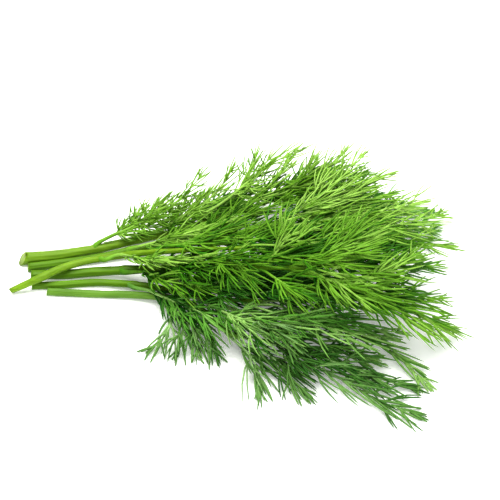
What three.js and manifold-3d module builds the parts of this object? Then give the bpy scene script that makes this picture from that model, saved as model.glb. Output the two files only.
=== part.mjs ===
// A bunch of cut dill, lying loose on a flat surface.
//
// Seven stems run side by side from their cut ends and spread into a fan. Each
// stem carries its leaves: a leaf is a thin rachis with side branches on both
// sides, and it sits on its stem by its foot. Every stem and every leaf is its
// own closed solid, a little clear of all the others.
//
// Millimetres. +X runs along the bunch from the cut ends to the leaf tips, +Y
// is across it and +Z is up. The origin is at the middle of the footprint, on
// the surface that the bunch lies on.
import * as THREE from "three";
import { mergeVertices } from "three/addons/utils/BufferGeometryUtils.js";
import Module from "manifold-3d";

// ---- driving dimensions ----------------------------------------------------
const STEM_SIDES = 8; // sides of a stem's section, one of them facing down
const RACHIS_SIDES = 4; // sides of a leaf's rachis
const BRANCH_SIDES = 3; // sides of a side branch
const BRANCH_RUNS = 2; // straight runs in a side branch
const SHORT_BRANCH = 10.5; // a branch shorter than this is one straight run
const BRANCH_FOOT = 0.5; // a branch's foot radius, as a share of its rachis there
const BRANCH_FOOT_MAX = 0.42; // and the most that it may be
const BRANCH_TIP = 0; // radius where a branch ends: it is pointed
const BRANCH_CURL = 0.12; // how far a branch bends back towards its rachis
const CUT_SLANT = { thick: 4.6, second: 0.8, crossing: -1.2, middle: 0.6, lower: 0.5, front: 0.7, back: 0.6 }; // how much further a stem reaches at the lower edge of its cut than at the upper
const JOIN_TOLERANCE = 0.05; // detail smaller than this is dropped where a branch joins its rachis
const SURFACE = 0; // height of the surface that the bunch lies on

const STEM_COLOUR = { thick: 0x8cb43a, second: 0x86ad38, crossing: 0x8fbf3f, middle: 0x7fae34, lower: 0x84b43c, front: 0x7eb04a, back: 0x6f9a34 };
const LEAF_COLOUR = { thick: 0x6fa52c, second: 0x66a02a, crossing: 0x6aa62e, middle: 0x5f9a2a, lower: 0x4f8a28, front: 0x4d8a35, back: 0x3f7420 };

// ---- stems: [x, y, z, radius] from the cut end to the top ---------------------
const STEMS = {
  thick: [[-119.97, 22.48, 3.1, 3.4], [-110.32, 23.86, 2.91, 3.2], [-100.69, 25.37, 2.72, 2.98], [-91.17, 27.3, 3.06, 2.74], [-81.72, 29.26, 3.39, 2.49], [-72.25, 31.36, 3.96, 2.3], [-62.79, 33.87, 4.67, 2.22], [-53.29, 35.99, 5.68, 2.12], [-43.72, 37.17, 7.13, 1.97], [-34.21, 38.46, 8.88, 1.8], [-24.93, 40.73, 10.94, 1.63], [-15.86, 43.37, 13.46, 1.46], [-6.81, 45.56, 16.41, 1.3], [2.2, 47.38, 19.68, 1.14], [11.18, 49.08, 23.07, 1.01], [20.11, 50.62, 26.66, 0.9]],
  second: [[-116.43, 16.64, 2.08, 2.3], [-106.5, 18.4, 2.09, 2.31], [-96.56, 20.17, 2.08, 2.29], [-86.63, 21.93, 2.42, 2.25], [-76.71, 23.7, 2.95, 2.2], [-66.91, 25.89, 3.91, 2.17], [-57.09, 27.58, 5.4, 2.12], [-47.27, 27.26, 7.62, 2.01], [-37.65, 25.87, 10.29, 1.88], [-28, 24.84, 13.04, 1.73], [-18.34, 24.09, 15.87, 1.56], [-8.73, 23.28, 18.82, 1.4], [0.78, 22.16, 21.98, 1.25], [10.28, 21.03, 25.19, 1.12], [19.9, 20.51, 28.12, 1.01], [29.61, 20.4, 30.85, 0.9]],
  crossing: [[-123.95, -1.04, 2.06, 1.5], [-115.3, 1.19, 5.18, 1.89], [-106.72, 4, 7.79, 2.1], [-98.68, 9.29, 7.98, 2.04], [-90.16, 13.49, 8.12, 1.95], [-81.05, 15.89, 8.68, 1.85], [-71.73, 16.53, 10.15, 1.81], [-62.57, 16.11, 12.37, 1.76], [-53.72, 14.63, 15.38, 1.67], [-45.06, 12.42, 18.6, 1.57], [-36.54, 9.86, 21.83, 1.47], [-28.33, 6.97, 25.45, 1.36], [-20.23, 3.92, 29.21, 1.25], [-12.02, 0.92, 32.66, 1.14], [-3.75, -2.09, 35.84, 1.02], [4.67, -4.95, 38.93, 0.9]],
  middle: [[-114.2, 10.75, 2.22, 2.45], [-103.14, 11.06, 2.25, 2.48], [-92.09, 11.47, 2.27, 2.51], [-81.06, 11.99, 3.22, 2.52], [-70.05, 11.88, 4.35, 2.47], [-59.11, 11.24, 5.84, 2.37], [-48.63, 9.03, 8.56, 2.24], [-38.78, 5.55, 12.23, 2.07], [-29.28, 1.62, 16.32, 1.9], [-20.18, -2.72, 20.86, 1.71], [-11.31, -7.3, 25.62, 1.52], [-2.21, -11.62, 30.21, 1.38], [6.98, -15.79, 34.74, 1.29], [16.47, -19.64, 38.88, 1.2], [26.6, -22.73, 42.05, 1.06], [36.98, -25.47, 44.72, 0.9]],
  lower: [[-112.94, 2.95, 1.76, 1.95], [-103.83, 3.29, 1.76, 1.95], [-94.73, 3.79, 1.76, 1.95], [-85.66, 4.79, 1.77, 1.96], [-76.56, 5.01, 2.1, 1.93], [-67.52, 4, 2.68, 1.87], [-58.64, 2.23, 3.7, 1.81], [-50.02, -0.36, 5.13, 1.76], [-41.89, -4.05, 6.96, 1.65], [-34.01, -8.19, 8.96, 1.54], [-26.19, -12.45, 10.94, 1.41], [-18.32, -16.47, 13.11, 1.29], [-10.26, -19.99, 15.52, 1.19], [-2.16, -23.3, 18.1, 1.09], [5.93, -26.41, 20.93, 0.99], [14.04, -29.4, 23.83, 0.9]],
  front: [[-104.26, -1.59, 1.76, 1.95], [-96.08, -2.2, 1.76, 1.95], [-87.9, -2.72, 1.76, 1.95], [-79.73, -3.19, 1.76, 1.95], [-71.56, -3.6, 1.75, 1.94], [-63.39, -4.16, 2.25, 1.93], [-55.28, -5.12, 2.78, 1.9], [-47.34, -6.83, 3.82, 1.83], [-39.65, -9.24, 5.26, 1.74], [-32.13, -12.15, 6.71, 1.62], [-25.28, -16.32, 8.28, 1.5], [-19.5, -21.89, 9.89, 1.4], [-14.21, -27.99, 11.26, 1.3], [-9.27, -34.49, 11.92, 1.2], [-4.16, -40.87, 12.37, 1.07], [2.21, -45.97, 12.84, 0.9]],
  back: [[-75.11, 34.7, 1.58, 1.75], [-68.2, 36.74, 1.51, 1.67], [-61.23, 38.47, 2.04, 1.61], [-54.13, 39.33, 2.63, 1.56], [-47.02, 39.99, 3.35, 1.52], [-39.99, 41.24, 4.18, 1.49], [-33.04, 42.79, 5.09, 1.46], [-26.13, 44.54, 6.03, 1.44], [-19.28, 46.49, 6.96, 1.39], [-12.5, 48.68, 7.87, 1.31], [-5.77, 51.02, 8.78, 1.23], [0.94, 53.39, 9.7, 1.14], [7.67, 55.73, 10.67, 1.07], [14.39, 58.06, 11.68, 1.01], [21.1, 60.41, 12.72, 0.96], [27.81, 62.75, 13.76, 0.9]],
};

// ---- leaves --------------------------------------------------------------------
// roll: how far the leaf's plane is rolled about its rachis from level, in degrees
// line: the rachis, [x, y, z, radius] from its foot on the stem to its tip
// branches: [share along the rachis, angle off it (the sign is the side), lean out
// of the leaf's plane, length, forward sweep, droop], angles in degrees
const LEAVES = {
  thick_1: {
    roll: 30,
    line: [[-77.25, 31.48, 7.33, 1.08], [-69.22, 33.56, 10.95, 0.96], [-61.22, 35.77, 13.61, 0.88], [-53.44, 38.57, 16.97, 0.79], [-45.5, 41.53, 19.82, 0.71], [-37.55, 44.83, 22.24, 0.61], [-30.84, 50.17, 24.66, 0.52], [-25.19, 56.7, 26.98, 0.41], [-19.63, 63.32, 29.29, 0.26]],
    branches: [[0.14, -39.6, -1, 10.7, 0.3, -0.08], [0.149, 41.2, 12.4, 12.2, 0.37, -0.14], [0.286, -35.5, -9.4, 18.3, 0.22, -0.14], [0.292, 38, 7.3, 15.3, 0.29, -0.11], [0.422, -32.3, 6, 14.1, 0.23, -0.08], [0.434, 32.3, 6.1, 17.2, 0.33, -0.01], [0.568, -32, -7.3, 13.7, 0.23, -0.1], [0.573, 25.4, -12, 13.6, 0.38, -0.02], [0.708, -23.5, 3.2, 12.9, 0.25, -0.09], [0.718, 28.8, -13.4, 11.3, 0.28, -0.05], [0.849, -20.6, -2.8, 12.4, 0.38, -0.04], [0.858, 28.4, 4, 12.1, 0.29, -0.04]],
  },
  thick_2: {
    roll: 20,
    line: [[-53.98, 36.95, 9.19, 1.03], [-46.47, 35.58, 10.79, 0.92], [-39.06, 38.38, 13.69, 0.85], [-31.78, 41.46, 16.8, 0.77], [-24.43, 44.69, 19.6, 0.68], [-17.43, 48.52, 22.52, 0.6], [-11.3, 53.35, 25.86, 0.5], [-6.33, 59.28, 29.31, 0.4], [-2.94, 66.3, 32.7, 0.26]],
    branches: [[0.201, -34.7, 3.1, 11.5, 0.31, -0.15], [0.205, 38.1, -1.3, 12.8, 0.37, -0.09], [0.357, -37.4, 8.2, 14.9, 0.37, -0.02], [0.369, 36.6, -8.6, 17.1, 0.29, -0.09], [0.516, -24.3, -6.7, 14.8, 0.29, -0.05], [0.53, 31.7, -6.5, 15, 0.35, -0.03], [0.678, -23.5, -2.4, 14.1, 0.32, -0.01], [0.689, 28.2, -0.1, 12.7, 0.31, -0.07], [0.84, -18, 9.5, 12.2, 0.33, -0.1], [0.85, 19.5, 12.1, 10.5, 0.3, -0.01]],
  },
  thick_3: {
    roll: -30,
    line: [[-35.3, 40.75, 11.88, 1.01], [-27.68, 42.09, 12.71, 0.92], [-19.78, 43.8, 15, 0.84], [-12.07, 46.42, 17.46, 0.76], [-4.96, 50.29, 19.33, 0.68], [0.65, 55.62, 22.47, 0.59], [5.04, 61.83, 26.07, 0.5], [8.32, 68.75, 29.57, 0.4], [11.02, 75.94, 33.03, 0.26]],
    branches: [[0.246, -32.9, 1.1, 12.9, 0.36, -0.08], [0.255, 42.1, -9.9, 10.5, 0.41, -0.01], [0.395, -36.2, 1.5, 13.8, 0.35, -0.15], [0.404, 37.6, -12.5, 16.5, 0.42, -0.12], [0.543, -29.1, 7.5, 15.7, 0.32, -0.01], [0.555, 27.2, 3.2, 12.3, 0.36, -0.01], [0.695, -30.6, -12.5, 11.5, 0.24, -0.01], [0.708, 22.3, 8.8, 13.6, 0.26, -0.01], [0.845, -20.3, -9.2, 11.4, 0.35, -0.12], [0.858, 20.3, -5, 11.6, 0.23, -0.09]],
  },
  thick_4: {
    roll: 15,
    line: [[-25.84, 40.71, 14.63, 1.01], [-17.94, 42.76, 18.92, 0.92], [-10.1, 45.69, 22.49, 0.84], [-2.71, 48.81, 26.9, 0.76], [4.26, 52.72, 31.36, 0.68], [11.09, 57.59, 35.03, 0.59], [18.43, 61.96, 38.32, 0.5], [26.47, 65.22, 41.27, 0.4], [34.61, 68.3, 44.14, 0.26]],
    branches: [[0.384, -37.4, 5.3, 14.2, 0.34, -0.06], [0.399, 34.6, 10.1, 14, 0.25, -0.12], [0.511, -38.3, 7.6, 17.5, 0.33, -0.14], [0.52, 29.5, 11.4, 18.2, 0.27, -0.08], [0.631, -31.9, -3.5, 15.4, 0.31, -0.15], [0.641, 23.5, -1.5, 16.4, 0.27, -0.01], [0.756, -25.4, 7.2, 16.4, 0.41, -0.11], [0.764, 23, -1.7, 15, 0.29, -0.06], [0.874, -20.6, -4.1, 12.2, 0.39, -0.07], [0.883, 26.5, 0.1, 13.5, 0.32, -0.11]],
  },
  thick_5: {
    roll: -20,
    line: [[-7.35, 44.38, 18.78, 0.8], [-1.52, 44.64, 20.48, 0.78], [3.85, 45.29, 23.41, 0.72], [9.1, 46.12, 26.54, 0.66], [14.08, 47.77, 29.78, 0.59], [18.5, 50.54, 33.06, 0.52], [22.56, 53.84, 36.33, 0.45], [26.3, 57.56, 39.54, 0.37], [29.85, 61.49, 42.71, 0.26]],
    branches: [[0.294, -36.3, -6.2, 12.7, 0.39, -0.14], [0.301, 31.3, 5, 14, 0.37, -0.07], [0.433, -38.2, -5.2, 18.2, 0.42, -0.13], [0.442, 37.3, 7.4, 19.6, 0.28, -0.13], [0.572, -34.5, 1.7, 16.2, 0.23, -0.15], [0.585, 24.4, -10.5, 17.5, 0.23, -0.06], [0.714, -21.4, 4.6, 13.7, 0.33, -0.15], [0.723, 29.5, 47.7, 15.3, 0.22, 0], [0.855, -18.8, 12.3, 12.5, 0.3, -0.03], [0.864, 22, 13.9, 12.2, 0.25, -0.13]],
  },
  thick_6: {
    roll: 25,
    line: [[6.7, 46.1, 22.39, 0.67], [12.17, 46.91, 25.43, 0.69], [17.9, 46.58, 27.75, 0.64], [23.57, 46.45, 29.8, 0.59], [29.05, 46.85, 32.62, 0.54], [33.88, 48.64, 36.12, 0.48], [38.07, 51.47, 39.76, 0.42], [41.24, 55.62, 43.11, 0.35], [43.68, 60.44, 46.25, 0.26]],
    branches: [[0.245, -32.8, -12.1, 15, 0.38, -0.03], [0.253, 40.3, 4.3, 12.3, 0.23, -0.08], [0.393, -28.3, -10.9, 19.3, 0.33, -0.01], [0.403, 37.2, -8.3, 16.8, 0.27, -0.12], [0.545, -29.3, -6.2, 18.3, 0.31, -0.08], [0.556, 29.7, -8.4, 18.1, 0.25, -0.02], [0.696, -22.4, 4.6, 16.6, 0.4, -0.11], [0.707, 22.2, -11.1, 15.7, 0.31, -0.1], [0.846, -29.1, -3.9, 11.9, 0.31, -0.09], [0.855, 34, 27.2, 11.7, 0.38, 0.18]],
  },
  thick_7: {
    roll: -10,
    line: [[15.69, 47.85, 25.64, 0.59], [21.36, 49.57, 28.65, 0.64], [27.29, 50.46, 30.98, 0.6], [33.34, 49.93, 33.27, 0.55], [39.35, 49.99, 35.84, 0.51], [45.07, 51.49, 38.64, 0.45], [50.49, 53.76, 41.54, 0.4], [55.31, 56.98, 44.54, 0.34], [59.21, 61.29, 47.56, 0.26]],
    branches: [[0.168, -34, -12.4, 14.5, 0.3, -0.03], [0.177, 38.6, -5.4, 13.2, 0.4, -0.08], [0.337, -30.8, 0.1, 18.4, 0.26, -0.02], [0.346, 31.8, 1.1, 17.7, 0.23, -0.05], [0.503, -28.6, -9.9, 17.2, 0.26, -0.13], [0.509, 33.5, 9.6, 18.5, 0.41, -0.14], [0.664, -28.1, -13.9, 13, 0.3, -0.07], [0.678, 30.5, -7.2, 13.9, 0.22, -0.01], [0.83, -17.4, -7.9, 11.2, 0.39, -0.15], [0.839, 20.7, -8.1, 13, 0.38, -0.09]],
  },
  second_1: {
    roll: 20,
    line: [[14.87, 22.72, 27.58, 0.66], [23.08, 24.44, 30.9, 0.69], [31.26, 25.5, 35.14, 0.64], [39.1, 28.75, 38.46, 0.59], [46.45, 33.5, 41.07, 0.53], [53.28, 39.11, 43.35, 0.48], [59.41, 45.59, 45.35, 0.42], [64.83, 52.75, 47.01, 0.35], [70.2, 59.96, 48.65, 0.26]],
    branches: [[0.246, -32.6, 17, 13.1, 0.31, -0.06], [0.256, 31.5, 10.5, 12.3, 0.39, -0.02], [0.396, -31.6, -4.2, 19, 0.4, -0.05], [0.405, 38.7, 13.9, 18.1, 0.4, -0.01], [0.545, -35, 5.3, 18.2, 0.37, -0.03], [0.558, 24.2, 5.5, 17.1, 0.3, -0.03], [0.694, -25.6, 3.5, 14.1, 0.23, -0.13], [0.707, 31.6, 2.5, 14.9, 0.41, -0.11], [0.849, -17.7, 4, 12.7, 0.3, -0.01], [0.859, 28.9, -7.1, 12.4, 0.32, -0.01]],
  },
  second_2: {
    roll: -20,
    line: [[19.7, 22.28, 29.14, 0.62], [28.12, 22.68, 32.86, 0.66], [36.58, 24.45, 35.69, 0.62], [44.55, 28.67, 37.18, 0.57], [52.03, 33.92, 37.98, 0.52], [59.48, 39.22, 38.59, 0.47], [67.36, 43.84, 39.33, 0.41], [75.61, 47.78, 40.04, 0.35], [83.92, 51.59, 40.73, 0.26]],
    branches: [[0.337, -30, -6.1, 17.1, 0.32, -0.01], [0.349, 41.4, 5.6, 15.4, 0.37, -0.12], [0.473, -36.4, -1.1, 24.1, 0.23, -0.13], [0.48, 35.3, 5.5, 25, 0.38, -0.04], [0.6, -26, 7.3, 22.1, 0.34, -0.09], [0.61, 31.3, -4.4, 21.7, 0.38, -0.01], [0.734, -21.2, -13.7, 17.4, 0.37, -0.13], [0.744, 22.5, 8.2, 16.1, 0.37, -0.09], [0.867, -22.9, 13, 14.7, 0.3, -0.09], [0.875, 18.4, -9.1, 15.9, 0.41, -0.13]],
  },
  second_3: {
    roll: 15,
    line: [[-8.02, 25.33, 17.23, 0.87], [3.96, 25.29, 19.76, 0.82], [15.95, 25.18, 22.3, 0.76], [27.88, 25.73, 25, 0.69], [39.55, 27.63, 28.17, 0.62], [50.93, 30.52, 31.66, 0.54], [62.38, 33.66, 34.66, 0.47], [74.18, 36.65, 35.91, 0.38], [86.03, 39.75, 36.08, 0.26]],
    branches: [[0.382, -31.5, 2.6, 14.5, 0.29, -0.11], [0.391, 40, -6.2, 14.2, 0.37, -0.03], [0.483, -31.4, -1.8, 23.8, 0.38, -0.1], [0.49, 37.3, -10.4, 24.9, 0.26, -0.02], [0.585, -35.4, 2.9, 23.4, 0.32, -0.02], [0.594, 36.4, 4.1, 23.3, 0.23, -0.1], [0.688, -27.1, 1.2, 17.9, 0.22, -0.15], [0.696, 25.9, 10.9, 18.4, 0.25, -0.14], [0.787, -25.8, 11.1, 19.1, 0.32, -0.06], [0.799, 30.2, 12.3, 15, 0.31, -0.11], [0.89, -17.6, -5.1, 14.9, 0.37, -0.02], [0.901, 18.4, -1.8, 14.1, 0.41, -0.12]],
  },
  second_4: {
    roll: -15,
    line: [[25.35, 21.84, 27.73, 0.59], [35.5, 21.5, 31.35, 0.64], [45.58, 21.46, 33.66, 0.6], [56, 22.21, 35.13, 0.55], [66.44, 24.05, 35.77, 0.5], [76.72, 26.72, 35.7, 0.45], [86.74, 30.18, 34.93, 0.4], [96.12, 34.79, 33.06, 0.34], [105.26, 39.74, 30.86, 0.26]],
    branches: [[0.155, -36.1, 6.6, 16.6, 0.25, -0.09], [0.167, 33.8, -2.6, 15.1, 0.29, -0.11], [0.273, -30.1, 8.9, 23.2, 0.27, -0.1], [0.285, 30.7, 6.6, 22.6, 0.26, -0], [0.392, -33.5, -8.3, 23.2, 0.28, -0.08], [0.401, 35, -3.9, 23.7, 0.28, -0.06], [0.512, -35.7, -2.3, 18.6, 0.39, -0.02], [0.521, 34.2, -10, 19.3, 0.24, -0.01], [0.631, -29.2, 7.8, 20.3, 0.3, -0.03], [0.639, 22.1, -10.2, 18.3, 0.35, -0.14], [0.748, -25.4, -10.4, 16.2, 0.38, -0], [0.755, 24.5, -0.4, 16, 0.27, -0.11], [0.862, -17.3, 13.9, 15, 0.36, -0.08], [0.873, 17.1, 13.6, 14.1, 0.34, -0.07]],
  },
  second_5: {
    roll: 30,
    line: [[-33.39, 27.09, 14.32, 1.04], [-25.66, 26.44, 17.14, 0.93], [-17.93, 25.8, 19.95, 0.85], [-10.21, 25.96, 22.81, 0.77], [-2.65, 27.47, 25.75, 0.69], [4.77, 29.65, 28.63, 0.6], [12.36, 31.58, 31.22, 0.51], [20.08, 33.38, 33.48, 0.4], [27.83, 35.18, 35.69, 0.26]],
    branches: [[0.201, -35.1, 7.9, 12.8, 0.35, -0.03], [0.209, 39.5, 7.8, 15.3, 0.4, -0.03], [0.357, -30.9, 2.4, 18.8, 0.27, -0.1], [0.368, 36.7, -1.5, 18.6, 0.35, -0.07], [0.515, -24.8, -3.6, 14.7, 0.35, -0.02], [0.529, 32.5, 9.4, 16.5, 0.32, -0.06], [0.675, -32.3, 11.7, 12.9, 0.32, -0.07], [0.689, 30.1, 6.2, 13.2, 0.27, -0.07], [0.839, -18.4, -2.4, 14.1, 0.37, -0.06], [0.847, 28.3, -13.2, 12.3, 0.3, -0.15]],
  },
  second_6: {
    roll: -25,
    line: [[-57.51, 25.75, 8.36, 0.96], [-50.94, 25.25, 11.24, 0.88], [-44.38, 24.76, 14.1, 0.81], [-37.84, 24.28, 17.03, 0.74], [-31.36, 23.81, 20.09, 0.66], [-24.91, 23.38, 23.21, 0.58], [-18.41, 23.14, 26.25, 0.49], [-11.86, 23.13, 29.19, 0.39], [-5.3, 23.17, 32.12, 0.26]],
    branches: [[0.167, -39.9, -13, 14.2, 0.37, -0.16], [0.18, 41.1, -5.9, 13.2, 0.23, -0.09], [0.338, -29.9, 3, 16.8, 0.27, -0.11], [0.346, 38.5, 6, 18.4, 0.4, -0.07], [0.499, -27.6, -11.4, 17.3, 0.28, -0.01], [0.511, 30.1, -6.1, 16.3, 0.33, -0.02], [0.666, -27.7, -12.6, 16.5, 0.3, -0.11], [0.676, 32, -2.9, 16.6, 0.33, -0.1], [0.829, -18.1, 10.2, 11.3, 0.28, -0.1], [0.839, 21.9, -7.7, 11.7, 0.25, -0.06]],
  },
  crossing_1: {
    roll: 10,
    line: [[-54.09, 11.01, 14.41, 1.03], [-46.05, 11.44, 15.23, 0.93], [-39.61, 7.09, 18.2, 0.85], [-33.2, 2.27, 21.18, 0.77], [-26.46, -2.25, 24.43, 0.69], [-19.77, -6.14, 29, 0.6], [-12.38, -9.28, 33.93, 0.5], [-4.48, -9.76, 37.47, 0.4], [2.6, -10.58, 41.73, 0.26]],
    branches: [[0.245, -33.1, -8.4, 14.6, 0.31, -0.1], [0.254, 34.8, 0, 12.6, 0.3, -0.03], [0.393, -31.1, 12.8, 17.3, 0.23, -0.12], [0.403, 28.7, -5.4, 21.1, 0.24, -0.03], [0.546, -28.7, -3.1, 18.5, 0.32, -0.06], [0.556, 27.7, 13.4, 15.7, 0.33, -0.1], [0.699, -27.7, 5.2, 15.4, 0.34, -0.05], [0.709, 24.1, -9.4, 13.9, 0.38, -0.02], [0.846, -26.3, 8.4, 12.8, 0.37, -0.08], [0.858, 16.6, 0.7, 11.5, 0.31, -0.14]],
  },
  crossing_2: {
    roll: 20,
    line: [[-15.3, 4.7, 30.93, 0.74], [-6.87, 2.87, 34.35, 0.74], [1.57, 1.07, 37.75, 0.68], [10.27, -0.19, 40.7, 0.63], [19.21, -0.79, 43.11, 0.57], [28.26, -0.93, 45.11, 0.5], [37.39, -0.6, 46.7, 0.44], [46.56, 0.51, 47.56, 0.36], [55.72, 1.84, 48.21, 0.26]],
    branches: [[0.266, -39.2, -2.6, 18.1, 0.37, -0.01], [0.277, 35.5, 11.6, 16.8, 0.36, -0.08], [0.413, -37.6, 7.3, 20.5, 0.36, -0.13], [0.421, 39.3, -9.1, 24.4, 0.28, -0.13], [0.558, -28.8, 2.8, 17.6, 0.41, -0.11], [0.567, 31.5, -1.8, 17.6, 0.25, -0.11], [0.705, -21.7, -7.1, 17.3, 0.22, -0.04], [0.714, 29.1, -11.5, 16.7, 0.39, -0.11], [0.85, -28, -14, 17, 0.37, -0.1], [0.862, 25.6, -4.3, 13.9, 0.33, -0.06]],
  },
  crossing_3: {
    roll: -15,
    line: [[2.05, -1.31, 35.14, 0.59], [16.44, -5.54, 39.25, 0.64], [31.41, -8.48, 42.76, 0.6], [47.36, -7.83, 42.94, 0.55], [62.53, -3.07, 40.33, 0.51], [77.07, 2.76, 36.45, 0.46], [91.74, 7.51, 31.71, 0.4], [106.25, 11.58, 25.9, 0.34], [120.71, 15.59, 19.96, 0.26]],
    branches: [[0.225, -39.4, -0.7, 15.4, 0.42, -0.12], [0.238, 34.3, 0.5, 14.9, 0.41, -0.05], [0.308, -35.6, 2.6, 21.5, 0.31, -0.09], [0.32, 37.1, -10, 18.3, 0.29, -0.12], [0.39, -35.3, -2.5, 20.2, 0.38, -0.11], [0.4, 31.9, -10.5, 21, 0.23, -0.04], [0.476, -36.3, 11.6, 22.7, 0.28, -0.14], [0.485, 32.8, 10.6, 23.2, 0.29, -0.07], [0.558, -23.3, -13.4, 17.9, 0.4, -0.07], [0.569, 24.7, 2.3, 21.5, 0.36, -0.09], [0.644, -29.2, 8.3, 20.7, 0.37, -0.04], [0.655, 26.9, 9.5, 17.7, 0.32, -0.15], [0.729, -20, -3.1, 17.8, 0.27, -0.1], [0.737, 23, -3.6, 18.5, 0.23, -0.02], [0.808, -21.7, 5.6, 17.1, 0.26, -0.14], [0.818, 25.7, 13.1, 16.9, 0.27, -0.03], [0.894, -24.5, 0.8, 15.7, 0.26, -0.13], [0.901, 17, 0.3, 15.8, 0.4, -0.08]],
  },
  crossing_4: {
    roll: 15,
    line: [[1.76, -1.83, 36.64, 0.59], [14.9, -7.11, 43.59, 0.64], [29.93, -11.45, 46.72, 0.6], [45.93, -8.97, 47.45, 0.55], [60.89, -2.56, 46.08, 0.51], [75.08, 5, 43.11, 0.46], [88.46, 13.42, 38.96, 0.4], [101.52, 22.17, 34.42, 0.34], [114.64, 30.85, 29.96, 0.26]],
    branches: [[0.272, -37.7, -11.7, 13.9, 0.29, -0.03], [0.285, 40.2, -3.9, 15.9, 0.38, -0.08], [0.353, -35.7, -3.3, 21.4, 0.26, -0.09], [0.36, 36.7, 8.7, 17.9, 0.35, -0.02], [0.432, -32, 14.3, 22.1, 0.33, -0.14], [0.44, 28.4, -9.4, 24.2, 0.29, -0.13], [0.507, -26.8, -3.2, 19, 0.4, -0.16], [0.516, 35.9, 10.4, 19.9, 0.27, -0.15], [0.588, -28.1, 11.6, 18.7, 0.32, -0.13], [0.599, 32.9, 9.2, 22, 0.3, -0.15], [0.662, -23.2, 8.4, 18.7, 0.3, -0.09], [0.676, 23.3, -12.6, 16.5, 0.33, -0.09], [0.746, -21.5, 10.9, 17.3, 0.22, -0.02], [0.753, 26.5, 2, 15.4, 0.27, -0.02], [0.824, -21, -7.4, 15.6, 0.4, -0.1], [0.832, 29.9, 2.7, 14.4, 0.4, -0.1], [0.899, -25.2, 1.8, 14.7, 0.24, -0.05], [0.913, 21.7, -2.3, 13.2, 0.39, -0.14]],
  },
  crossing_5: {
    roll: -30,
    line: [[-72.1, 13.15, 11.97, 1.01], [-65.13, 14.3, 14.59, 0.91], [-57.94, 10.97, 16.51, 0.84], [-50.98, 7.13, 18.76, 0.76], [-43.64, 3.92, 21.45, 0.68], [-36.11, 1.18, 24.14, 0.59], [-28.56, -1.25, 27.08, 0.5], [-21.1, -3.15, 30.58, 0.4], [-13.68, -4.74, 34.32, 0.26]],
    branches: [[0.167, -33.1, 10.6, 13.3, 0.25, -0.05], [0.177, 37.8, -24.1, 14.6, 0.33, -0.11], [0.333, -38.1, -1.1, 19.9, 0.28, -0.03], [0.343, 37.5, -11.8, 17.7, 0.4, -0.09], [0.5, -25.5, -1.4, 18.2, 0.33, -0.07], [0.512, 26.1, 14, 17.8, 0.41, -0.11], [0.667, -20.3, -0.7, 14.7, 0.28, -0.07], [0.674, 20.5, -4.4, 14.3, 0.41, -0.04], [0.833, -18.2, -9.9, 13.8, 0.23, -0.12], [0.843, 19.6, 16, 11.5, 0.25, -0.01]],
  },
  crossing_6: {
    roll: -15,
    line: [[-40.27, 14.01, 20.92, 0.94], [-34.34, 10.94, 25.22, 0.87], [-26.69, 9.7, 27.49, 0.8], [-18.95, 9.27, 29.81, 0.73], [-11.19, 9.41, 32.18, 0.65], [-3.41, 9.91, 34.45, 0.57], [4.33, 10.32, 36.85, 0.48], [12.02, 10.56, 39.44, 0.39], [19.69, 10.78, 42.07, 0.26]],
    branches: [[0.198, -34.1, 1.8, 15.3, 0.36, -0.09], [0.206, 41, 13.9, 14.9, 0.35, -0.03], [0.36, -27, 11.4, 16.4, 0.23, -0.06], [0.366, 36, 13.6, 20, 0.25, -0.12], [0.519, -26.8, -0.3, 17.2, 0.25, -0.11], [0.527, 25.8, 8, 15.9, 0.27, -0.08], [0.677, -25.8, -12.8, 14.5, 0.38, -0.02], [0.689, 24.6, 4, 14.1, 0.31, -0.01], [0.837, -24.6, -1, 13.2, 0.33, -0.16], [0.846, 26.7, 0.6, 13.4, 0.25, -0.15]],
  },
  middle_1: {
    roll: 25,
    line: [[16.49, -17.92, 40.51, 0.74], [18.72, -16.88, 43.29, 0.74], [20.97, -15.83, 46, 0.68], [23.3, -14.2, 48.35, 0.63], [25.52, -11.85, 50.18, 0.57], [27.99, -9.62, 51.78, 0.5], [31.1, -8.34, 53.31, 0.44], [34.51, -7.74, 54.61, 0.36], [37.95, -7.18, 55.89, 0.26]],
    branches: [[0.199, -40.3, 3.3, 12.3, 0.27, -0.01], [0.21, 33.4, 7.8, 13.3, 0.39, -0.01], [0.36, -29.4, 7.6, 17.9, 0.25, -0.07], [0.37, 35.8, 0.7, 16.4, 0.24, -0.09], [0.517, -33.7, -7.6, 13.6, 0.41, -0.04], [0.53, 35.6, -4.3, 14.6, 0.27, -0.15], [0.678, -24.9, -0.9, 14.1, 0.35, -0.09], [0.688, 27.5, -10.2, 12.2, 0.37, -0.04], [0.838, -19.4, 5.7, 9.8, 0.23, -0.09], [0.849, 25.5, -2.5, 10.6, 0.32, -0.08]],
  },
  middle_2: {
    roll: -15,
    line: [[31.54, -23.29, 45.23, 0.61], [36.93, -25.54, 47.6, 0.65], [42.02, -26.02, 50.67, 0.61], [47.39, -24.84, 53.18, 0.56], [52.84, -22.81, 55.01, 0.51], [58.31, -20.23, 55.74, 0.46], [63.64, -17.26, 55.43, 0.4], [68.86, -14.17, 54.77, 0.34], [74.11, -11.1, 54.16, 0.26]],
    branches: [[0.201, -32, 3.4, 16, 0.37, -0.1], [0.209, 31.4, 11.5, 17.1, 0.24, -0.01], [0.358, -31.4, -9.4, 24.2, 0.28, -0.1], [0.369, 29.5, -2.6, 25.4, 0.28, -0.06], [0.519, -32.3, 2.7, 21, 0.35, -0.02], [0.528, 33, 4, 22.6, 0.23, -0.03], [0.679, -21.4, -9.6, 17.4, 0.28, -0.04], [0.687, 30, 11.1, 17.8, 0.33, -0.16], [0.835, -24, -8.8, 15.6, 0.34, -0.05], [0.849, 29.1, -4.9, 14.9, 0.3, -0.1]],
  },
  middle_3: {
    roll: 20,
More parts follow.
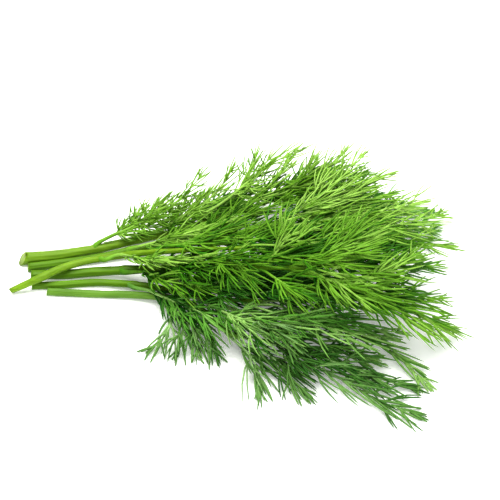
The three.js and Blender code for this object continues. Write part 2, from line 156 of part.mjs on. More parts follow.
    line: [[31.38, -26.72, 43.81, 0.61], [40.23, -31.92, 48.43, 0.65], [48.62, -37.38, 47.9, 0.61], [58.37, -41.25, 48.25, 0.56], [68.63, -38.04, 48.78, 0.51], [77.28, -31.67, 47.99, 0.46], [85.02, -24.31, 46.29, 0.4], [92.3, -16.8, 43.63, 0.34], [98.57, -9.21, 39.16, 0.26]],
    branches: [[0.156, -35.1, -11.6, 14, 0.24, -0.04], [0.168, 35.5, 2.5, 14.8, 0.39, -0.11], [0.272, -29.7, -12.1, 16.5, 0.4, -0.09], [0.281, 28.2, -5.9, 17.3, 0.24, -0.03], [0.391, -30, -10, 19.9, 0.41, -0.07], [0.404, 27.5, -17.6, 19.8, 0.29, -0.08], [0.513, -23.2, 6.6, 15.8, 0.33, -0.03], [0.519, 33.1, 13.6, 15.5, 0.29, -0.08], [0.63, -31.6, 10, 16.4, 0.38, -0.05], [0.636, 23.5, -11, 17.1, 0.29, -0.16], [0.745, -26.8, -6.1, 15.3, 0.39, -0.14], [0.757, 19.5, 11.7, 14.5, 0.35, -0.07], [0.866, -27.1, 12.3, 12.5, 0.3, -0.1], [0.873, 28.5, -5.8, 13.5, 0.22, -0]],
  },
  middle_4: {
    roll: -10,
    line: [[31.7, -24.57, 41.02, 0.61], [42.26, -30.22, 40.57, 0.65], [53.45, -37.2, 42.02, 0.61], [65.65, -38.41, 39.53, 0.56], [77.47, -39.64, 36.01, 0.51], [88.55, -40.15, 30.54, 0.46], [98.58, -39.82, 23.08, 0.4], [108.13, -38.08, 15.16, 0.34], [117.16, -34.79, 7.11, 0.26]],
    branches: [[0.332, -40.4, -12.2, 16.8, 0.31, -0.07], [0.342, 40.8, 3.5, 19.8, 0.29, -0.03], [0.44, -35, -12, 27.7, 0.27, -0.11], [0.453, 35.8, 1.4, 21.8, 0.31, -0.14], [0.554, -37.2, -2.4, 22.7, 0.42, -0.11], [0.564, 31.9, -4.9, 25.1, 0.41, -0.09], [0.662, -23.2, 11.2, 21, 0.25, -0.07], [0.675, 32, -0.8, 22.2, 0.25, -0.07], [0.772, -23.1, -5.9, 17.3, 0.35, -0.01], [0.779, 30.7, 2.8, 19.8, 0.31, -0.03], [0.881, -24.9, 4.6, 14.9, 0.41, -0.13], [0.889, 23, 3.5, 18.6, 0.27, -0.01]],
  },
  middle_5: {
    roll: 20,
    line: [[15.89, -21.9, 38.28, 0.74], [18.42, -24.94, 38.98, 0.74], [20.95, -27.92, 39.72, 0.68], [23.56, -30.88, 40.35, 0.63], [26.43, -33.65, 40.68, 0.57], [29.57, -36.13, 40.57, 0.5], [33.14, -37.86, 40.18, 0.44], [37.07, -38.16, 39.58, 0.36], [41.01, -38, 38.9, 0.26]],
    branches: [[0.263, -41.9, 3.9, 11.9, 0.26, -0.02], [0.276, 41.9, -2.6, 11, 0.35, -0.12], [0.414, -27.6, -1.5, 16.4, 0.25, -0.09], [0.421, 34.1, -11.6, 17.7, 0.27, -0.02], [0.557, -30.9, -1.8, 15.7, 0.26, -0.13], [0.565, 28.2, -6.1, 14.3, 0.37, -0.16], [0.707, -30.4, -6.5, 14.3, 0.24, -0.06], [0.712, 31, -9.7, 12.3, 0.23, -0.06], [0.853, -22.9, -3.8, 9.7, 0.27, -0], [0.863, 27.7, -7.9, 12.2, 0.33, -0.09]],
  },
  middle_6: {
    roll: -20,
    line: [[-10.37, -4.46, 26.55, 0.94], [-4.03, -9.4, 32.09, 0.87], [5.05, -11.33, 35.5, 0.8], [14.02, -13.5, 39.2, 0.73], [22.6, -16.35, 43.38, 0.65], [31.52, -18.95, 46.98, 0.57], [41.12, -20.56, 48.99, 0.48], [51.01, -21.48, 49.82, 0.39], [60.91, -22.36, 50.58, 0.26]],
    branches: [[0.294, -30.3, 6.9, 14.9, 0.37, -0.13], [0.303, 30.4, 4.8, 16, 0.34, -0.04], [0.436, -27.6, -12.2, 18.1, 0.36, -0.05], [0.445, 34.6, -6.9, 21.5, 0.23, -0.13], [0.572, -27.4, -13.9, 19.8, 0.34, -0.1], [0.585, 30.8, 7.3, 18.4, 0.26, -0.14], [0.715, -26, -5.9, 16.3, 0.32, -0.13], [0.725, 31, 9.6, 15.3, 0.35, -0.11], [0.858, -19.5, 2.5, 13.7, 0.37, -0.07], [0.867, 23.6, 9.2, 13.4, 0.33, -0.05]],
  },
  middle_7: {
    roll: 10,
    line: [[32.6, -21.98, 42.49, 0.61], [42.21, -25.8, 47.57, 0.65], [53.61, -28, 48.88, 0.61], [65.05, -26.21, 47.1, 0.56], [75.47, -22.28, 43.06, 0.51], [85.28, -17.64, 38.29, 0.46], [94.45, -12.31, 33.01, 0.4], [102.78, -6.29, 27.11, 0.34], [111.03, -0.19, 21.16, 0.26]],
    branches: [[0.112, -40.4, 3.9, 17.7, 0.3, -0.15], [0.122, 35.3, -2, 16.4, 0.31, -0.12], [0.218, -32.9, -11.1, 23.9, 0.25, -0.12], [0.23, 33.9, 0.4, 21.3, 0.34, -0.16], [0.329, -26.8, 5.1, 21.2, 0.25, -0.12], [0.339, 37.1, 11.1, 22.5, 0.35, -0.01], [0.435, -35.8, -7.9, 21, 0.24, -0.09], [0.444, 26.6, 2.6, 24.2, 0.4, -0.03], [0.546, -30.3, 1.5, 20.8, 0.24, -0.1], [0.553, 32.3, 3.7, 21.6, 0.26, -0.01], [0.653, -25.7, 5.5, 16.6, 0.31, -0.1], [0.666, 32.6, 4.6, 18.6, 0.4, -0.12], [0.762, -28.2, -8.4, 17.2, 0.41, -0.07], [0.772, 18.3, -8, 18.6, 0.27, -0.04], [0.871, -20.2, 0.3, 13.9, 0.26, -0.13], [0.879, 26.3, 6.3, 15.7, 0.27, -0.08]],
  },
  middle_9: {
    roll: 15,
    line: [[31.86, -25.76, 42.13, 0.61], [41.71, -31.38, 45.32, 0.65], [52.06, -36.68, 44.33, 0.61], [63.17, -40.15, 42.55, 0.56], [74.42, -39.24, 38.6, 0.51], [85.14, -36.35, 33.77, 0.46], [94.86, -32.05, 28.51, 0.4], [103.62, -26.52, 22.84, 0.34], [112.34, -20.93, 17.16, 0.26]],
    branches: [[0.175, -41.5, 9.5, 16.8, 0.34, -0.1], [0.183, 33.7, -7.2, 14.8, 0.24, -0.04], [0.29, -29.2, -4.8, 18.9, 0.36, -0.09], [0.303, 33.5, 7.9, 22.3, 0.31, -0.01], [0.404, -31.1, 11.7, 22.1, 0.34, -0.13], [0.416, 25.9, 11.5, 18.5, 0.29, -0.09], [0.523, -24.1, 10.2, 18.3, 0.28, -0.08], [0.533, 35.8, -6, 21.2, 0.35, -0.07], [0.634, -29.5, 7.1, 15.1, 0.38, -0.09], [0.646, 22.8, -12.6, 17.9, 0.33, -0.05], [0.754, -21, -5, 15.1, 0.32, -0], [0.762, 23.7, -7.5, 16.9, 0.36, -0.13], [0.87, -17.5, 4, 14.3, 0.41, -0.15], [0.875, 21.8, 0, 12.3, 0.41, -0.11]],
  },
  middle_8: {
    roll: -15,
    line: [[-59.94, 7.54, 7.68, 0.96], [-53.71, 6.39, 9.58, 0.88], [-48.34, 2.7, 11.9, 0.81], [-43.2, -1.67, 14.51, 0.73], [-37.87, -6.03, 17.05, 0.66], [-32.45, -10.33, 19.5, 0.57], [-26.8, -14.48, 21.69, 0.49], [-20.74, -18.27, 23.36, 0.39], [-14.55, -21.92, 24.84, 0.26]],
    branches: [[0.197, -38.8, -0.3, 13.5, 0.35, -0.05], [0.209, 34.9, -3.3, 11.3, 0.35, -0.03], [0.359, -31.2, 9.6, 18.8, 0.42, -0.15], [0.369, 35, -2.8, 17.6, 0.28, -0.03], [0.52, -27.4, -11.4, 14.8, 0.32, -0.13], [0.527, 32, 9, 14.9, 0.29, -0.14], [0.677, -20.7, -12.5, 15.5, 0.27, -0.14], [0.688, 20.9, 9.8, 14.1, 0.39, -0.07], [0.838, -25.2, -5.6, 12.5, 0.23, -0.09], [0.847, 23.4, 5, 12.3, 0.28, -0.14]],
  },
  lower_1: {
    roll: 15,
    line: [[9.91, -29.4, 21.02, 0.59], [19.46, -34.15, 26, 0.64], [29.86, -39.54, 27.69, 0.6], [41.18, -42.86, 27.69, 0.55], [52.88, -43.45, 25.89, 0.5], [64.11, -43.92, 22.11, 0.45], [74.81, -43.54, 17.03, 0.4], [84.67, -40.24, 11.37, 0.34], [93.91, -35.71, 5.46, 0.26]],
    branches: [[0.235, -34.8, 2.5, 17.3, 0.3, -0.14], [0.243, 34.7, -5.8, 14.7, 0.37, -0.12], [0.342, -38.2, 8.4, 22.4, 0.28, -0.07], [0.352, 37.4, -3.2, 23.6, 0.25, -0.1], [0.448, -26.9, 3.7, 22.1, 0.33, -0.02], [0.459, 28.6, -12.9, 21.3, 0.39, -0.02], [0.556, -23.8, 12.8, 19.5, 0.37, -0.1], [0.566, 27.1, 5.9, 21, 0.39, -0.05], [0.664, -28.3, -9.8, 17.8, 0.26, -0.06], [0.673, 23.1, -6.1, 17.2, 0.24, -0.1], [0.772, -22.9, 7, 18.5, 0.38, -0.11], [0.78, 27.3, -12.9, 16.7, 0.38, -0.14], [0.879, -16.1, -4.3, 13.8, 0.24, -0.16], [0.887, 23.7, -13.6, 14.8, 0.26, -0.11]],
  },
  lower_2: {
    roll: -20,
    line: [[-2.1, -21.79, 19.68, 0.68], [5.29, -24, 23.07, 0.7], [12.74, -26.21, 26.32, 0.65], [20.51, -27.81, 29.12, 0.59], [28.54, -29.13, 31.29, 0.54], [36.33, -31.85, 33, 0.48], [44.11, -34.9, 33.92, 0.42], [52.21, -36.64, 32.62, 0.35], [60.21, -37.78, 30.21, 0.26]],
    branches: [[0.294, -34.1, -4.3, 15.7, 0.37, -0.14], [0.305, 38.9, -2.1, 14, 0.4, -0.06], [0.433, -30.1, -12.1, 18.8, 0.41, -0], [0.444, 34.8, 10, 19.8, 0.32, -0.13], [0.573, -27.4, 3.7, 15.9, 0.32, -0.12], [0.586, 30.9, 1.9, 18.7, 0.38, -0.07], [0.715, -31, -11.8, 14, 0.28, -0.11], [0.723, 25.1, -10.6, 13.7, 0.34, -0.09], [0.854, -21.6, 0.9, 13.3, 0.38, -0.07], [0.866, 26.1, 4.1, 14.6, 0.41, -0.09]],
  },
  lower_3: {
    roll: 20,
    line: [[-19.43, -18.73, 13.3, 0.8], [-13.01, -25.39, 15.91, 0.78], [-6.61, -32.06, 18.53, 0.72], [0.22, -38.32, 21.07, 0.65], [8.01, -43.46, 23.28, 0.59], [16.6, -47.21, 25.33, 0.52], [25.65, -48.66, 28.02, 0.45], [35.03, -47.23, 29.16, 0.37], [44.26, -44.57, 29.16, 0.26]],
    branches: [[0.294, -31.5, 9.5, 12.6, 0.38, -0.13], [0.301, 40.5, 3.9, 13, 0.32, -0.1], [0.433, -36.5, 6.9, 17.4, 0.26, -0.01], [0.445, 29.6, 5.1, 16.9, 0.24, -0.12], [0.571, -26.1, -13.2, 18.1, 0.31, -0.09], [0.582, 29.6, 8.1, 18.1, 0.37, -0.16], [0.717, -27.8, 10.3, 15.1, 0.25, -0.02], [0.726, 27.9, 12.4, 16.3, 0.41, -0.12], [0.854, -28.4, -10.6, 12.3, 0.25, -0.02], [0.867, 26.1, 10.5, 13.2, 0.34, -0.15]],
  },
  lower_4: {
    roll: -15,
    line: [[5.77, -28.02, 19.69, 0.62], [13.37, -34.51, 23.33, 0.66], [23.34, -40.17, 24.91, 0.61], [33.76, -45.12, 25.75, 0.56], [44.77, -48.63, 25.26, 0.51], [56.01, -50.52, 23.41, 0.46], [66.91, -49.89, 19.73, 0.41], [76.88, -47.04, 14.61, 0.34], [86.73, -43.96, 9.36, 0.26]],
    branches: [[0.334, -33.7, -8.5, 16.3, 0.4, -0.1], [0.344, 31.6, -13.4, 16, 0.42, -0.05], [0.441, -30.5, -8.7, 19.8, 0.29, -0.01], [0.45, 31.7, -4.4, 22.7, 0.36, -0.16], [0.551, -25, -7.4, 20.6, 0.31, -0.13], [0.565, 32.8, -14.4, 19.3, 0.39, -0.04], [0.659, -31, -9.6, 18.1, 0.4, -0.05], [0.67, 31.8, -12.6, 19, 0.23, -0.12], [0.774, -29.4, -3.4, 16, 0.23, -0.12], [0.781, 28.5, -15.2, 17.2, 0.36, -0.09], [0.882, -18.8, -12.6, 13.3, 0.24, -0.05], [0.893, 26.9, -1.8, 13.7, 0.42, -0.07]],
  },
  lower_5: {
    roll: 10,
    line: [[10.81, -27.63, 20.33, 0.59], [22.97, -29.59, 24.12, 0.64], [35.37, -34.89, 21.84, 0.6], [48, -39.43, 18.69, 0.55], [60.96, -41.97, 14.71, 0.5], [73.58, -45.51, 10.57, 0.45], [84.86, -52.35, 6.57, 0.4], [94.57, -61.28, 2.95, 0.34], [102.66, -72.25, 0.76, 0.26]],
    branches: [[0.348, -39.7, -2.6, 15.5, 0.4, -0.11], [0.359, 42.1, -0.6, 16.6, 0.39, -0.11], [0.438, -32.9, -5.4, 20.7, 0.25, -0.02], [0.447, 30.6, 4.8, 17.6, 0.42, -0.15], [0.532, -36.8, 5.3, 18.6, 0.39, -0.07], [0.542, 38, 7.4, 18.7, 0.33, -0.11], [0.624, -24.4, -1.7, 20.9, 0.24, -0.05], [0.632, 34.1, 0, 17.2, 0.39, -0.01], [0.713, -31.7, 2.8, 17.8, 0.41, -0.11], [0.725, 21.3, -6.6, 18.4, 0.33, -0.04], [0.806, -22.1, 10.6, 14.4, 0.37, -0.05], [0.815, 25.9, 12.9, 14.6, 0.24, -0.08], [0.894, -22.3, 15.6, 13.6, 0.23, -0.07], [0.906, 25.8, 10.3, 13.4, 0.29, -0.16]],
  },
  lower_6: {
    roll: 30,
    line: [[-33.83, -6.71, 11.4, 0.9], [-28.79, -8.55, 13.85, 0.84], [-23.75, -10.39, 16.29, 0.77], [-18.74, -12.25, 18.77, 0.7], [-13.81, -14.15, 21.39, 0.63], [-8.98, -16.08, 24.17, 0.55], [-4.14, -18.24, 26.74, 0.47], [0.74, -20.76, 28.89, 0.38], [5.61, -23.39, 30.92, 0.26]],
    branches: [[0.197, -32, -3.3, 11.5, 0.41, -0.02], [0.21, 39.4, 9.1, 12.6, 0.25, -0.1], [0.356, -28.3, -11.7, 18, 0.4, -0.05], [0.368, 31.1, -19, 17.8, 0.25, -0.11], [0.519, -31.9, 10.7, 15.4, 0.32, -0.05], [0.53, 23.2, 4.5, 17.2, 0.27, -0], [0.68, -21.8, 5, 13.9, 0.35, -0], [0.688, 27.8, -7.2, 14.6, 0.37, -0.12], [0.837, -20.3, 1.4, 11.9, 0.28, -0.13], [0.846, 17.6, 2, 10.5, 0.37, -0.01]],
  },
  lower_8: {
    roll: 20,
    line: [[-55.37, -2.08, 5.22, 1], [-48.2, -5.22, 6.75, 0.91], [-42.37, -10.41, 8.79, 0.83], [-36.56, -15.83, 10.78, 0.76], [-30.3, -20.83, 12.5, 0.68], [-23.81, -25.61, 14.03, 0.59], [-17.19, -30.33, 15.11, 0.5], [-10.43, -34.94, 15.51, 0.4], [-3.62, -39.51, 15.71, 0.26]],
    branches: [[0.318, -41.4, -1.6, 10.1, 0.38, -0.11], [0.33, 40.6, -9.5, 12.5, 0.24, -0], [0.456, -36.3, 0.5, 14.1, 0.25, -0.09], [0.468, 38.5, -11.6, 13.8, 0.42, -0.03], [0.592, -35.4, -9.9, 12.9, 0.39, -0.15], [0.599, 27.3, 2, 14.4, 0.28, -0.02], [0.729, -27.4, 4.5, 12.4, 0.23, -0.09], [0.739, 30.4, -5.6, 11.8, 0.4, -0.11], [0.863, -23.3, 8.5, 10, 0.28, -0.13], [0.874, 25.4, -3.5, 10.4, 0.33, -0.08]],
  },
  lower_7: {
    roll: 10,
    line: [[-14.16, -19.59, 12.04, 0.76], [-3.89, -25.16, 13.62, 0.75], [6.32, -31.48, 13.72, 0.7], [16.73, -37.7, 13.5, 0.64], [27.66, -42.94, 13.02, 0.58], [39.15, -46.81, 12.34, 0.51], [50.83, -49.92, 11.28, 0.44], [62.46, -52.52, 9.02, 0.36], [73.87, -54.01, 5.16, 0.26]],
    branches: [[0.331, -31.1, 4.3, 14.9, 0.23, -0.04], [0.345, 35.8, 5.2, 15.5, 0.33, -0.16], [0.44, -31.5, 9.8, 17.8, 0.26, -0.01], [0.454, 32.7, 13.5, 18.8, 0.22, -0.16], [0.553, -29.3, 4.4, 19.9, 0.24, -0.06], [0.562, 33.5, -9.7, 16.8, 0.24, -0.16], [0.662, -29, 11.1, 16.7, 0.23, -0.15], [0.673, 32.2, -4.9, 18, 0.28, -0.14], [0.771, -29, -2.6, 14.5, 0.38, -0.13], [0.781, 23.2, -12.6, 15.3, 0.37, -0.08], [0.88, -23, -4.7, 12.1, 0.29, -0.1], [0.892, 17.2, -5.9, 13, 0.24, -0.13]],
  },
  front_1: {
    roll: 10,
    line: [[-40.61, -12.07, 5.1, 0.84], [-38.15, -16.56, 5.65, 0.81], [-35.69, -21.05, 6.21, 0.74], [-34.32, -25.97, 6.35, 0.68], [-35.22, -30.96, 5.69, 0.61], [-37.37, -35.51, 4.63, 0.54], [-40.14, -39.68, 3.46, 0.46], [-43.74, -43.12, 2.15, 0.38], [-47.48, -46.39, 0.81, 0.26]],
    branches: [[0.318, -33.8, -9.5, 14, 0.32, -0.02], [0.333, 37.7, -19.4, 13.3, 0.36, -0.11], [0.453, -34.8, -4, 15.7, 0.26, -0.09], [0.464, 31.5, 4.8, 19.6, 0.29, -0.06], [0.59, -35.5, 11.9, 15, 0.22, -0.06], [0.602, 33.6, -13.3, 17.2, 0.23, -0], [0.726, -25.5, 15, 12.6, 0.26, -0.03], [0.736, 25.7, -2.5, 12.4, 0.28, -0.1], [0.862, -34.2, 51.2, 11.7, 0.24, 0.21], [0.875, 26.1, 15.8, 10.7, 0.35, -0.13]],
  },
  front_9: {
    roll: -15,
    line: [[-36.89, -13.38, 5.79, 0.83], [-34.48, -17.8, 6.33, 0.8], [-32, -22.16, 6.93, 0.74], [-29.77, -26.67, 7.36, 0.67], [-28.37, -31.51, 7.2, 0.6], [-28.19, -36.48, 6.29, 0.53], [-28.79, -41.31, 4.92, 0.46], [-30.11, -45.82, 3.12, 0.37], [-32.4, -49.68, 0.81, 0.26]],
    branches: [[0.319, -36.4, -6.6, 11.6, 0.4, -0.07], [0.328, 34.9, -10.5, 12.4, 0.22, -0.15], [0.459, -34.9, 6.8, 16.3, 0.41, -0.15], [0.464, 37.3, -7.9, 14.6, 0.34, -0.11], [0.589, -24.1, 9, 15, 0.28, -0.06], [0.6, 35.3, -8.4, 11.9, 0.28, -0.11], [0.729, -21.9, -8.1, 11.2, 0.28, -0.13], [0.736, 30.2, -7.3, 10.7, 0.23, -0.01], [0.863, -27.4, 18.8, 10.3, 0.26, 0.21], [0.87, 20.5, 15.9, 9.5, 0.42, 0.48]],
  },
  front_2: {
    roll: -10,
    line: [[-33.27, -14.77, 6.33, 0.83], [-30.39, -18.93, 6.88, 0.8], [-27.46, -23.06, 7.5, 0.73], [-24.72, -27.33, 7.9, 0.67], [-22.61, -31.94, 7.65, 0.6], [-21.44, -36.78, 6.6, 0.53], [-20.76, -41.6, 5.09, 0.46], [-20.05, -46.3, 3.27, 0.37], [-19.65, -50.74, 0.81, 0.26]],
    branches: [[0.322, -40.6, 9.8, 11.6, 0.33, -0.13], [0.33, 42.1, -11.5, 11.1, 0.4, -0.14], [0.455, -27.7, 12.3, 17.6, 0.26, -0.07], [0.464, 28.7, -12.8, 15.7, 0.31, -0.14], [0.592, -32, -8.3, 14.7, 0.28, -0.1], [0.599, 28.9, -10, 14.4, 0.41, -0.15], [0.726, -31.5, -3.7, 13.6, 0.31, -0.07], [0.738, 32.3, 8.6, 13.1, 0.39, -0.08], [0.864, -28.1, -3.9, 11, 0.24, 0.06], [0.872, 34.4, 29.2, 11.3, 0.32, 0.2]],
  },
  front_3: {
    roll: 15,
    line: [[-23.76, -20.88, 7.89, 0.8], [-21.73, -24.69, 8.12, 0.78], [-19.67, -28.48, 8.42, 0.72], [-17.65, -32.3, 8.59, 0.66], [-15.74, -36.17, 8.36, 0.59], [-14.18, -40.05, 7.28, 0.52], [-12.94, -43.79, 5.5, 0.45], [-11.49, -47.32, 3.47, 0.37], [-9.26, -49.87, 0.81, 0.26]],
    branches: [[0.32, -42.2, 3.6, 13, 0.25, -0.09], [0.328, 31.5, 13.4, 11.1, 0.25, -0.01], [0.453, -30.3, -3.4, 14.8, 0.31, -0.14], [0.466, 28.5, -2.3, 18.3, 0.29, -0.03], [0.593, -29.4, 13.1, 15.6, 0.28, -0.07], [0.604, 31.1, -8.1, 14.4, 0.35, -0.14], [0.724, -21.7, 13.6, 11.6, 0.31, -0.02], [0.737, 22.3, 0.2, 12.1, 0.35, -0.14], [0.863, -35.1, 45.6, 12.1, 0.33, 0.33], [0.873, 23.2, 15.8, 12.1, 0.41, 0.2]],
  },
  front_4: {
    roll: -10,
    line: [[-4.22, -41.18, 10.23, 0.67], [-0.57, -44.84, 9.64, 0.69], [3.09, -48.21, 8.92, 0.64], [6.55, -52.3, 8.32, 0.59], [9.7, -55.98, 6.34, 0.54], [11.61, -60.39, 4.36, 0.48], [12.46, -65.38, 3.06, 0.42], [12.97, -70.45, 1.92, 0.35], [13.51, -75.53, 0.76, 0.26]],
    branches: [[0.266, -42.2, 6.2, 14.4, 0.41, -0.11], [0.273, 40.2, 9.4, 12.2, 0.25, -0.07], [0.41, -37.2, 11.4, 17.5, 0.3, -0.08], [0.42, 39.3, 14.2, 16.9, 0.37, -0.02], [0.557, -35.9, 12.3, 14.5, 0.23, -0.15], [0.568, 25.9, 10, 14.8, 0.4, 0.31], [0.706, -26.9, 13.5, 12.8, 0.38, -0.07], [0.714, 28.6, 26.4, 14.4, 0.24, -0.04], [0.849, -22.1, 5.2, 11.8, 0.41, 0.17], [0.858, 17.8, 8.1, 10.6, 0.25, 0.36]],
  },
  front_5: {
    roll: 10,
    line: [[-0.14, -42.55, 10.52, 0.61], [4.04, -47.86, 11.18, 0.66], [9.87, -50.76, 10.77, 0.61], [15.7, -53.6, 9.45, 0.56], [21.24, -56.86, 7.61, 0.51], [25.61, -61.49, 5.77, 0.46], [28.99, -66.99, 4.04, 0.41], [33.43, -71.68, 2.37, 0.34], [38.21, -76.06, 0.76, 0.26]],
    branches: [[0.291, -34.2, -7, 13, 0.41, -0.03], [0.304, 42.7, -10.3, 14.3, 0.37, -0.15], [0.43, -30.7, -1.1, 17.7, 0.27, -0.05], [0.442, 27.3, 3.1, 17, 0.32, -0.11], [0.575, -24.1, 5, 15.4, 0.39, -0], [0.587, 27.6, 1.9, 14.6, 0.38, -0.15], [0.713, -26.7, 14.4, 13.6, 0.27, 0.13], [0.723, 22.7, 20.9, 15.5, 0.24, -0.12], [0.858, -28.7, 24.6, 11.5, 0.32, -0.06], [0.865, 25.7, 7.8, 11.6, 0.29, -0.08]],
  },
  front_6: {
    roll: -10,
    line: [[0.64, -41.85, 11.79, 0.61], [11.45, -49.89, 12.73, 0.66], [22.58, -56.67, 12.1, 0.61], [34.92, -61.88, 10.94, 0.56], [47.64, -66.16, 9.2, 0.51], [59.38, -72.41, 6.87, 0.46], [70.79, -79.2, 4.39, 0.41], [83.03, -84.66, 2.53, 0.34], [95.85, -88.61, 0.96, 0.26]],
    branches: [[0.279, -35.3, -7.7, 15.7, 0.4, -0.14], [0.289, 37.2, 10, 15.5, 0.35, -0], [0.384, -37, 2.5, 18.2, 0.27, -0.02], [0.39, 38.7, 9.2, 18.8, 0.3, -0.05], [0.483, -33.2, -11.1, 21.2, 0.31, -0.11], [0.489, 26.5, -12.7, 21.5, 0.3, -0.12], [0.584, -23.6, 3.8, 20.9, 0.36, -0.01], [0.595, 28.3, 12, 19.1, 0.31, -0.08], [0.681, -22.3, 7.4, 16.6, 0.33, -0.05], [0.694, 30, -0.7, 17.2, 0.28, -0], [0.786, -25, -5.6, 16.8, 0.39, -0.13], [0.793, 29.2, 18.3, 16, 0.29, -0.07], [0.884, -27.4, -6, 14.9, 0.26, -0.07], [0.897, 18.2, 10, 13.4, 0.41, -0.05]],
  },
  front_7: {
    roll: 10,
    line: [[-2.37, -39, 12.76, 0.67], [6.35, -46.62, 15.42, 0.69], [18.62, -51.74, 14.85, 0.64], [31.37, -55.54, 13.72, 0.59], [44.26, -58.51, 11.8, 0.54], [56.95, -61.97, 9.4, 0.48], [69.53, -65.64, 6.74, 0.42], [82.07, -69.41, 4.06, 0.35], [95, -70.42, 1, 0.26]],
    branches: [[0.28, -39, 9.5, 16.2, 0.39, -0.08], [0.29, 35.7, 6.6, 14.4, 0.31, -0.05], [0.38, -37.3, 7, 18.8, 0.28, -0.04], [0.389, 31, 4.4, 19.4, 0.26, -0.15], [0.48, -26.3, 2.1, 20.4, 0.3, -0.1], [0.492, 37, -2.3, 24.3, 0.38, -0.03], [0.582, -27.6, 12, 19.9, 0.36, -0.13], [0.592, 31.4, 12, 19.3, 0.34, -0.08], [0.683, -29.6, -12, 18.3, 0.26, -0.13], [0.693, 21.1, -1.1, 16.5, 0.23, -0.09], [0.782, -29.4, 14, 17.2, 0.27, -0.09], [0.793, 19.6, 10.5, 15.4, 0.26, -0.1], [0.884, -22.3, 15.3, 16.4, 0.36, 0.19], [0.893, 28.5, -2.8, 14, 0.36, -0.05]],
  },
  front_8: {
    roll: -25,
    line: [[-12.74, -26.51, 12.74, 0.81], [-6.61, -30.37, 15.29, 0.78], [-0.5, -34.24, 17.81, 0.72], [5.66, -38.17, 20.16, 0.66], [11.89, -41.98, 22.5, 0.59], [18.04, -46.19, 24.27, 0.52], [23.24, -51.73, 24, 0.45], [27.34, -57.72, 21.59, 0.37], [30.7, -60.69, 15.61, 0.26]],
    branches: [[0.338, -35.4, -17, 13.4, 0.38, -0.1], [0.347, 35.1, -0.8, 11.6, 0.23, -0.04], [0.469, -29.8, 18.6, 17.8, 0.23, -0.01], [0.48, 33.5, 6.2, 16.7, 0.33, -0.06], [0.601, -27.8, -17.4, 15.1, 0.4, -0.11], [0.61, 25.3, -7.6, 15.7, 0.28, -0.08], [0.733, -20.9, 13.5, 12.6, 0.34, -0.04], [0.742, 22.2, -9.6, 13.2, 0.36, -0.03], [0.865, -16.5, -3.8, 11.9, 0.27, -0.09], [0.876, 17.1, 0.5, 10.4, 0.24, -0.12]],
  },
  back_1: {
    roll: 0,
    line: [[-44.08, 42.64, 5.61, 0.93], [-36.51, 45.15, 7.74, 0.86], [-28.93, 47.63, 9.88, 0.79], [-21.38, 50.45, 11.65, 0.72], [-14, 54, 12.57, 0.64], [-6.82, 58.07, 12.77, 0.57], [0.4, 62.08, 12.7, 0.48], [7.62, 66.05, 12.27, 0.39], [14.84, 70.03, 11.76, 0.26]],
    branches: [[0.291, -30.7, 5, 13.8, 0.39, -0.14], [0.303, 40.7, 9, 13.4, 0.41, -0.06], [0.432, -30.4, 12, 20.4, 0.42, -0.15], [0.444, 29, -6.3, 17.5, 0.33, -0.15], [0.577, -27.3, 4.4, 18.7, 0.26, -0.12], [0.584, 26.4, -0.1, 18.1, 0.22, -0.13], [0.717, -31.6, -1.4, 15.2, 0.32, -0.06], [0.726, 19.9, -14, 14.4, 0.24, -0.03], [0.857, -24.1, 1.1, 13.4, 0.23, -0.13], [0.869, 18.6, 13.6, 12.8, 0.36, -0.14]],
  },
  back_2: {
    roll: 10,
    line: [[3.79, 56.48, 9.18, 0.69], [12.78, 60.09, 10.34, 0.7], [21.79, 63.67, 11.56, 0.65], [30.78, 67.36, 12.53, 0.6], [39.69, 71.32, 12.9, 0.54], [48.48, 75.56, 12.64, 0.49], [57.19, 79.9, 11.83, 0.42], [65.78, 84.2, 10.13, 0.35], [74.22, 88.51, 7.76, 0.26]],
    branches: [[0.236, -33.9, -13.8, 14.4, 0.32, -0.13], [0.246, 40.9, -13.9, 16.7, 0.3, -0.11], [0.36, -31.2, -12.8, 19.8, 0.26, -0.1], [0.373, 40, 3, 22.5, 0.25, -0.01], [0.489, -32.9, -13.4, 19, 0.28, -0.15], [0.497, 31.1, -11.2, 19.2, 0.41, -0.1], [0.613, -32.4, 12, 18.5, 0.23, -0.02], [0.624, 22.4, 4.2, 18.4, 0.28, -0.05], [0.738, -31.3, 1.7, 16.5, 0.27, -0.12], [0.746, 24.2, -13.2, 14.4, 0.24, -0.12], [0.865, -24.3, 13.1, 15.6, 0.38, -0.07], [0.877, 20.8, -7.6, 14.6, 0.29, -0.15]],
  },
  back_3: {
    roll: -10,
    line: [[25.15, 59.83, 12.67, 0.58], [35.66, 60.87, 13.87, 0.63], [46.46, 60.27, 14.15, 0.59], [57.28, 59.62, 14.05, 0.54], [68.06, 59.16, 13.06, 0.5], [78.73, 58.85, 11.14, 0.45], [89.31, 58.83, 8.76, 0.4], [99.75, 59.48, 5.92, 0.34], [110.07, 60.47, 2.76, 0.26]],
    branches: [[0.156, -31.7, 1.1, 16.9, 0.34, -0.15], [0.167, 34, 4.9, 18.5, 0.23, -0.15], [0.275, -31.1, -3.4, 23, 0.39, -0.09], [0.286, 36.5, 10.9, 23.8, 0.23, -0.12], [0.389, -27.5, -8.5, 25.8, 0.31, -0.09], [0.401, 30.9, 3.1, 22.2, 0.34, -0.14], [0.508, -35.2, -5, 23.5, 0.36, -0.12], [0.52, 32.1, -5.6, 22.3, 0.42, -0.03], [0.627, -26.8, -2.9, 20.8, 0.32, -0.01], [0.639, 23.6, 10, 21.1, 0.27, -0.04], [0.746, -19.2, 13.7, 16.2, 0.4, -0.02], [0.756, 18.8, 13.4, 18.1, 0.39, -0.07], [0.864, -21.9, -14.3, 18.4, 0.26, -0.04], [0.875, 22.3, 3.6, 14.6, 0.24, -0.09]],
  },
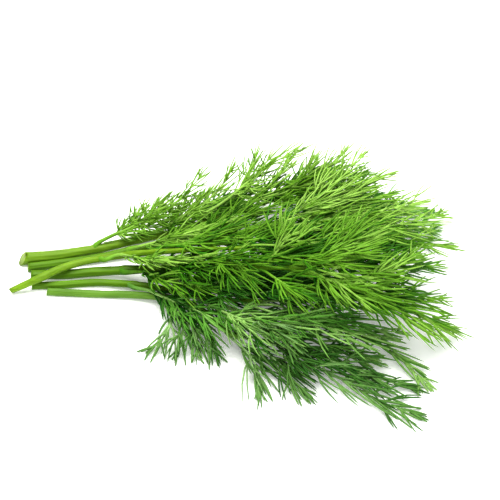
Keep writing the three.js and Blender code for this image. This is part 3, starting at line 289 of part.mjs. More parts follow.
  back_4: {
    roll: 10,
    line: [[5.07, 52.52, 9.81, 0.69], [18.44, 51.85, 11.26, 0.7], [31.99, 50.61, 11.8, 0.65], [45.54, 49.26, 11.49, 0.6], [59.03, 47.73, 10.41, 0.54], [72.51, 46.51, 8.91, 0.49], [85.99, 45.91, 7.05, 0.42], [99.45, 45.64, 4.9, 0.35], [112.9, 45.37, 2.76, 0.26]],
    branches: [[0.281, -36.3, 7.7, 19.4, 0.33, -0.12], [0.292, 41, 9.6, 16.2, 0.27, -0.03], [0.383, -34.6, -13.5, 22.6, 0.32, -0.14], [0.392, 31.3, -15, 23, 0.38, -0.11], [0.482, -31.5, 10.9, 22.6, 0.36, -0.15], [0.491, 25.8, 4.6, 26.3, 0.26, -0.12], [0.583, -25.1, -4.3, 23.8, 0.4, -0.08], [0.594, 28.7, 3.2, 24.1, 0.23, -0.12], [0.684, -23.6, 13.2, 17.9, 0.38, -0.09], [0.696, 29.2, 11.4, 21.8, 0.23, -0.1], [0.786, -28.1, 7.1, 19.1, 0.29, -0.07], [0.791, 26.6, 12.5, 19.8, 0.28, -0.03], [0.884, -20.7, -5.6, 15.8, 0.25, -0.01], [0.897, 17.8, -12.3, 16.2, 0.28, -0.12]],
  },
  back_5: {
    roll: -10,
    line: [[-21.93, 42.88, 6.31, 0.88], [-10.96, 41.1, 7.42, 0.83], [0.01, 39.29, 8.44, 0.76], [10.96, 37.15, 8.96, 0.69], [21.84, 34.65, 9.16, 0.62], [32.77, 32.37, 8.93, 0.55], [43.79, 30.85, 7.99, 0.47], [54.81, 29.91, 6.4, 0.38], [65.82, 29.03, 4.76, 0.26]],
    branches: [[0.284, -39.2, -5.6, 15.6, 0.28, -0.02], [0.295, 42.9, 4.8, 15.1, 0.39, -0.15], [0.401, -27.5, 10.9, 21.8, 0.36, -0.13], [0.412, 38.5, 6.4, 22.3, 0.33, -0.08], [0.52, -31.7, -4.2, 19.9, 0.28, -0.02], [0.531, 33.1, -8.2, 20.4, 0.4, -0.13], [0.636, -34.6, 7.8, 18.9, 0.31, -0.07], [0.65, 30.2, -12.6, 21, 0.33, -0.03], [0.758, -24.7, 11.4, 17.7, 0.33, -0.07], [0.765, 30, 4.2, 16.4, 0.32, -0.03], [0.872, -21.1, -4.2, 15.7, 0.41, -0.14], [0.884, 26, 1.3, 16.2, 0.26, -0.03]],
  },
  crossing_7: {
    roll: 15,
    line: [[-20.94, 1.6, 28.9, 0.77], [-16.18, -1.02, 30.64, 0.76], [-12.24, -4.04, 31.84, 0.7], [-8.42, -8.06, 33.8, 0.64], [-4.45, -13.05, 36.24, 0.58], [-0.24, -16.88, 36.92, 0.51], [4.04, -20.76, 37.1, 0.44], [8.14, -24.77, 36.26, 0.37], [11.87, -28.67, 34.08, 0.26]],
    branches: [[0.246, -36.9, 5.8, 15.9, 0.34, -0.13], [0.258, 30.2, 12.7, 15.1, 0.24, -0.12], [0.398, -29.3, 0.2, 21.1, 0.32, -0.15], [0.406, 33.9, 7, 18.7, 0.3, -0.1], [0.544, -28.1, -2.1, 16, 0.37, -0.13], [0.558, 35.2, 4.6, 20.1, 0.22, -0.01], [0.697, -27.9, -2.5, 17.4, 0.27, -0.15], [0.704, 23.4, -0.8, 16.3, 0.3, -0.04], [0.849, -17.1, -8.6, 14.4, 0.23, -0.05], [0.858, 28.3, 6.1, 13.5, 0.38, -0.14]],
  },
  lower_9: {
    roll: -10,
    line: [[-24.82, -10.18, 10.4, 0.87], [-15.82, -7.91, 10.74, 0.82], [-6.8, -5.71, 11.05, 0.76], [2.3, -3.86, 11.12, 0.69], [11.44, -2.2, 11.03, 0.62], [20.67, -1.26, 10.69, 0.55], [29.92, -1.5, 9.99, 0.47], [39.11, -2.51, 9.06, 0.38], [48.29, -3.54, 8.11, 0.26]],
    branches: [[0.219, -41, 9.4, 16.9, 0.34, -0.06], [0.227, 35.3, 14, 17.4, 0.31, -0.09], [0.345, -31.4, 12.4, 24.4, 0.24, -0.1], [0.354, 38.7, -1.2, 21.8, 0.27, -0.11], [0.474, -35.8, -10.2, 22.9, 0.37, -0.02], [0.486, 32.5, -8.8, 23.7, 0.22, -0.02], [0.602, -22.1, -0.9, 20.7, 0.35, -0.15], [0.615, 24.6, 0.6, 18.8, 0.27, -0.1], [0.734, -23.4, -15.2, 17.2, 0.35, -0.06], [0.742, 31.1, 0.2, 15.1, 0.35, -0.13], [0.859, -22, 1.3, 16.5, 0.27, -0.01], [0.869, 24.4, 5.1, 15.5, 0.33, -0.03]],
  },
  lower_10: {
    roll: 10,
    line: [[-13.43, -17.79, 11.95, 0.76], [-5.12, -20.31, 10.09, 0.75], [3.32, -22.55, 8.53, 0.7], [12.12, -23.1, 7.64, 0.64], [20.97, -22.7, 7.19, 0.58], [29.82, -22.99, 6.65, 0.51], [38.53, -24.5, 5.86, 0.44], [47.14, -26.48, 5.01, 0.36], [55.75, -28.45, 4.16, 0.26]],
    branches: [[0.225, -39.3, -0.8, 14.8, 0.28, -0.14], [0.236, 38.3, -11.9, 14.8, 0.3, -0.05], [0.381, -36.3, 1.4, 23, 0.31, -0.1], [0.388, 34, -11.2, 18.8, 0.24, -0.01], [0.537, -31, -4, 20.7, 0.28, -0.02], [0.547, 27.7, -1.4, 19.9, 0.33, -0], [0.688, -24.4, -12.6, 15.6, 0.37, -0.07], [0.697, 22.4, 5.3, 17.1, 0.28, -0.04], [0.842, -27.4, -0.7, 14.2, 0.26, -0.16], [0.855, 24.1, 8.2, 13.4, 0.33, -0.14]],
  },
};

// ---- geometry ----------------------------------------------------------------
const wasm = await Module();
wasm.setup();

const UP = new THREE.Vector3(0, 0, 1);

/** A closed tapered tube of flat sides through points with a radius at each. */
function taper(points, radii, sides, endShift = () => 0) {
  const position = [];
  const index = [];
  const n = points.length;
  const tangent = new THREE.Vector3();
  const side = new THREE.Vector3();
  const over = new THREE.Vector3();
  for (let i = 0; i < n; i++) {
    tangent.subVectors(points[Math.min(i + 1, n - 1)], points[Math.max(i - 1, 0)]).normalize();
    side.crossVectors(tangent, UP).normalize();
    over.crossVectors(side, tangent);
    for (let k = 0; k < sides; k++) {
      const a = ((k + 0.5) / sides) * 2 * Math.PI;
      const vertex = points[i]
        .clone()
        .addScaledVector(over, -Math.cos(a) * radii[i])
        .addScaledVector(side, Math.sin(a) * radii[i])
        .addScaledVector(tangent, i === 0 ? endShift(Math.cos(a)) : 0);
      vertex.z = Math.max(vertex.z, SURFACE);
      position.push(vertex.x, vertex.y, vertex.z);
    }
  }
  for (let i = 0; i < n - 1; i++)
    for (let k = 0; k < sides; k++) {
      const a = i * sides + k;
      const b = i * sides + ((k + 1) % sides);
      index.push(a, b + sides, b);
      if (i < n - 2 || radii[n - 1] > 0) index.push(a, a + sides, b + sides); // a pointed end closes on one vertex
    }
  for (let k = 1; k < sides - 1; k++) {
    index.push(0, k, k + 1);
    const e = (n - 1) * sides;
    if (radii[n - 1] > 0) index.push(e, e + k + 1, e + k);
  }
  const geometry = new THREE.BufferGeometry();
  geometry.setAttribute("position", new THREE.Float32BufferAttribute(position, 3));
  geometry.setIndex(index);
  return geometry;
}

/** A solid that can be joined with others, from a closed geometry. */
function solid(geometry) {
  const merged = mergeVertices(geometry, 1e-4);
  return new wasm.Manifold(
    new wasm.Mesh({
      numProp: 3,
      vertProperties: merged.attributes.position.array,
      triVerts: new Uint32Array(merged.index.array),
    }),
  );
}

/** The geometry of a joined solid. */
function geometryOf(body) {
  const { vertProperties, triVerts } = body.getMesh();
  const geometry = new THREE.BufferGeometry();
  geometry.setAttribute("position", new THREE.Float32BufferAttribute(vertProperties, 3));
  geometry.setIndex([...triVerts]);
  return geometry;
}

/** Where a rachis is at share t of its points, which way it runs there and how thick it is. */
function along(line, t) {
  const x = t * (line.length - 1);
  const i = Math.min(Math.floor(x), line.length - 2);
  const a = line[i];
  const b = line[i + 1];
  const f = x - i;
  return {
    point: new THREE.Vector3(a[0], a[1], a[2]).lerp(new THREE.Vector3(b[0], b[1], b[2]), f),
    run: new THREE.Vector3(b[0] - a[0], b[1] - a[1], b[2] - a[2]).normalize(),
    radius: a[3] * (1 - f) + b[3] * f,
  };
}

/** One side branch: it starts inside its rachis and curves forward along the leaf. */
function branch({ line, roll }, [t, spread, tilt, length, sweep, droop]) {
  const { point, run, radius } = along(line, t);
  const normal = UP.clone().addScaledVector(run, -run.z).normalize().applyAxisAngle(run, THREE.MathUtils.degToRad(roll));
  const side = new THREE.Vector3().crossVectors(normal, run).multiplyScalar(Math.sign(spread));
  const turn = THREE.MathUtils.degToRad(Math.abs(spread));
  const lean = THREE.MathUtils.degToRad(tilt);
  const out = side.multiplyScalar(Math.cos(lean)).addScaledVector(normal, Math.sin(lean));
  const start = run.clone().multiplyScalar(Math.cos(turn)).addScaledVector(out, Math.sin(turn));
  const bend = run.clone().multiplyScalar(sweep).addScaledVector(out, -BRANCH_CURL).addScaledVector(UP, droop);
  const foot = Math.min(radius * BRANCH_FOOT, BRANCH_FOOT_MAX);
  const points = [];
  const radii = [];
  const runs = length < SHORT_BRANCH ? 1 : BRANCH_RUNS;
  for (let i = 0; i <= runs; i++) {
    const s = i / runs;
    points.push(point.clone().addScaledVector(start, length * s).addScaledVector(bend, (length * s * s) / 2));
    radii.push(foot + (BRANCH_TIP - foot) * s);
  }
  return taper(points, radii, BRANCH_SIDES);
}

const vectors = (line) => line.map(([x, y, z]) => new THREE.Vector3(x, y, z));
const thickness = (line) => line.map((p) => p[3]);

function stem(name) {
  const line = STEMS[name];
  return taper(vectors(line), thickness(line), STEM_SIDES, (c) => (-c * CUT_SLANT[name]) / 2);
}

function leaf(name) {
  const { line } = LEAVES[name];
  const rachis = solid(taper(vectors(line), thickness(line), RACHIS_SIDES));
  const branches = LEAVES[name].branches.map((row) => solid(branch(LEAVES[name], row)));
  return geometryOf(wasm.Manifold.union([rachis, ...branches]).simplify(JOIN_TOLERANCE));
}

// ---- the bunch ---------------------------------------------------------------
function piece(name, geometry, color, roughness) {
  geometry.computeVertexNormals();
  const mesh = new THREE.Mesh(geometry, new THREE.MeshStandardMaterial({ color, roughness, metalness: 0 }));
  mesh.name = name;
  return mesh;
}

const bunch = new THREE.Group();
bunch.name = "dill_bunch";
for (const name of Object.keys(STEMS)) {
  // a sprig is a stem with the leaves that grow on it
  const sprig = new THREE.Group();
  sprig.name = "sprig_" + name;
  sprig.add(piece("stem_" + name, stem(name), STEM_COLOUR[name], 0.45));
  for (const key of Object.keys(LEAVES))
    if (key.startsWith(name + "_")) sprig.add(piece("leaf_" + key, leaf(key), LEAF_COLOUR[name], 0.6));
  bunch.add(sprig);
}

export default bunch;
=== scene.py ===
"""The looks of a bunch of cut dill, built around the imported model.

Every stem and every leaf of the model gets a detailed mesh in its place. A leaf
is grown here from the same rachis and side branches as its solid: the branches
carry shoots, and the shoots carry fine pointed threads. Tables are in
millimetres, in the model's own frame. Everything is seeded, so each run gives
the same plant.
"""

import math
import zlib

import bpy
import mathutils
import numpy as np
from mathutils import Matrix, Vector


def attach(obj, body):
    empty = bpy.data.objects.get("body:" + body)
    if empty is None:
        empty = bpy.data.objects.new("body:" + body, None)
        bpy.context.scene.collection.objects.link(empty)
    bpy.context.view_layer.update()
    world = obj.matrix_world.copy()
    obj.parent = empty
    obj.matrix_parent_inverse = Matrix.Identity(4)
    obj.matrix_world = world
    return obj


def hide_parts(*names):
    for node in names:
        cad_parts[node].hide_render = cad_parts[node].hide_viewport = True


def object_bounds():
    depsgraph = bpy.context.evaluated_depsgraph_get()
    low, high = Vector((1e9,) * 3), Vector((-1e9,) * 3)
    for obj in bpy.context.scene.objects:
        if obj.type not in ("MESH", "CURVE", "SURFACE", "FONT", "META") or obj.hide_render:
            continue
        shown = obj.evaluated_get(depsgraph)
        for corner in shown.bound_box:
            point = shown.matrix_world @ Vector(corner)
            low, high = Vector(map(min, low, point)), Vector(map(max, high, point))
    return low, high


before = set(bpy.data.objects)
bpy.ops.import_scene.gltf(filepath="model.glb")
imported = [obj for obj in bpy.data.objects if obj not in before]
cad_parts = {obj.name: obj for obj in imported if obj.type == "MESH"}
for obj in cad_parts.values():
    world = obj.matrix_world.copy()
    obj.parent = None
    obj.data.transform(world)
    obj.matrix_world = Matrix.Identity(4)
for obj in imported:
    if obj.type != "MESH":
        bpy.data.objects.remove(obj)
CAD_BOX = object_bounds()
MM = 0.001

# Stem centre lines, from the cut end: x, y, z and radius.
STEMS = {
    "thick": [[-119.97, 22.48, 3.1, 3.4], [-110.32, 23.86, 2.91, 3.2], [-100.69, 25.37, 2.72, 2.98], [-91.17, 27.3, 3.06, 2.74], [-81.72, 29.26, 3.39, 2.49], [-72.25, 31.36, 3.96, 2.3], [-62.79, 33.87, 4.67, 2.22], [-53.29, 35.99, 5.68, 2.12], [-43.72, 37.17, 7.13, 1.97], [-34.21, 38.46, 8.88, 1.8], [-24.93, 40.73, 10.94, 1.63], [-15.86, 43.37, 13.46, 1.46], [-6.81, 45.56, 16.41, 1.3], [2.2, 47.38, 19.68, 1.14], [11.18, 49.08, 23.07, 1.01], [20.11, 50.62, 26.66, 0.9]],
    "second": [[-116.43, 16.64, 2.08, 2.3], [-106.5, 18.4, 2.09, 2.31], [-96.56, 20.17, 2.08, 2.29], [-86.63, 21.93, 2.42, 2.25], [-76.71, 23.7, 2.95, 2.2], [-66.91, 25.89, 3.91, 2.17], [-57.09, 27.58, 5.4, 2.12], [-47.27, 27.26, 7.62, 2.01], [-37.65, 25.87, 10.29, 1.88], [-28, 24.84, 13.04, 1.73], [-18.34, 24.09, 15.87, 1.56], [-8.73, 23.28, 18.82, 1.4], [0.78, 22.16, 21.98, 1.25], [10.28, 21.03, 25.19, 1.12], [19.9, 20.51, 28.12, 1.01], [29.61, 20.4, 30.85, 0.9]],
    "crossing": [[-123.95, -1.04, 2.06, 1.5], [-115.3, 1.19, 5.18, 1.89], [-106.72, 4, 7.79, 2.1], [-98.68, 9.29, 7.98, 2.04], [-90.16, 13.49, 8.12, 1.95], [-81.05, 15.89, 8.68, 1.85], [-71.73, 16.53, 10.15, 1.81], [-62.57, 16.11, 12.37, 1.76], [-53.72, 14.63, 15.38, 1.67], [-45.06, 12.42, 18.6, 1.57], [-36.54, 9.86, 21.83, 1.47], [-28.33, 6.97, 25.45, 1.36], [-20.23, 3.92, 29.21, 1.25], [-12.02, 0.92, 32.66, 1.14], [-3.75, -2.09, 35.84, 1.02], [4.67, -4.95, 38.93, 0.9]],
    "middle": [[-114.2, 10.75, 2.22, 2.45], [-103.14, 11.06, 2.25, 2.48], [-92.09, 11.47, 2.27, 2.51], [-81.06, 11.99, 3.22, 2.52], [-70.05, 11.88, 4.35, 2.47], [-59.11, 11.24, 5.84, 2.37], [-48.63, 9.03, 8.56, 2.24], [-38.78, 5.55, 12.23, 2.07], [-29.28, 1.62, 16.32, 1.9], [-20.18, -2.72, 20.86, 1.71], [-11.31, -7.3, 25.62, 1.52], [-2.21, -11.62, 30.21, 1.38], [6.98, -15.79, 34.74, 1.29], [16.47, -19.64, 38.88, 1.2], [26.6, -22.73, 42.05, 1.06], [36.98, -25.47, 44.72, 0.9]],
    "lower": [[-112.94, 2.95, 1.76, 1.95], [-103.83, 3.29, 1.76, 1.95], [-94.73, 3.79, 1.76, 1.95], [-85.66, 4.79, 1.77, 1.96], [-76.56, 5.01, 2.1, 1.93], [-67.52, 4, 2.68, 1.87], [-58.64, 2.23, 3.7, 1.81], [-50.02, -0.36, 5.13, 1.76], [-41.89, -4.05, 6.96, 1.65], [-34.01, -8.19, 8.96, 1.54], [-26.19, -12.45, 10.94, 1.41], [-18.32, -16.47, 13.11, 1.29], [-10.26, -19.99, 15.52, 1.19], [-2.16, -23.3, 18.1, 1.09], [5.93, -26.41, 20.93, 0.99], [14.04, -29.4, 23.83, 0.9]],
    "front": [[-104.26, -1.59, 1.76, 1.95], [-96.08, -2.2, 1.76, 1.95], [-87.9, -2.72, 1.76, 1.95], [-79.73, -3.19, 1.76, 1.95], [-71.56, -3.6, 1.75, 1.94], [-63.39, -4.16, 2.25, 1.93], [-55.28, -5.12, 2.78, 1.9], [-47.34, -6.83, 3.82, 1.83], [-39.65, -9.24, 5.26, 1.74], [-32.13, -12.15, 6.71, 1.62], [-25.28, -16.32, 8.28, 1.5], [-19.5, -21.89, 9.89, 1.4], [-14.21, -27.99, 11.26, 1.3], [-9.27, -34.49, 11.92, 1.2], [-4.16, -40.87, 12.37, 1.07], [2.21, -45.97, 12.84, 0.9]],
    "back": [[-75.11, 34.7, 1.58, 1.75], [-68.2, 36.74, 1.51, 1.67], [-61.23, 38.47, 2.04, 1.61], [-54.13, 39.33, 2.63, 1.56], [-47.02, 39.99, 3.35, 1.52], [-39.99, 41.24, 4.18, 1.49], [-33.04, 42.79, 5.09, 1.46], [-26.13, 44.54, 6.03, 1.44], [-19.28, 46.49, 6.96, 1.39], [-12.5, 48.68, 7.87, 1.31], [-5.77, 51.02, 8.78, 1.23], [0.94, 53.39, 9.7, 1.14], [7.67, 55.73, 10.67, 1.07], [14.39, 58.06, 11.68, 1.01], [21.1, 60.41, 12.72, 0.96], [27.81, 62.75, 13.76, 0.9]],
}
# A leaf: the roll of its blade about the rachis, the rachis as x, y, z and radius, and its side branches as
# [share of the rachis, spread, tilt, length, sweep, droop]. The sign of spread says which side.
LEAVES = {
    "thick_1": {"roll": 30, "line": [[-77.25, 31.48, 7.33, 1.08], [-69.22, 33.56, 10.95, 0.96], [-61.22, 35.77, 13.61, 0.88], [-53.44, 38.57, 16.97, 0.79], [-45.5, 41.53, 19.82, 0.71], [-37.55, 44.83, 22.24, 0.61], [-30.84, 50.17, 24.66, 0.52], [-25.19, 56.7, 26.98, 0.41], [-19.63, 63.32, 29.29, 0.26]],
        "branches": [[0.14, -39.6, -1, 10.7, 0.3, -0.08], [0.149, 41.2, 12.4, 12.2, 0.37, -0.14], [0.286, -35.5, -9.4, 18.3, 0.22, -0.14], [0.292, 38, 7.3, 15.3, 0.29, -0.11], [0.422, -32.3, 6, 14.1, 0.23, -0.08], [0.434, 32.3, 6.1, 17.2, 0.33, -0.01], [0.568, -32, -7.3, 13.7, 0.23, -0.1], [0.573, 25.4, -12, 13.6, 0.38, -0.02], [0.708, -23.5, 3.2, 12.9, 0.25, -0.09], [0.718, 28.8, -13.4, 11.3, 0.28, -0.05], [0.849, -20.6, -2.8, 12.4, 0.38, -0.04], [0.858, 28.4, 4, 12.1, 0.29, -0.04]]},
    "thick_2": {"roll": 20, "line": [[-53.98, 36.95, 9.19, 1.03], [-46.47, 35.58, 10.79, 0.92], [-39.06, 38.38, 13.69, 0.85], [-31.78, 41.46, 16.8, 0.77], [-24.43, 44.69, 19.6, 0.68], [-17.43, 48.52, 22.52, 0.6], [-11.3, 53.35, 25.86, 0.5], [-6.33, 59.28, 29.31, 0.4], [-2.94, 66.3, 32.7, 0.26]],
        "branches": [[0.201, -34.7, 3.1, 11.5, 0.31, -0.15], [0.205, 38.1, -1.3, 12.8, 0.37, -0.09], [0.357, -37.4, 8.2, 14.9, 0.37, -0.02], [0.369, 36.6, -8.6, 17.1, 0.29, -0.09], [0.516, -24.3, -6.7, 14.8, 0.29, -0.05], [0.53, 31.7, -6.5, 15, 0.35, -0.03], [0.678, -23.5, -2.4, 14.1, 0.32, -0.01], [0.689, 28.2, -0.1, 12.7, 0.31, -0.07], [0.84, -18, 9.5, 12.2, 0.33, -0.1], [0.85, 19.5, 12.1, 10.5, 0.3, -0.01]]},
    "thick_3": {"roll": -30, "line": [[-35.3, 40.75, 11.88, 1.01], [-27.68, 42.09, 12.71, 0.92], [-19.78, 43.8, 15, 0.84], [-12.07, 46.42, 17.46, 0.76], [-4.96, 50.29, 19.33, 0.68], [0.65, 55.62, 22.47, 0.59], [5.04, 61.83, 26.07, 0.5], [8.32, 68.75, 29.57, 0.4], [11.02, 75.94, 33.03, 0.26]],
        "branches": [[0.246, -32.9, 1.1, 12.9, 0.36, -0.08], [0.255, 42.1, -9.9, 10.5, 0.41, -0.01], [0.395, -36.2, 1.5, 13.8, 0.35, -0.15], [0.404, 37.6, -12.5, 16.5, 0.42, -0.12], [0.543, -29.1, 7.5, 15.7, 0.32, -0.01], [0.555, 27.2, 3.2, 12.3, 0.36, -0.01], [0.695, -30.6, -12.5, 11.5, 0.24, -0.01], [0.708, 22.3, 8.8, 13.6, 0.26, -0.01], [0.845, -20.3, -9.2, 11.4, 0.35, -0.12], [0.858, 20.3, -5, 11.6, 0.23, -0.09]]},
    "thick_4": {"roll": 15, "line": [[-25.84, 40.71, 14.63, 1.01], [-17.94, 42.76, 18.92, 0.92], [-10.1, 45.69, 22.49, 0.84], [-2.71, 48.81, 26.9, 0.76], [4.26, 52.72, 31.36, 0.68], [11.09, 57.59, 35.03, 0.59], [18.43, 61.96, 38.32, 0.5], [26.47, 65.22, 41.27, 0.4], [34.61, 68.3, 44.14, 0.26]],
        "branches": [[0.384, -37.4, 5.3, 14.2, 0.34, -0.06], [0.399, 34.6, 10.1, 14, 0.25, -0.12], [0.511, -38.3, 7.6, 17.5, 0.33, -0.14], [0.52, 29.5, 11.4, 18.2, 0.27, -0.08], [0.631, -31.9, -3.5, 15.4, 0.31, -0.15], [0.641, 23.5, -1.5, 16.4, 0.27, -0.01], [0.756, -25.4, 7.2, 16.4, 0.41, -0.11], [0.764, 23, -1.7, 15, 0.29, -0.06], [0.874, -20.6, -4.1, 12.2, 0.39, -0.07], [0.883, 26.5, 0.1, 13.5, 0.32, -0.11]]},
    "thick_5": {"roll": -20, "line": [[-7.35, 44.38, 18.78, 0.8], [-1.52, 44.64, 20.48, 0.78], [3.85, 45.29, 23.41, 0.72], [9.1, 46.12, 26.54, 0.66], [14.08, 47.77, 29.78, 0.59], [18.5, 50.54, 33.06, 0.52], [22.56, 53.84, 36.33, 0.45], [26.3, 57.56, 39.54, 0.37], [29.85, 61.49, 42.71, 0.26]],
        "branches": [[0.294, -36.3, -6.2, 12.7, 0.39, -0.14], [0.301, 31.3, 5, 14, 0.37, -0.07], [0.433, -38.2, -5.2, 18.2, 0.42, -0.13], [0.442, 37.3, 7.4, 19.6, 0.28, -0.13], [0.572, -34.5, 1.7, 16.2, 0.23, -0.15], [0.585, 24.4, -10.5, 17.5, 0.23, -0.06], [0.714, -21.4, 4.6, 13.7, 0.33, -0.15], [0.723, 29.5, 47.7, 15.3, 0.22, 0], [0.855, -18.8, 12.3, 12.5, 0.3, -0.03], [0.864, 22, 13.9, 12.2, 0.25, -0.13]]},
    "thick_6": {"roll": 25, "line": [[6.7, 46.1, 22.39, 0.67], [12.17, 46.91, 25.43, 0.69], [17.9, 46.58, 27.75, 0.64], [23.57, 46.45, 29.8, 0.59], [29.05, 46.85, 32.62, 0.54], [33.88, 48.64, 36.12, 0.48], [38.07, 51.47, 39.76, 0.42], [41.24, 55.62, 43.11, 0.35], [43.68, 60.44, 46.25, 0.26]],
        "branches": [[0.245, -32.8, -12.1, 15, 0.38, -0.03], [0.253, 40.3, 4.3, 12.3, 0.23, -0.08], [0.393, -28.3, -10.9, 19.3, 0.33, -0.01], [0.403, 37.2, -8.3, 16.8, 0.27, -0.12], [0.545, -29.3, -6.2, 18.3, 0.31, -0.08], [0.556, 29.7, -8.4, 18.1, 0.25, -0.02], [0.696, -22.4, 4.6, 16.6, 0.4, -0.11], [0.707, 22.2, -11.1, 15.7, 0.31, -0.1], [0.846, -29.1, -3.9, 11.9, 0.31, -0.09], [0.855, 34, 27.2, 11.7, 0.38, 0.18]]},
    "thick_7": {"roll": -10, "line": [[15.69, 47.85, 25.64, 0.59], [21.36, 49.57, 28.65, 0.64], [27.29, 50.46, 30.98, 0.6], [33.34, 49.93, 33.27, 0.55], [39.35, 49.99, 35.84, 0.51], [45.07, 51.49, 38.64, 0.45], [50.49, 53.76, 41.54, 0.4], [55.31, 56.98, 44.54, 0.34], [59.21, 61.29, 47.56, 0.26]],
        "branches": [[0.168, -34, -12.4, 14.5, 0.3, -0.03], [0.177, 38.6, -5.4, 13.2, 0.4, -0.08], [0.337, -30.8, 0.1, 18.4, 0.26, -0.02], [0.346, 31.8, 1.1, 17.7, 0.23, -0.05], [0.503, -28.6, -9.9, 17.2, 0.26, -0.13], [0.509, 33.5, 9.6, 18.5, 0.41, -0.14], [0.664, -28.1, -13.9, 13, 0.3, -0.07], [0.678, 30.5, -7.2, 13.9, 0.22, -0.01], [0.83, -17.4, -7.9, 11.2, 0.39, -0.15], [0.839, 20.7, -8.1, 13, 0.38, -0.09]]},
    "second_1": {"roll": 20, "line": [[14.87, 22.72, 27.58, 0.66], [23.08, 24.44, 30.9, 0.69], [31.26, 25.5, 35.14, 0.64], [39.1, 28.75, 38.46, 0.59], [46.45, 33.5, 41.07, 0.53], [53.28, 39.11, 43.35, 0.48], [59.41, 45.59, 45.35, 0.42], [64.83, 52.75, 47.01, 0.35], [70.2, 59.96, 48.65, 0.26]],
        "branches": [[0.246, -32.6, 17, 13.1, 0.31, -0.06], [0.256, 31.5, 10.5, 12.3, 0.39, -0.02], [0.396, -31.6, -4.2, 19, 0.4, -0.05], [0.405, 38.7, 13.9, 18.1, 0.4, -0.01], [0.545, -35, 5.3, 18.2, 0.37, -0.03], [0.558, 24.2, 5.5, 17.1, 0.3, -0.03], [0.694, -25.6, 3.5, 14.1, 0.23, -0.13], [0.707, 31.6, 2.5, 14.9, 0.41, -0.11], [0.849, -17.7, 4, 12.7, 0.3, -0.01], [0.859, 28.9, -7.1, 12.4, 0.32, -0.01]]},
    "second_2": {"roll": -20, "line": [[19.7, 22.28, 29.14, 0.62], [28.12, 22.68, 32.86, 0.66], [36.58, 24.45, 35.69, 0.62], [44.55, 28.67, 37.18, 0.57], [52.03, 33.92, 37.98, 0.52], [59.48, 39.22, 38.59, 0.47], [67.36, 43.84, 39.33, 0.41], [75.61, 47.78, 40.04, 0.35], [83.92, 51.59, 40.73, 0.26]],
        "branches": [[0.337, -30, -6.1, 17.1, 0.32, -0.01], [0.349, 41.4, 5.6, 15.4, 0.37, -0.12], [0.473, -36.4, -1.1, 24.1, 0.23, -0.13], [0.48, 35.3, 5.5, 25, 0.38, -0.04], [0.6, -26, 7.3, 22.1, 0.34, -0.09], [0.61, 31.3, -4.4, 21.7, 0.38, -0.01], [0.734, -21.2, -13.7, 17.4, 0.37, -0.13], [0.744, 22.5, 8.2, 16.1, 0.37, -0.09], [0.867, -22.9, 13, 14.7, 0.3, -0.09], [0.875, 18.4, -9.1, 15.9, 0.41, -0.13]]},
    "second_3": {"roll": 15, "line": [[-8.02, 25.33, 17.23, 0.87], [3.96, 25.29, 19.76, 0.82], [15.95, 25.18, 22.3, 0.76], [27.88, 25.73, 25, 0.69], [39.55, 27.63, 28.17, 0.62], [50.93, 30.52, 31.66, 0.54], [62.38, 33.66, 34.66, 0.47], [74.18, 36.65, 35.91, 0.38], [86.03, 39.75, 36.08, 0.26]],
        "branches": [[0.382, -31.5, 2.6, 14.5, 0.29, -0.11], [0.391, 40, -6.2, 14.2, 0.37, -0.03], [0.483, -31.4, -1.8, 23.8, 0.38, -0.1], [0.49, 37.3, -10.4, 24.9, 0.26, -0.02], [0.585, -35.4, 2.9, 23.4, 0.32, -0.02], [0.594, 36.4, 4.1, 23.3, 0.23, -0.1], [0.688, -27.1, 1.2, 17.9, 0.22, -0.15], [0.696, 25.9, 10.9, 18.4, 0.25, -0.14], [0.787, -25.8, 11.1, 19.1, 0.32, -0.06], [0.799, 30.2, 12.3, 15, 0.31, -0.11], [0.89, -17.6, -5.1, 14.9, 0.37, -0.02], [0.901, 18.4, -1.8, 14.1, 0.41, -0.12]]},
    "second_4": {"roll": -15, "line": [[25.35, 21.84, 27.73, 0.59], [35.5, 21.5, 31.35, 0.64], [45.58, 21.46, 33.66, 0.6], [56, 22.21, 35.13, 0.55], [66.44, 24.05, 35.77, 0.5], [76.72, 26.72, 35.7, 0.45], [86.74, 30.18, 34.93, 0.4], [96.12, 34.79, 33.06, 0.34], [105.26, 39.74, 30.86, 0.26]],
        "branches": [[0.155, -36.1, 6.6, 16.6, 0.25, -0.09], [0.167, 33.8, -2.6, 15.1, 0.29, -0.11], [0.273, -30.1, 8.9, 23.2, 0.27, -0.1], [0.285, 30.7, 6.6, 22.6, 0.26, 0], [0.392, -33.5, -8.3, 23.2, 0.28, -0.08], [0.401, 35, -3.9, 23.7, 0.28, -0.06], [0.512, -35.7, -2.3, 18.6, 0.39, -0.02], [0.521, 34.2, -10, 19.3, 0.24, -0.01], [0.631, -29.2, 7.8, 20.3, 0.3, -0.03], [0.639, 22.1, -10.2, 18.3, 0.35, -0.14], [0.748, -25.4, -10.4, 16.2, 0.38, 0], [0.755, 24.5, -0.4, 16, 0.27, -0.11], [0.862, -17.3, 13.9, 15, 0.36, -0.08], [0.873, 17.1, 13.6, 14.1, 0.34, -0.07]]},
    "second_5": {"roll": 30, "line": [[-33.39, 27.09, 14.32, 1.04], [-25.66, 26.44, 17.14, 0.93], [-17.93, 25.8, 19.95, 0.85], [-10.21, 25.96, 22.81, 0.77], [-2.65, 27.47, 25.75, 0.69], [4.77, 29.65, 28.63, 0.6], [12.36, 31.58, 31.22, 0.51], [20.08, 33.38, 33.48, 0.4], [27.83, 35.18, 35.69, 0.26]],
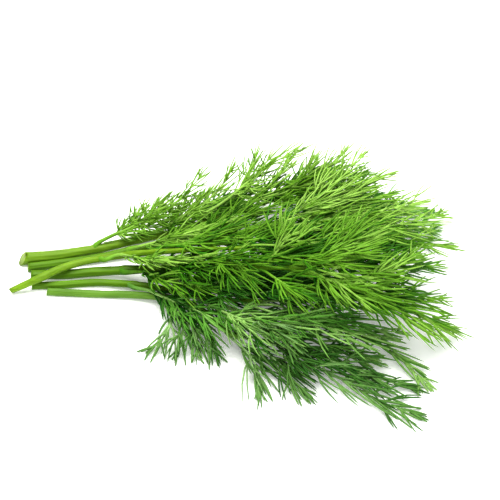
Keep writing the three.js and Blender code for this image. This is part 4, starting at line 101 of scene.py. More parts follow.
        "branches": [[0.201, -35.1, 7.9, 12.8, 0.35, -0.03], [0.209, 39.5, 7.8, 15.3, 0.4, -0.03], [0.357, -30.9, 2.4, 18.8, 0.27, -0.1], [0.368, 36.7, -1.5, 18.6, 0.35, -0.07], [0.515, -24.8, -3.6, 14.7, 0.35, -0.02], [0.529, 32.5, 9.4, 16.5, 0.32, -0.06], [0.675, -32.3, 11.7, 12.9, 0.32, -0.07], [0.689, 30.1, 6.2, 13.2, 0.27, -0.07], [0.839, -18.4, -2.4, 14.1, 0.37, -0.06], [0.847, 28.3, -13.2, 12.3, 0.3, -0.15]]},
    "second_6": {"roll": -25, "line": [[-57.51, 25.75, 8.36, 0.96], [-50.94, 25.25, 11.24, 0.88], [-44.38, 24.76, 14.1, 0.81], [-37.84, 24.28, 17.03, 0.74], [-31.36, 23.81, 20.09, 0.66], [-24.91, 23.38, 23.21, 0.58], [-18.41, 23.14, 26.25, 0.49], [-11.86, 23.13, 29.19, 0.39], [-5.3, 23.17, 32.12, 0.26]],
        "branches": [[0.167, -39.9, -13, 14.2, 0.37, -0.16], [0.18, 41.1, -5.9, 13.2, 0.23, -0.09], [0.338, -29.9, 3, 16.8, 0.27, -0.11], [0.346, 38.5, 6, 18.4, 0.4, -0.07], [0.499, -27.6, -11.4, 17.3, 0.28, -0.01], [0.511, 30.1, -6.1, 16.3, 0.33, -0.02], [0.666, -27.7, -12.6, 16.5, 0.3, -0.11], [0.676, 32, -2.9, 16.6, 0.33, -0.1], [0.829, -18.1, 10.2, 11.3, 0.28, -0.1], [0.839, 21.9, -7.7, 11.7, 0.25, -0.06]]},
    "crossing_1": {"roll": 10, "line": [[-54.09, 11.01, 14.41, 1.03], [-46.05, 11.44, 15.23, 0.93], [-39.61, 7.09, 18.2, 0.85], [-33.2, 2.27, 21.18, 0.77], [-26.46, -2.25, 24.43, 0.69], [-19.77, -6.14, 29, 0.6], [-12.38, -9.28, 33.93, 0.5], [-4.48, -9.76, 37.47, 0.4], [2.6, -10.58, 41.73, 0.26]],
        "branches": [[0.245, -33.1, -8.4, 14.6, 0.31, -0.1], [0.254, 34.8, 0, 12.6, 0.3, -0.03], [0.393, -31.1, 12.8, 17.3, 0.23, -0.12], [0.403, 28.7, -5.4, 21.1, 0.24, -0.03], [0.546, -28.7, -3.1, 18.5, 0.32, -0.06], [0.556, 27.7, 13.4, 15.7, 0.33, -0.1], [0.699, -27.7, 5.2, 15.4, 0.34, -0.05], [0.709, 24.1, -9.4, 13.9, 0.38, -0.02], [0.846, -26.3, 8.4, 12.8, 0.37, -0.08], [0.858, 16.6, 0.7, 11.5, 0.31, -0.14]]},
    "crossing_2": {"roll": 20, "line": [[-15.3, 4.7, 30.93, 0.74], [-6.87, 2.87, 34.35, 0.74], [1.57, 1.07, 37.75, 0.68], [10.27, -0.19, 40.7, 0.63], [19.21, -0.79, 43.11, 0.57], [28.26, -0.93, 45.11, 0.5], [37.39, -0.6, 46.7, 0.44], [46.56, 0.51, 47.56, 0.36], [55.72, 1.84, 48.21, 0.26]],
        "branches": [[0.266, -39.2, -2.6, 18.1, 0.37, -0.01], [0.277, 35.5, 11.6, 16.8, 0.36, -0.08], [0.413, -37.6, 7.3, 20.5, 0.36, -0.13], [0.421, 39.3, -9.1, 24.4, 0.28, -0.13], [0.558, -28.8, 2.8, 17.6, 0.41, -0.11], [0.567, 31.5, -1.8, 17.6, 0.25, -0.11], [0.705, -21.7, -7.1, 17.3, 0.22, -0.04], [0.714, 29.1, -11.5, 16.7, 0.39, -0.11], [0.85, -28, -14, 17, 0.37, -0.1], [0.862, 25.6, -4.3, 13.9, 0.33, -0.06]]},
    "crossing_3": {"roll": -15, "line": [[2.05, -1.31, 35.14, 0.59], [16.44, -5.54, 39.25, 0.64], [31.41, -8.48, 42.76, 0.6], [47.36, -7.83, 42.94, 0.55], [62.53, -3.07, 40.33, 0.51], [77.07, 2.76, 36.45, 0.46], [91.74, 7.51, 31.71, 0.4], [106.25, 11.58, 25.9, 0.34], [120.71, 15.59, 19.96, 0.26]],
        "branches": [[0.225, -39.4, -0.7, 15.4, 0.42, -0.12], [0.238, 34.3, 0.5, 14.9, 0.41, -0.05], [0.308, -35.6, 2.6, 21.5, 0.31, -0.09], [0.32, 37.1, -10, 18.3, 0.29, -0.12], [0.39, -35.3, -2.5, 20.2, 0.38, -0.11], [0.4, 31.9, -10.5, 21, 0.23, -0.04], [0.476, -36.3, 11.6, 22.7, 0.28, -0.14], [0.485, 32.8, 10.6, 23.2, 0.29, -0.07], [0.558, -23.3, -13.4, 17.9, 0.4, -0.07], [0.569, 24.7, 2.3, 21.5, 0.36, -0.09], [0.644, -29.2, 8.3, 20.7, 0.37, -0.04], [0.655, 26.9, 9.5, 17.7, 0.32, -0.15], [0.729, -20, -3.1, 17.8, 0.27, -0.1], [0.737, 23, -3.6, 18.5, 0.23, -0.02], [0.808, -21.7, 5.6, 17.1, 0.26, -0.14], [0.818, 25.7, 13.1, 16.9, 0.27, -0.03], [0.894, -24.5, 0.8, 15.7, 0.26, -0.13], [0.901, 17, 0.3, 15.8, 0.4, -0.08]]},
    "crossing_4": {"roll": 15, "line": [[1.76, -1.83, 36.64, 0.59], [14.9, -7.11, 43.59, 0.64], [29.93, -11.45, 46.72, 0.6], [45.93, -8.97, 47.45, 0.55], [60.89, -2.56, 46.08, 0.51], [75.08, 5, 43.11, 0.46], [88.46, 13.42, 38.96, 0.4], [101.52, 22.17, 34.42, 0.34], [114.64, 30.85, 29.96, 0.26]],
        "branches": [[0.272, -37.7, -11.7, 13.9, 0.29, -0.03], [0.285, 40.2, -3.9, 15.9, 0.38, -0.08], [0.353, -35.7, -3.3, 21.4, 0.26, -0.09], [0.36, 36.7, 8.7, 17.9, 0.35, -0.02], [0.432, -32, 14.3, 22.1, 0.33, -0.14], [0.44, 28.4, -9.4, 24.2, 0.29, -0.13], [0.507, -26.8, -3.2, 19, 0.4, -0.16], [0.516, 35.9, 10.4, 19.9, 0.27, -0.15], [0.588, -28.1, 11.6, 18.7, 0.32, -0.13], [0.599, 32.9, 9.2, 22, 0.3, -0.15], [0.662, -23.2, 8.4, 18.7, 0.3, -0.09], [0.676, 23.3, -12.6, 16.5, 0.33, -0.09], [0.746, -21.5, 10.9, 17.3, 0.22, -0.02], [0.753, 26.5, 2, 15.4, 0.27, -0.02], [0.824, -21, -7.4, 15.6, 0.4, -0.1], [0.832, 29.9, 2.7, 14.4, 0.4, -0.1], [0.899, -25.2, 1.8, 14.7, 0.24, -0.05], [0.913, 21.7, -2.3, 13.2, 0.39, -0.14]]},
    "crossing_5": {"roll": -30, "line": [[-72.1, 13.15, 11.97, 1.01], [-65.13, 14.3, 14.59, 0.91], [-57.94, 10.97, 16.51, 0.84], [-50.98, 7.13, 18.76, 0.76], [-43.64, 3.92, 21.45, 0.68], [-36.11, 1.18, 24.14, 0.59], [-28.56, -1.25, 27.08, 0.5], [-21.1, -3.15, 30.58, 0.4], [-13.68, -4.74, 34.32, 0.26]],
        "branches": [[0.167, -33.1, 10.6, 13.3, 0.25, -0.05], [0.177, 37.8, -24.1, 14.6, 0.33, -0.11], [0.333, -38.1, -1.1, 19.9, 0.28, -0.03], [0.343, 37.5, -11.8, 17.7, 0.4, -0.09], [0.5, -25.5, -1.4, 18.2, 0.33, -0.07], [0.512, 26.1, 14, 17.8, 0.41, -0.11], [0.667, -20.3, -0.7, 14.7, 0.28, -0.07], [0.674, 20.5, -4.4, 14.3, 0.41, -0.04], [0.833, -18.2, -9.9, 13.8, 0.23, -0.12], [0.843, 19.6, 16, 11.5, 0.25, -0.01]]},
    "crossing_6": {"roll": -15, "line": [[-40.27, 14.01, 20.92, 0.94], [-34.34, 10.94, 25.22, 0.87], [-26.69, 9.7, 27.49, 0.8], [-18.95, 9.27, 29.81, 0.73], [-11.19, 9.41, 32.18, 0.65], [-3.41, 9.91, 34.45, 0.57], [4.33, 10.32, 36.85, 0.48], [12.02, 10.56, 39.44, 0.39], [19.69, 10.78, 42.07, 0.26]],
        "branches": [[0.198, -34.1, 1.8, 15.3, 0.36, -0.09], [0.206, 41, 13.9, 14.9, 0.35, -0.03], [0.36, -27, 11.4, 16.4, 0.23, -0.06], [0.366, 36, 13.6, 20, 0.25, -0.12], [0.519, -26.8, -0.3, 17.2, 0.25, -0.11], [0.527, 25.8, 8, 15.9, 0.27, -0.08], [0.677, -25.8, -12.8, 14.5, 0.38, -0.02], [0.689, 24.6, 4, 14.1, 0.31, -0.01], [0.837, -24.6, -1, 13.2, 0.33, -0.16], [0.846, 26.7, 0.6, 13.4, 0.25, -0.15]]},
    "middle_1": {"roll": 25, "line": [[16.49, -17.92, 40.51, 0.74], [18.72, -16.88, 43.29, 0.74], [20.97, -15.83, 46, 0.68], [23.3, -14.2, 48.35, 0.63], [25.52, -11.85, 50.18, 0.57], [27.99, -9.62, 51.78, 0.5], [31.1, -8.34, 53.31, 0.44], [34.51, -7.74, 54.61, 0.36], [37.95, -7.18, 55.89, 0.26]],
        "branches": [[0.199, -40.3, 3.3, 12.3, 0.27, -0.01], [0.21, 33.4, 7.8, 13.3, 0.39, -0.01], [0.36, -29.4, 7.6, 17.9, 0.25, -0.07], [0.37, 35.8, 0.7, 16.4, 0.24, -0.09], [0.517, -33.7, -7.6, 13.6, 0.41, -0.04], [0.53, 35.6, -4.3, 14.6, 0.27, -0.15], [0.678, -24.9, -0.9, 14.1, 0.35, -0.09], [0.688, 27.5, -10.2, 12.2, 0.37, -0.04], [0.838, -19.4, 5.7, 9.8, 0.23, -0.09], [0.849, 25.5, -2.5, 10.6, 0.32, -0.08]]},
    "middle_2": {"roll": -15, "line": [[31.54, -23.29, 45.23, 0.61], [36.93, -25.54, 47.6, 0.65], [42.02, -26.02, 50.67, 0.61], [47.39, -24.84, 53.18, 0.56], [52.84, -22.81, 55.01, 0.51], [58.31, -20.23, 55.74, 0.46], [63.64, -17.26, 55.43, 0.4], [68.86, -14.17, 54.77, 0.34], [74.11, -11.1, 54.16, 0.26]],
        "branches": [[0.201, -32, 3.4, 16, 0.37, -0.1], [0.209, 31.4, 11.5, 17.1, 0.24, -0.01], [0.358, -31.4, -9.4, 24.2, 0.28, -0.1], [0.369, 29.5, -2.6, 25.4, 0.28, -0.06], [0.519, -32.3, 2.7, 21, 0.35, -0.02], [0.528, 33, 4, 22.6, 0.23, -0.03], [0.679, -21.4, -9.6, 17.4, 0.28, -0.04], [0.687, 30, 11.1, 17.8, 0.33, -0.16], [0.835, -24, -8.8, 15.6, 0.34, -0.05], [0.849, 29.1, -4.9, 14.9, 0.3, -0.1]]},
    "middle_3": {"roll": 20, "line": [[31.38, -26.72, 43.81, 0.61], [40.23, -31.92, 48.43, 0.65], [48.62, -37.38, 47.9, 0.61], [58.37, -41.25, 48.25, 0.56], [68.63, -38.04, 48.78, 0.51], [77.28, -31.67, 47.99, 0.46], [85.02, -24.31, 46.29, 0.4], [92.3, -16.8, 43.63, 0.34], [98.57, -9.21, 39.16, 0.26]],
        "branches": [[0.156, -35.1, -11.6, 14, 0.24, -0.04], [0.168, 35.5, 2.5, 14.8, 0.39, -0.11], [0.272, -29.7, -12.1, 16.5, 0.4, -0.09], [0.281, 28.2, -5.9, 17.3, 0.24, -0.03], [0.391, -30, -10, 19.9, 0.41, -0.07], [0.404, 27.5, -17.6, 19.8, 0.29, -0.08], [0.513, -23.2, 6.6, 15.8, 0.33, -0.03], [0.519, 33.1, 13.6, 15.5, 0.29, -0.08], [0.63, -31.6, 10, 16.4, 0.38, -0.05], [0.636, 23.5, -11, 17.1, 0.29, -0.16], [0.745, -26.8, -6.1, 15.3, 0.39, -0.14], [0.757, 19.5, 11.7, 14.5, 0.35, -0.07], [0.866, -27.1, 12.3, 12.5, 0.3, -0.1], [0.873, 28.5, -5.8, 13.5, 0.22, 0]]},
    "middle_4": {"roll": -10, "line": [[31.7, -24.57, 41.02, 0.61], [42.26, -30.22, 40.57, 0.65], [53.45, -37.2, 42.02, 0.61], [65.65, -38.41, 39.53, 0.56], [77.47, -39.64, 36.01, 0.51], [88.55, -40.15, 30.54, 0.46], [98.58, -39.82, 23.08, 0.4], [108.13, -38.08, 15.16, 0.34], [117.16, -34.79, 7.11, 0.26]],
        "branches": [[0.332, -40.4, -12.2, 16.8, 0.31, -0.07], [0.342, 40.8, 3.5, 19.8, 0.29, -0.03], [0.44, -35, -12, 27.7, 0.27, -0.11], [0.453, 35.8, 1.4, 21.8, 0.31, -0.14], [0.554, -37.2, -2.4, 22.7, 0.42, -0.11], [0.564, 31.9, -4.9, 25.1, 0.41, -0.09], [0.662, -23.2, 11.2, 21, 0.25, -0.07], [0.675, 32, -0.8, 22.2, 0.25, -0.07], [0.772, -23.1, -5.9, 17.3, 0.35, -0.01], [0.779, 30.7, 2.8, 19.8, 0.31, -0.03], [0.881, -24.9, 4.6, 14.9, 0.41, -0.13], [0.889, 23, 3.5, 18.6, 0.27, -0.01]]},
    "middle_5": {"roll": 20, "line": [[15.89, -21.9, 38.28, 0.74], [18.42, -24.94, 38.98, 0.74], [20.95, -27.92, 39.72, 0.68], [23.56, -30.88, 40.35, 0.63], [26.43, -33.65, 40.68, 0.57], [29.57, -36.13, 40.57, 0.5], [33.14, -37.86, 40.18, 0.44], [37.07, -38.16, 39.58, 0.36], [41.01, -38, 38.9, 0.26]],
        "branches": [[0.263, -41.9, 3.9, 11.9, 0.26, -0.02], [0.276, 41.9, -2.6, 11, 0.35, -0.12], [0.414, -27.6, -1.5, 16.4, 0.25, -0.09], [0.421, 34.1, -11.6, 17.7, 0.27, -0.02], [0.557, -30.9, -1.8, 15.7, 0.26, -0.13], [0.565, 28.2, -6.1, 14.3, 0.37, -0.16], [0.707, -30.4, -6.5, 14.3, 0.24, -0.06], [0.712, 31, -9.7, 12.3, 0.23, -0.06], [0.853, -22.9, -3.8, 9.7, 0.27, 0], [0.863, 27.7, -7.9, 12.2, 0.33, -0.09]]},
    "middle_6": {"roll": -20, "line": [[-10.37, -4.46, 26.55, 0.94], [-4.03, -9.4, 32.09, 0.87], [5.05, -11.33, 35.5, 0.8], [14.02, -13.5, 39.2, 0.73], [22.6, -16.35, 43.38, 0.65], [31.52, -18.95, 46.98, 0.57], [41.12, -20.56, 48.99, 0.48], [51.01, -21.48, 49.82, 0.39], [60.91, -22.36, 50.58, 0.26]],
        "branches": [[0.294, -30.3, 6.9, 14.9, 0.37, -0.13], [0.303, 30.4, 4.8, 16, 0.34, -0.04], [0.436, -27.6, -12.2, 18.1, 0.36, -0.05], [0.445, 34.6, -6.9, 21.5, 0.23, -0.13], [0.572, -27.4, -13.9, 19.8, 0.34, -0.1], [0.585, 30.8, 7.3, 18.4, 0.26, -0.14], [0.715, -26, -5.9, 16.3, 0.32, -0.13], [0.725, 31, 9.6, 15.3, 0.35, -0.11], [0.858, -19.5, 2.5, 13.7, 0.37, -0.07], [0.867, 23.6, 9.2, 13.4, 0.33, -0.05]]},
    "middle_7": {"roll": 10, "line": [[32.6, -21.98, 42.49, 0.61], [42.21, -25.8, 47.57, 0.65], [53.61, -28, 48.88, 0.61], [65.05, -26.21, 47.1, 0.56], [75.47, -22.28, 43.06, 0.51], [85.28, -17.64, 38.29, 0.46], [94.45, -12.31, 33.01, 0.4], [102.78, -6.29, 27.11, 0.34], [111.03, -0.19, 21.16, 0.26]],
        "branches": [[0.112, -40.4, 3.9, 17.7, 0.3, -0.15], [0.122, 35.3, -2, 16.4, 0.31, -0.12], [0.218, -32.9, -11.1, 23.9, 0.25, -0.12], [0.23, 33.9, 0.4, 21.3, 0.34, -0.16], [0.329, -26.8, 5.1, 21.2, 0.25, -0.12], [0.339, 37.1, 11.1, 22.5, 0.35, -0.01], [0.435, -35.8, -7.9, 21, 0.24, -0.09], [0.444, 26.6, 2.6, 24.2, 0.4, -0.03], [0.546, -30.3, 1.5, 20.8, 0.24, -0.1], [0.553, 32.3, 3.7, 21.6, 0.26, -0.01], [0.653, -25.7, 5.5, 16.6, 0.31, -0.1], [0.666, 32.6, 4.6, 18.6, 0.4, -0.12], [0.762, -28.2, -8.4, 17.2, 0.41, -0.07], [0.772, 18.3, -8, 18.6, 0.27, -0.04], [0.871, -20.2, 0.3, 13.9, 0.26, -0.13], [0.879, 26.3, 6.3, 15.7, 0.27, -0.08]]},
    "middle_9": {"roll": 15, "line": [[31.86, -25.76, 42.13, 0.61], [41.71, -31.38, 45.32, 0.65], [52.06, -36.68, 44.33, 0.61], [63.17, -40.15, 42.55, 0.56], [74.42, -39.24, 38.6, 0.51], [85.14, -36.35, 33.77, 0.46], [94.86, -32.05, 28.51, 0.4], [103.62, -26.52, 22.84, 0.34], [112.34, -20.93, 17.16, 0.26]],
        "branches": [[0.175, -41.5, 9.5, 16.8, 0.34, -0.1], [0.183, 33.7, -7.2, 14.8, 0.24, -0.04], [0.29, -29.2, -4.8, 18.9, 0.36, -0.09], [0.303, 33.5, 7.9, 22.3, 0.31, -0.01], [0.404, -31.1, 11.7, 22.1, 0.34, -0.13], [0.416, 25.9, 11.5, 18.5, 0.29, -0.09], [0.523, -24.1, 10.2, 18.3, 0.28, -0.08], [0.533, 35.8, -6, 21.2, 0.35, -0.07], [0.634, -29.5, 7.1, 15.1, 0.38, -0.09], [0.646, 22.8, -12.6, 17.9, 0.33, -0.05], [0.754, -21, -5, 15.1, 0.32, 0], [0.762, 23.7, -7.5, 16.9, 0.36, -0.13], [0.87, -17.5, 4, 14.3, 0.41, -0.15], [0.875, 21.8, 0, 12.3, 0.41, -0.11]]},
    "middle_8": {"roll": -15, "line": [[-59.94, 7.54, 7.68, 0.96], [-53.71, 6.39, 9.58, 0.88], [-48.34, 2.7, 11.9, 0.81], [-43.2, -1.67, 14.51, 0.73], [-37.87, -6.03, 17.05, 0.66], [-32.45, -10.33, 19.5, 0.57], [-26.8, -14.48, 21.69, 0.49], [-20.74, -18.27, 23.36, 0.39], [-14.55, -21.92, 24.84, 0.26]],
        "branches": [[0.197, -38.8, -0.3, 13.5, 0.35, -0.05], [0.209, 34.9, -3.3, 11.3, 0.35, -0.03], [0.359, -31.2, 9.6, 18.8, 0.42, -0.15], [0.369, 35, -2.8, 17.6, 0.28, -0.03], [0.52, -27.4, -11.4, 14.8, 0.32, -0.13], [0.527, 32, 9, 14.9, 0.29, -0.14], [0.677, -20.7, -12.5, 15.5, 0.27, -0.14], [0.688, 20.9, 9.8, 14.1, 0.39, -0.07], [0.838, -25.2, -5.6, 12.5, 0.23, -0.09], [0.847, 23.4, 5, 12.3, 0.28, -0.14]]},
    "lower_1": {"roll": 15, "line": [[9.91, -29.4, 21.02, 0.59], [19.46, -34.15, 26, 0.64], [29.86, -39.54, 27.69, 0.6], [41.18, -42.86, 27.69, 0.55], [52.88, -43.45, 25.89, 0.5], [64.11, -43.92, 22.11, 0.45], [74.81, -43.54, 17.03, 0.4], [84.67, -40.24, 11.37, 0.34], [93.91, -35.71, 5.46, 0.26]],
        "branches": [[0.235, -34.8, 2.5, 17.3, 0.3, -0.14], [0.243, 34.7, -5.8, 14.7, 0.37, -0.12], [0.342, -38.2, 8.4, 22.4, 0.28, -0.07], [0.352, 37.4, -3.2, 23.6, 0.25, -0.1], [0.448, -26.9, 3.7, 22.1, 0.33, -0.02], [0.459, 28.6, -12.9, 21.3, 0.39, -0.02], [0.556, -23.8, 12.8, 19.5, 0.37, -0.1], [0.566, 27.1, 5.9, 21, 0.39, -0.05], [0.664, -28.3, -9.8, 17.8, 0.26, -0.06], [0.673, 23.1, -6.1, 17.2, 0.24, -0.1], [0.772, -22.9, 7, 18.5, 0.38, -0.11], [0.78, 27.3, -12.9, 16.7, 0.38, -0.14], [0.879, -16.1, -4.3, 13.8, 0.24, -0.16], [0.887, 23.7, -13.6, 14.8, 0.26, -0.11]]},
    "lower_2": {"roll": -20, "line": [[-2.1, -21.79, 19.68, 0.68], [5.29, -24, 23.07, 0.7], [12.74, -26.21, 26.32, 0.65], [20.51, -27.81, 29.12, 0.59], [28.54, -29.13, 31.29, 0.54], [36.33, -31.85, 33, 0.48], [44.11, -34.9, 33.92, 0.42], [52.21, -36.64, 32.62, 0.35], [60.21, -37.78, 30.21, 0.26]],
        "branches": [[0.294, -34.1, -4.3, 15.7, 0.37, -0.14], [0.305, 38.9, -2.1, 14, 0.4, -0.06], [0.433, -30.1, -12.1, 18.8, 0.41, 0], [0.444, 34.8, 10, 19.8, 0.32, -0.13], [0.573, -27.4, 3.7, 15.9, 0.32, -0.12], [0.586, 30.9, 1.9, 18.7, 0.38, -0.07], [0.715, -31, -11.8, 14, 0.28, -0.11], [0.723, 25.1, -10.6, 13.7, 0.34, -0.09], [0.854, -21.6, 0.9, 13.3, 0.38, -0.07], [0.866, 26.1, 4.1, 14.6, 0.41, -0.09]]},
    "lower_3": {"roll": 20, "line": [[-19.43, -18.73, 13.3, 0.8], [-13.01, -25.39, 15.91, 0.78], [-6.61, -32.06, 18.53, 0.72], [0.22, -38.32, 21.07, 0.65], [8.01, -43.46, 23.28, 0.59], [16.6, -47.21, 25.33, 0.52], [25.65, -48.66, 28.02, 0.45], [35.03, -47.23, 29.16, 0.37], [44.26, -44.57, 29.16, 0.26]],
        "branches": [[0.294, -31.5, 9.5, 12.6, 0.38, -0.13], [0.301, 40.5, 3.9, 13, 0.32, -0.1], [0.433, -36.5, 6.9, 17.4, 0.26, -0.01], [0.445, 29.6, 5.1, 16.9, 0.24, -0.12], [0.571, -26.1, -13.2, 18.1, 0.31, -0.09], [0.582, 29.6, 8.1, 18.1, 0.37, -0.16], [0.717, -27.8, 10.3, 15.1, 0.25, -0.02], [0.726, 27.9, 12.4, 16.3, 0.41, -0.12], [0.854, -28.4, -10.6, 12.3, 0.25, -0.02], [0.867, 26.1, 10.5, 13.2, 0.34, -0.15]]},
    "lower_4": {"roll": -15, "line": [[5.77, -28.02, 19.69, 0.62], [13.37, -34.51, 23.33, 0.66], [23.34, -40.17, 24.91, 0.61], [33.76, -45.12, 25.75, 0.56], [44.77, -48.63, 25.26, 0.51], [56.01, -50.52, 23.41, 0.46], [66.91, -49.89, 19.73, 0.41], [76.88, -47.04, 14.61, 0.34], [86.73, -43.96, 9.36, 0.26]],
        "branches": [[0.334, -33.7, -8.5, 16.3, 0.4, -0.1], [0.344, 31.6, -13.4, 16, 0.42, -0.05], [0.441, -30.5, -8.7, 19.8, 0.29, -0.01], [0.45, 31.7, -4.4, 22.7, 0.36, -0.16], [0.551, -25, -7.4, 20.6, 0.31, -0.13], [0.565, 32.8, -14.4, 19.3, 0.39, -0.04], [0.659, -31, -9.6, 18.1, 0.4, -0.05], [0.67, 31.8, -12.6, 19, 0.23, -0.12], [0.774, -29.4, -3.4, 16, 0.23, -0.12], [0.781, 28.5, -15.2, 17.2, 0.36, -0.09], [0.882, -18.8, -12.6, 13.3, 0.24, -0.05], [0.893, 26.9, -1.8, 13.7, 0.42, -0.07]]},
    "lower_5": {"roll": 10, "line": [[10.81, -27.63, 20.33, 0.59], [22.97, -29.59, 24.12, 0.64], [35.37, -34.89, 21.84, 0.6], [48, -39.43, 18.69, 0.55], [60.96, -41.97, 14.71, 0.5], [73.58, -45.51, 10.57, 0.45], [84.86, -52.35, 6.57, 0.4], [94.57, -61.28, 2.95, 0.34], [102.66, -72.25, 0.76, 0.26]],
        "branches": [[0.348, -39.7, -2.6, 15.5, 0.4, -0.11], [0.359, 42.1, -0.6, 16.6, 0.39, -0.11], [0.438, -32.9, -5.4, 20.7, 0.25, -0.02], [0.447, 30.6, 4.8, 17.6, 0.42, -0.15], [0.532, -36.8, 5.3, 18.6, 0.39, -0.07], [0.542, 38, 7.4, 18.7, 0.33, -0.11], [0.624, -24.4, -1.7, 20.9, 0.24, -0.05], [0.632, 34.1, 0, 17.2, 0.39, -0.01], [0.713, -31.7, 2.8, 17.8, 0.41, -0.11], [0.725, 21.3, -6.6, 18.4, 0.33, -0.04], [0.806, -22.1, 10.6, 14.4, 0.37, -0.05], [0.815, 25.9, 12.9, 14.6, 0.24, -0.08], [0.894, -22.3, 15.6, 13.6, 0.23, -0.07], [0.906, 25.8, 10.3, 13.4, 0.29, -0.16]]},
    "lower_6": {"roll": 30, "line": [[-33.83, -6.71, 11.4, 0.9], [-28.79, -8.55, 13.85, 0.84], [-23.75, -10.39, 16.29, 0.77], [-18.74, -12.25, 18.77, 0.7], [-13.81, -14.15, 21.39, 0.63], [-8.98, -16.08, 24.17, 0.55], [-4.14, -18.24, 26.74, 0.47], [0.74, -20.76, 28.89, 0.38], [5.61, -23.39, 30.92, 0.26]],
        "branches": [[0.197, -32, -3.3, 11.5, 0.41, -0.02], [0.21, 39.4, 9.1, 12.6, 0.25, -0.1], [0.356, -28.3, -11.7, 18, 0.4, -0.05], [0.368, 31.1, -19, 17.8, 0.25, -0.11], [0.519, -31.9, 10.7, 15.4, 0.32, -0.05], [0.53, 23.2, 4.5, 17.2, 0.27, 0], [0.68, -21.8, 5, 13.9, 0.35, 0], [0.688, 27.8, -7.2, 14.6, 0.37, -0.12], [0.837, -20.3, 1.4, 11.9, 0.28, -0.13], [0.846, 17.6, 2, 10.5, 0.37, -0.01]]},
    "lower_8": {"roll": 20, "line": [[-55.37, -2.08, 5.22, 1], [-48.2, -5.22, 6.75, 0.91], [-42.37, -10.41, 8.79, 0.83], [-36.56, -15.83, 10.78, 0.76], [-30.3, -20.83, 12.5, 0.68], [-23.81, -25.61, 14.03, 0.59], [-17.19, -30.33, 15.11, 0.5], [-10.43, -34.94, 15.51, 0.4], [-3.62, -39.51, 15.71, 0.26]],
        "branches": [[0.318, -41.4, -1.6, 10.1, 0.38, -0.11], [0.33, 40.6, -9.5, 12.5, 0.24, 0], [0.456, -36.3, 0.5, 14.1, 0.25, -0.09], [0.468, 38.5, -11.6, 13.8, 0.42, -0.03], [0.592, -35.4, -9.9, 12.9, 0.39, -0.15], [0.599, 27.3, 2, 14.4, 0.28, -0.02], [0.729, -27.4, 4.5, 12.4, 0.23, -0.09], [0.739, 30.4, -5.6, 11.8, 0.4, -0.11], [0.863, -23.3, 8.5, 10, 0.28, -0.13], [0.874, 25.4, -3.5, 10.4, 0.33, -0.08]]},
    "lower_7": {"roll": 10, "line": [[-14.16, -19.59, 12.04, 0.76], [-3.89, -25.16, 13.62, 0.75], [6.32, -31.48, 13.72, 0.7], [16.73, -37.7, 13.5, 0.64], [27.66, -42.94, 13.02, 0.58], [39.15, -46.81, 12.34, 0.51], [50.83, -49.92, 11.28, 0.44], [62.46, -52.52, 9.02, 0.36], [73.87, -54.01, 5.16, 0.26]],
        "branches": [[0.331, -31.1, 4.3, 14.9, 0.23, -0.04], [0.345, 35.8, 5.2, 15.5, 0.33, -0.16], [0.44, -31.5, 9.8, 17.8, 0.26, -0.01], [0.454, 32.7, 13.5, 18.8, 0.22, -0.16], [0.553, -29.3, 4.4, 19.9, 0.24, -0.06], [0.562, 33.5, -9.7, 16.8, 0.24, -0.16], [0.662, -29, 11.1, 16.7, 0.23, -0.15], [0.673, 32.2, -4.9, 18, 0.28, -0.14], [0.771, -29, -2.6, 14.5, 0.38, -0.13], [0.781, 23.2, -12.6, 15.3, 0.37, -0.08], [0.88, -23, -4.7, 12.1, 0.29, -0.1], [0.892, 17.2, -5.9, 13, 0.24, -0.13]]},
    "front_1": {"roll": 10, "line": [[-40.61, -12.07, 5.1, 0.84], [-38.15, -16.56, 5.65, 0.81], [-35.69, -21.05, 6.21, 0.74], [-34.32, -25.97, 6.35, 0.68], [-35.22, -30.96, 5.69, 0.61], [-37.37, -35.51, 4.63, 0.54], [-40.14, -39.68, 3.46, 0.46], [-43.74, -43.12, 2.15, 0.38], [-47.48, -46.39, 0.81, 0.26]],
        "branches": [[0.318, -33.8, -9.5, 14, 0.32, -0.02], [0.333, 37.7, -19.4, 13.3, 0.36, -0.11], [0.453, -34.8, -4, 15.7, 0.26, -0.09], [0.464, 31.5, 4.8, 19.6, 0.29, -0.06], [0.59, -35.5, 11.9, 15, 0.22, -0.06], [0.602, 33.6, -13.3, 17.2, 0.23, 0], [0.726, -25.5, 15, 12.6, 0.26, -0.03], [0.736, 25.7, -2.5, 12.4, 0.28, -0.1], [0.862, -34.2, 51.2, 11.7, 0.24, 0.21], [0.875, 26.1, 15.8, 10.7, 0.35, -0.13]]},
    "front_9": {"roll": -15, "line": [[-36.89, -13.38, 5.79, 0.83], [-34.48, -17.8, 6.33, 0.8], [-32, -22.16, 6.93, 0.74], [-29.77, -26.67, 7.36, 0.67], [-28.37, -31.51, 7.2, 0.6], [-28.19, -36.48, 6.29, 0.53], [-28.79, -41.31, 4.92, 0.46], [-30.11, -45.82, 3.12, 0.37], [-32.4, -49.68, 0.81, 0.26]],
        "branches": [[0.319, -36.4, -6.6, 11.6, 0.4, -0.07], [0.328, 34.9, -10.5, 12.4, 0.22, -0.15], [0.459, -34.9, 6.8, 16.3, 0.41, -0.15], [0.464, 37.3, -7.9, 14.6, 0.34, -0.11], [0.589, -24.1, 9, 15, 0.28, -0.06], [0.6, 35.3, -8.4, 11.9, 0.28, -0.11], [0.729, -21.9, -8.1, 11.2, 0.28, -0.13], [0.736, 30.2, -7.3, 10.7, 0.23, -0.01], [0.863, -27.4, 18.8, 10.3, 0.26, 0.21], [0.87, 20.5, 15.9, 9.5, 0.42, 0.48]]},
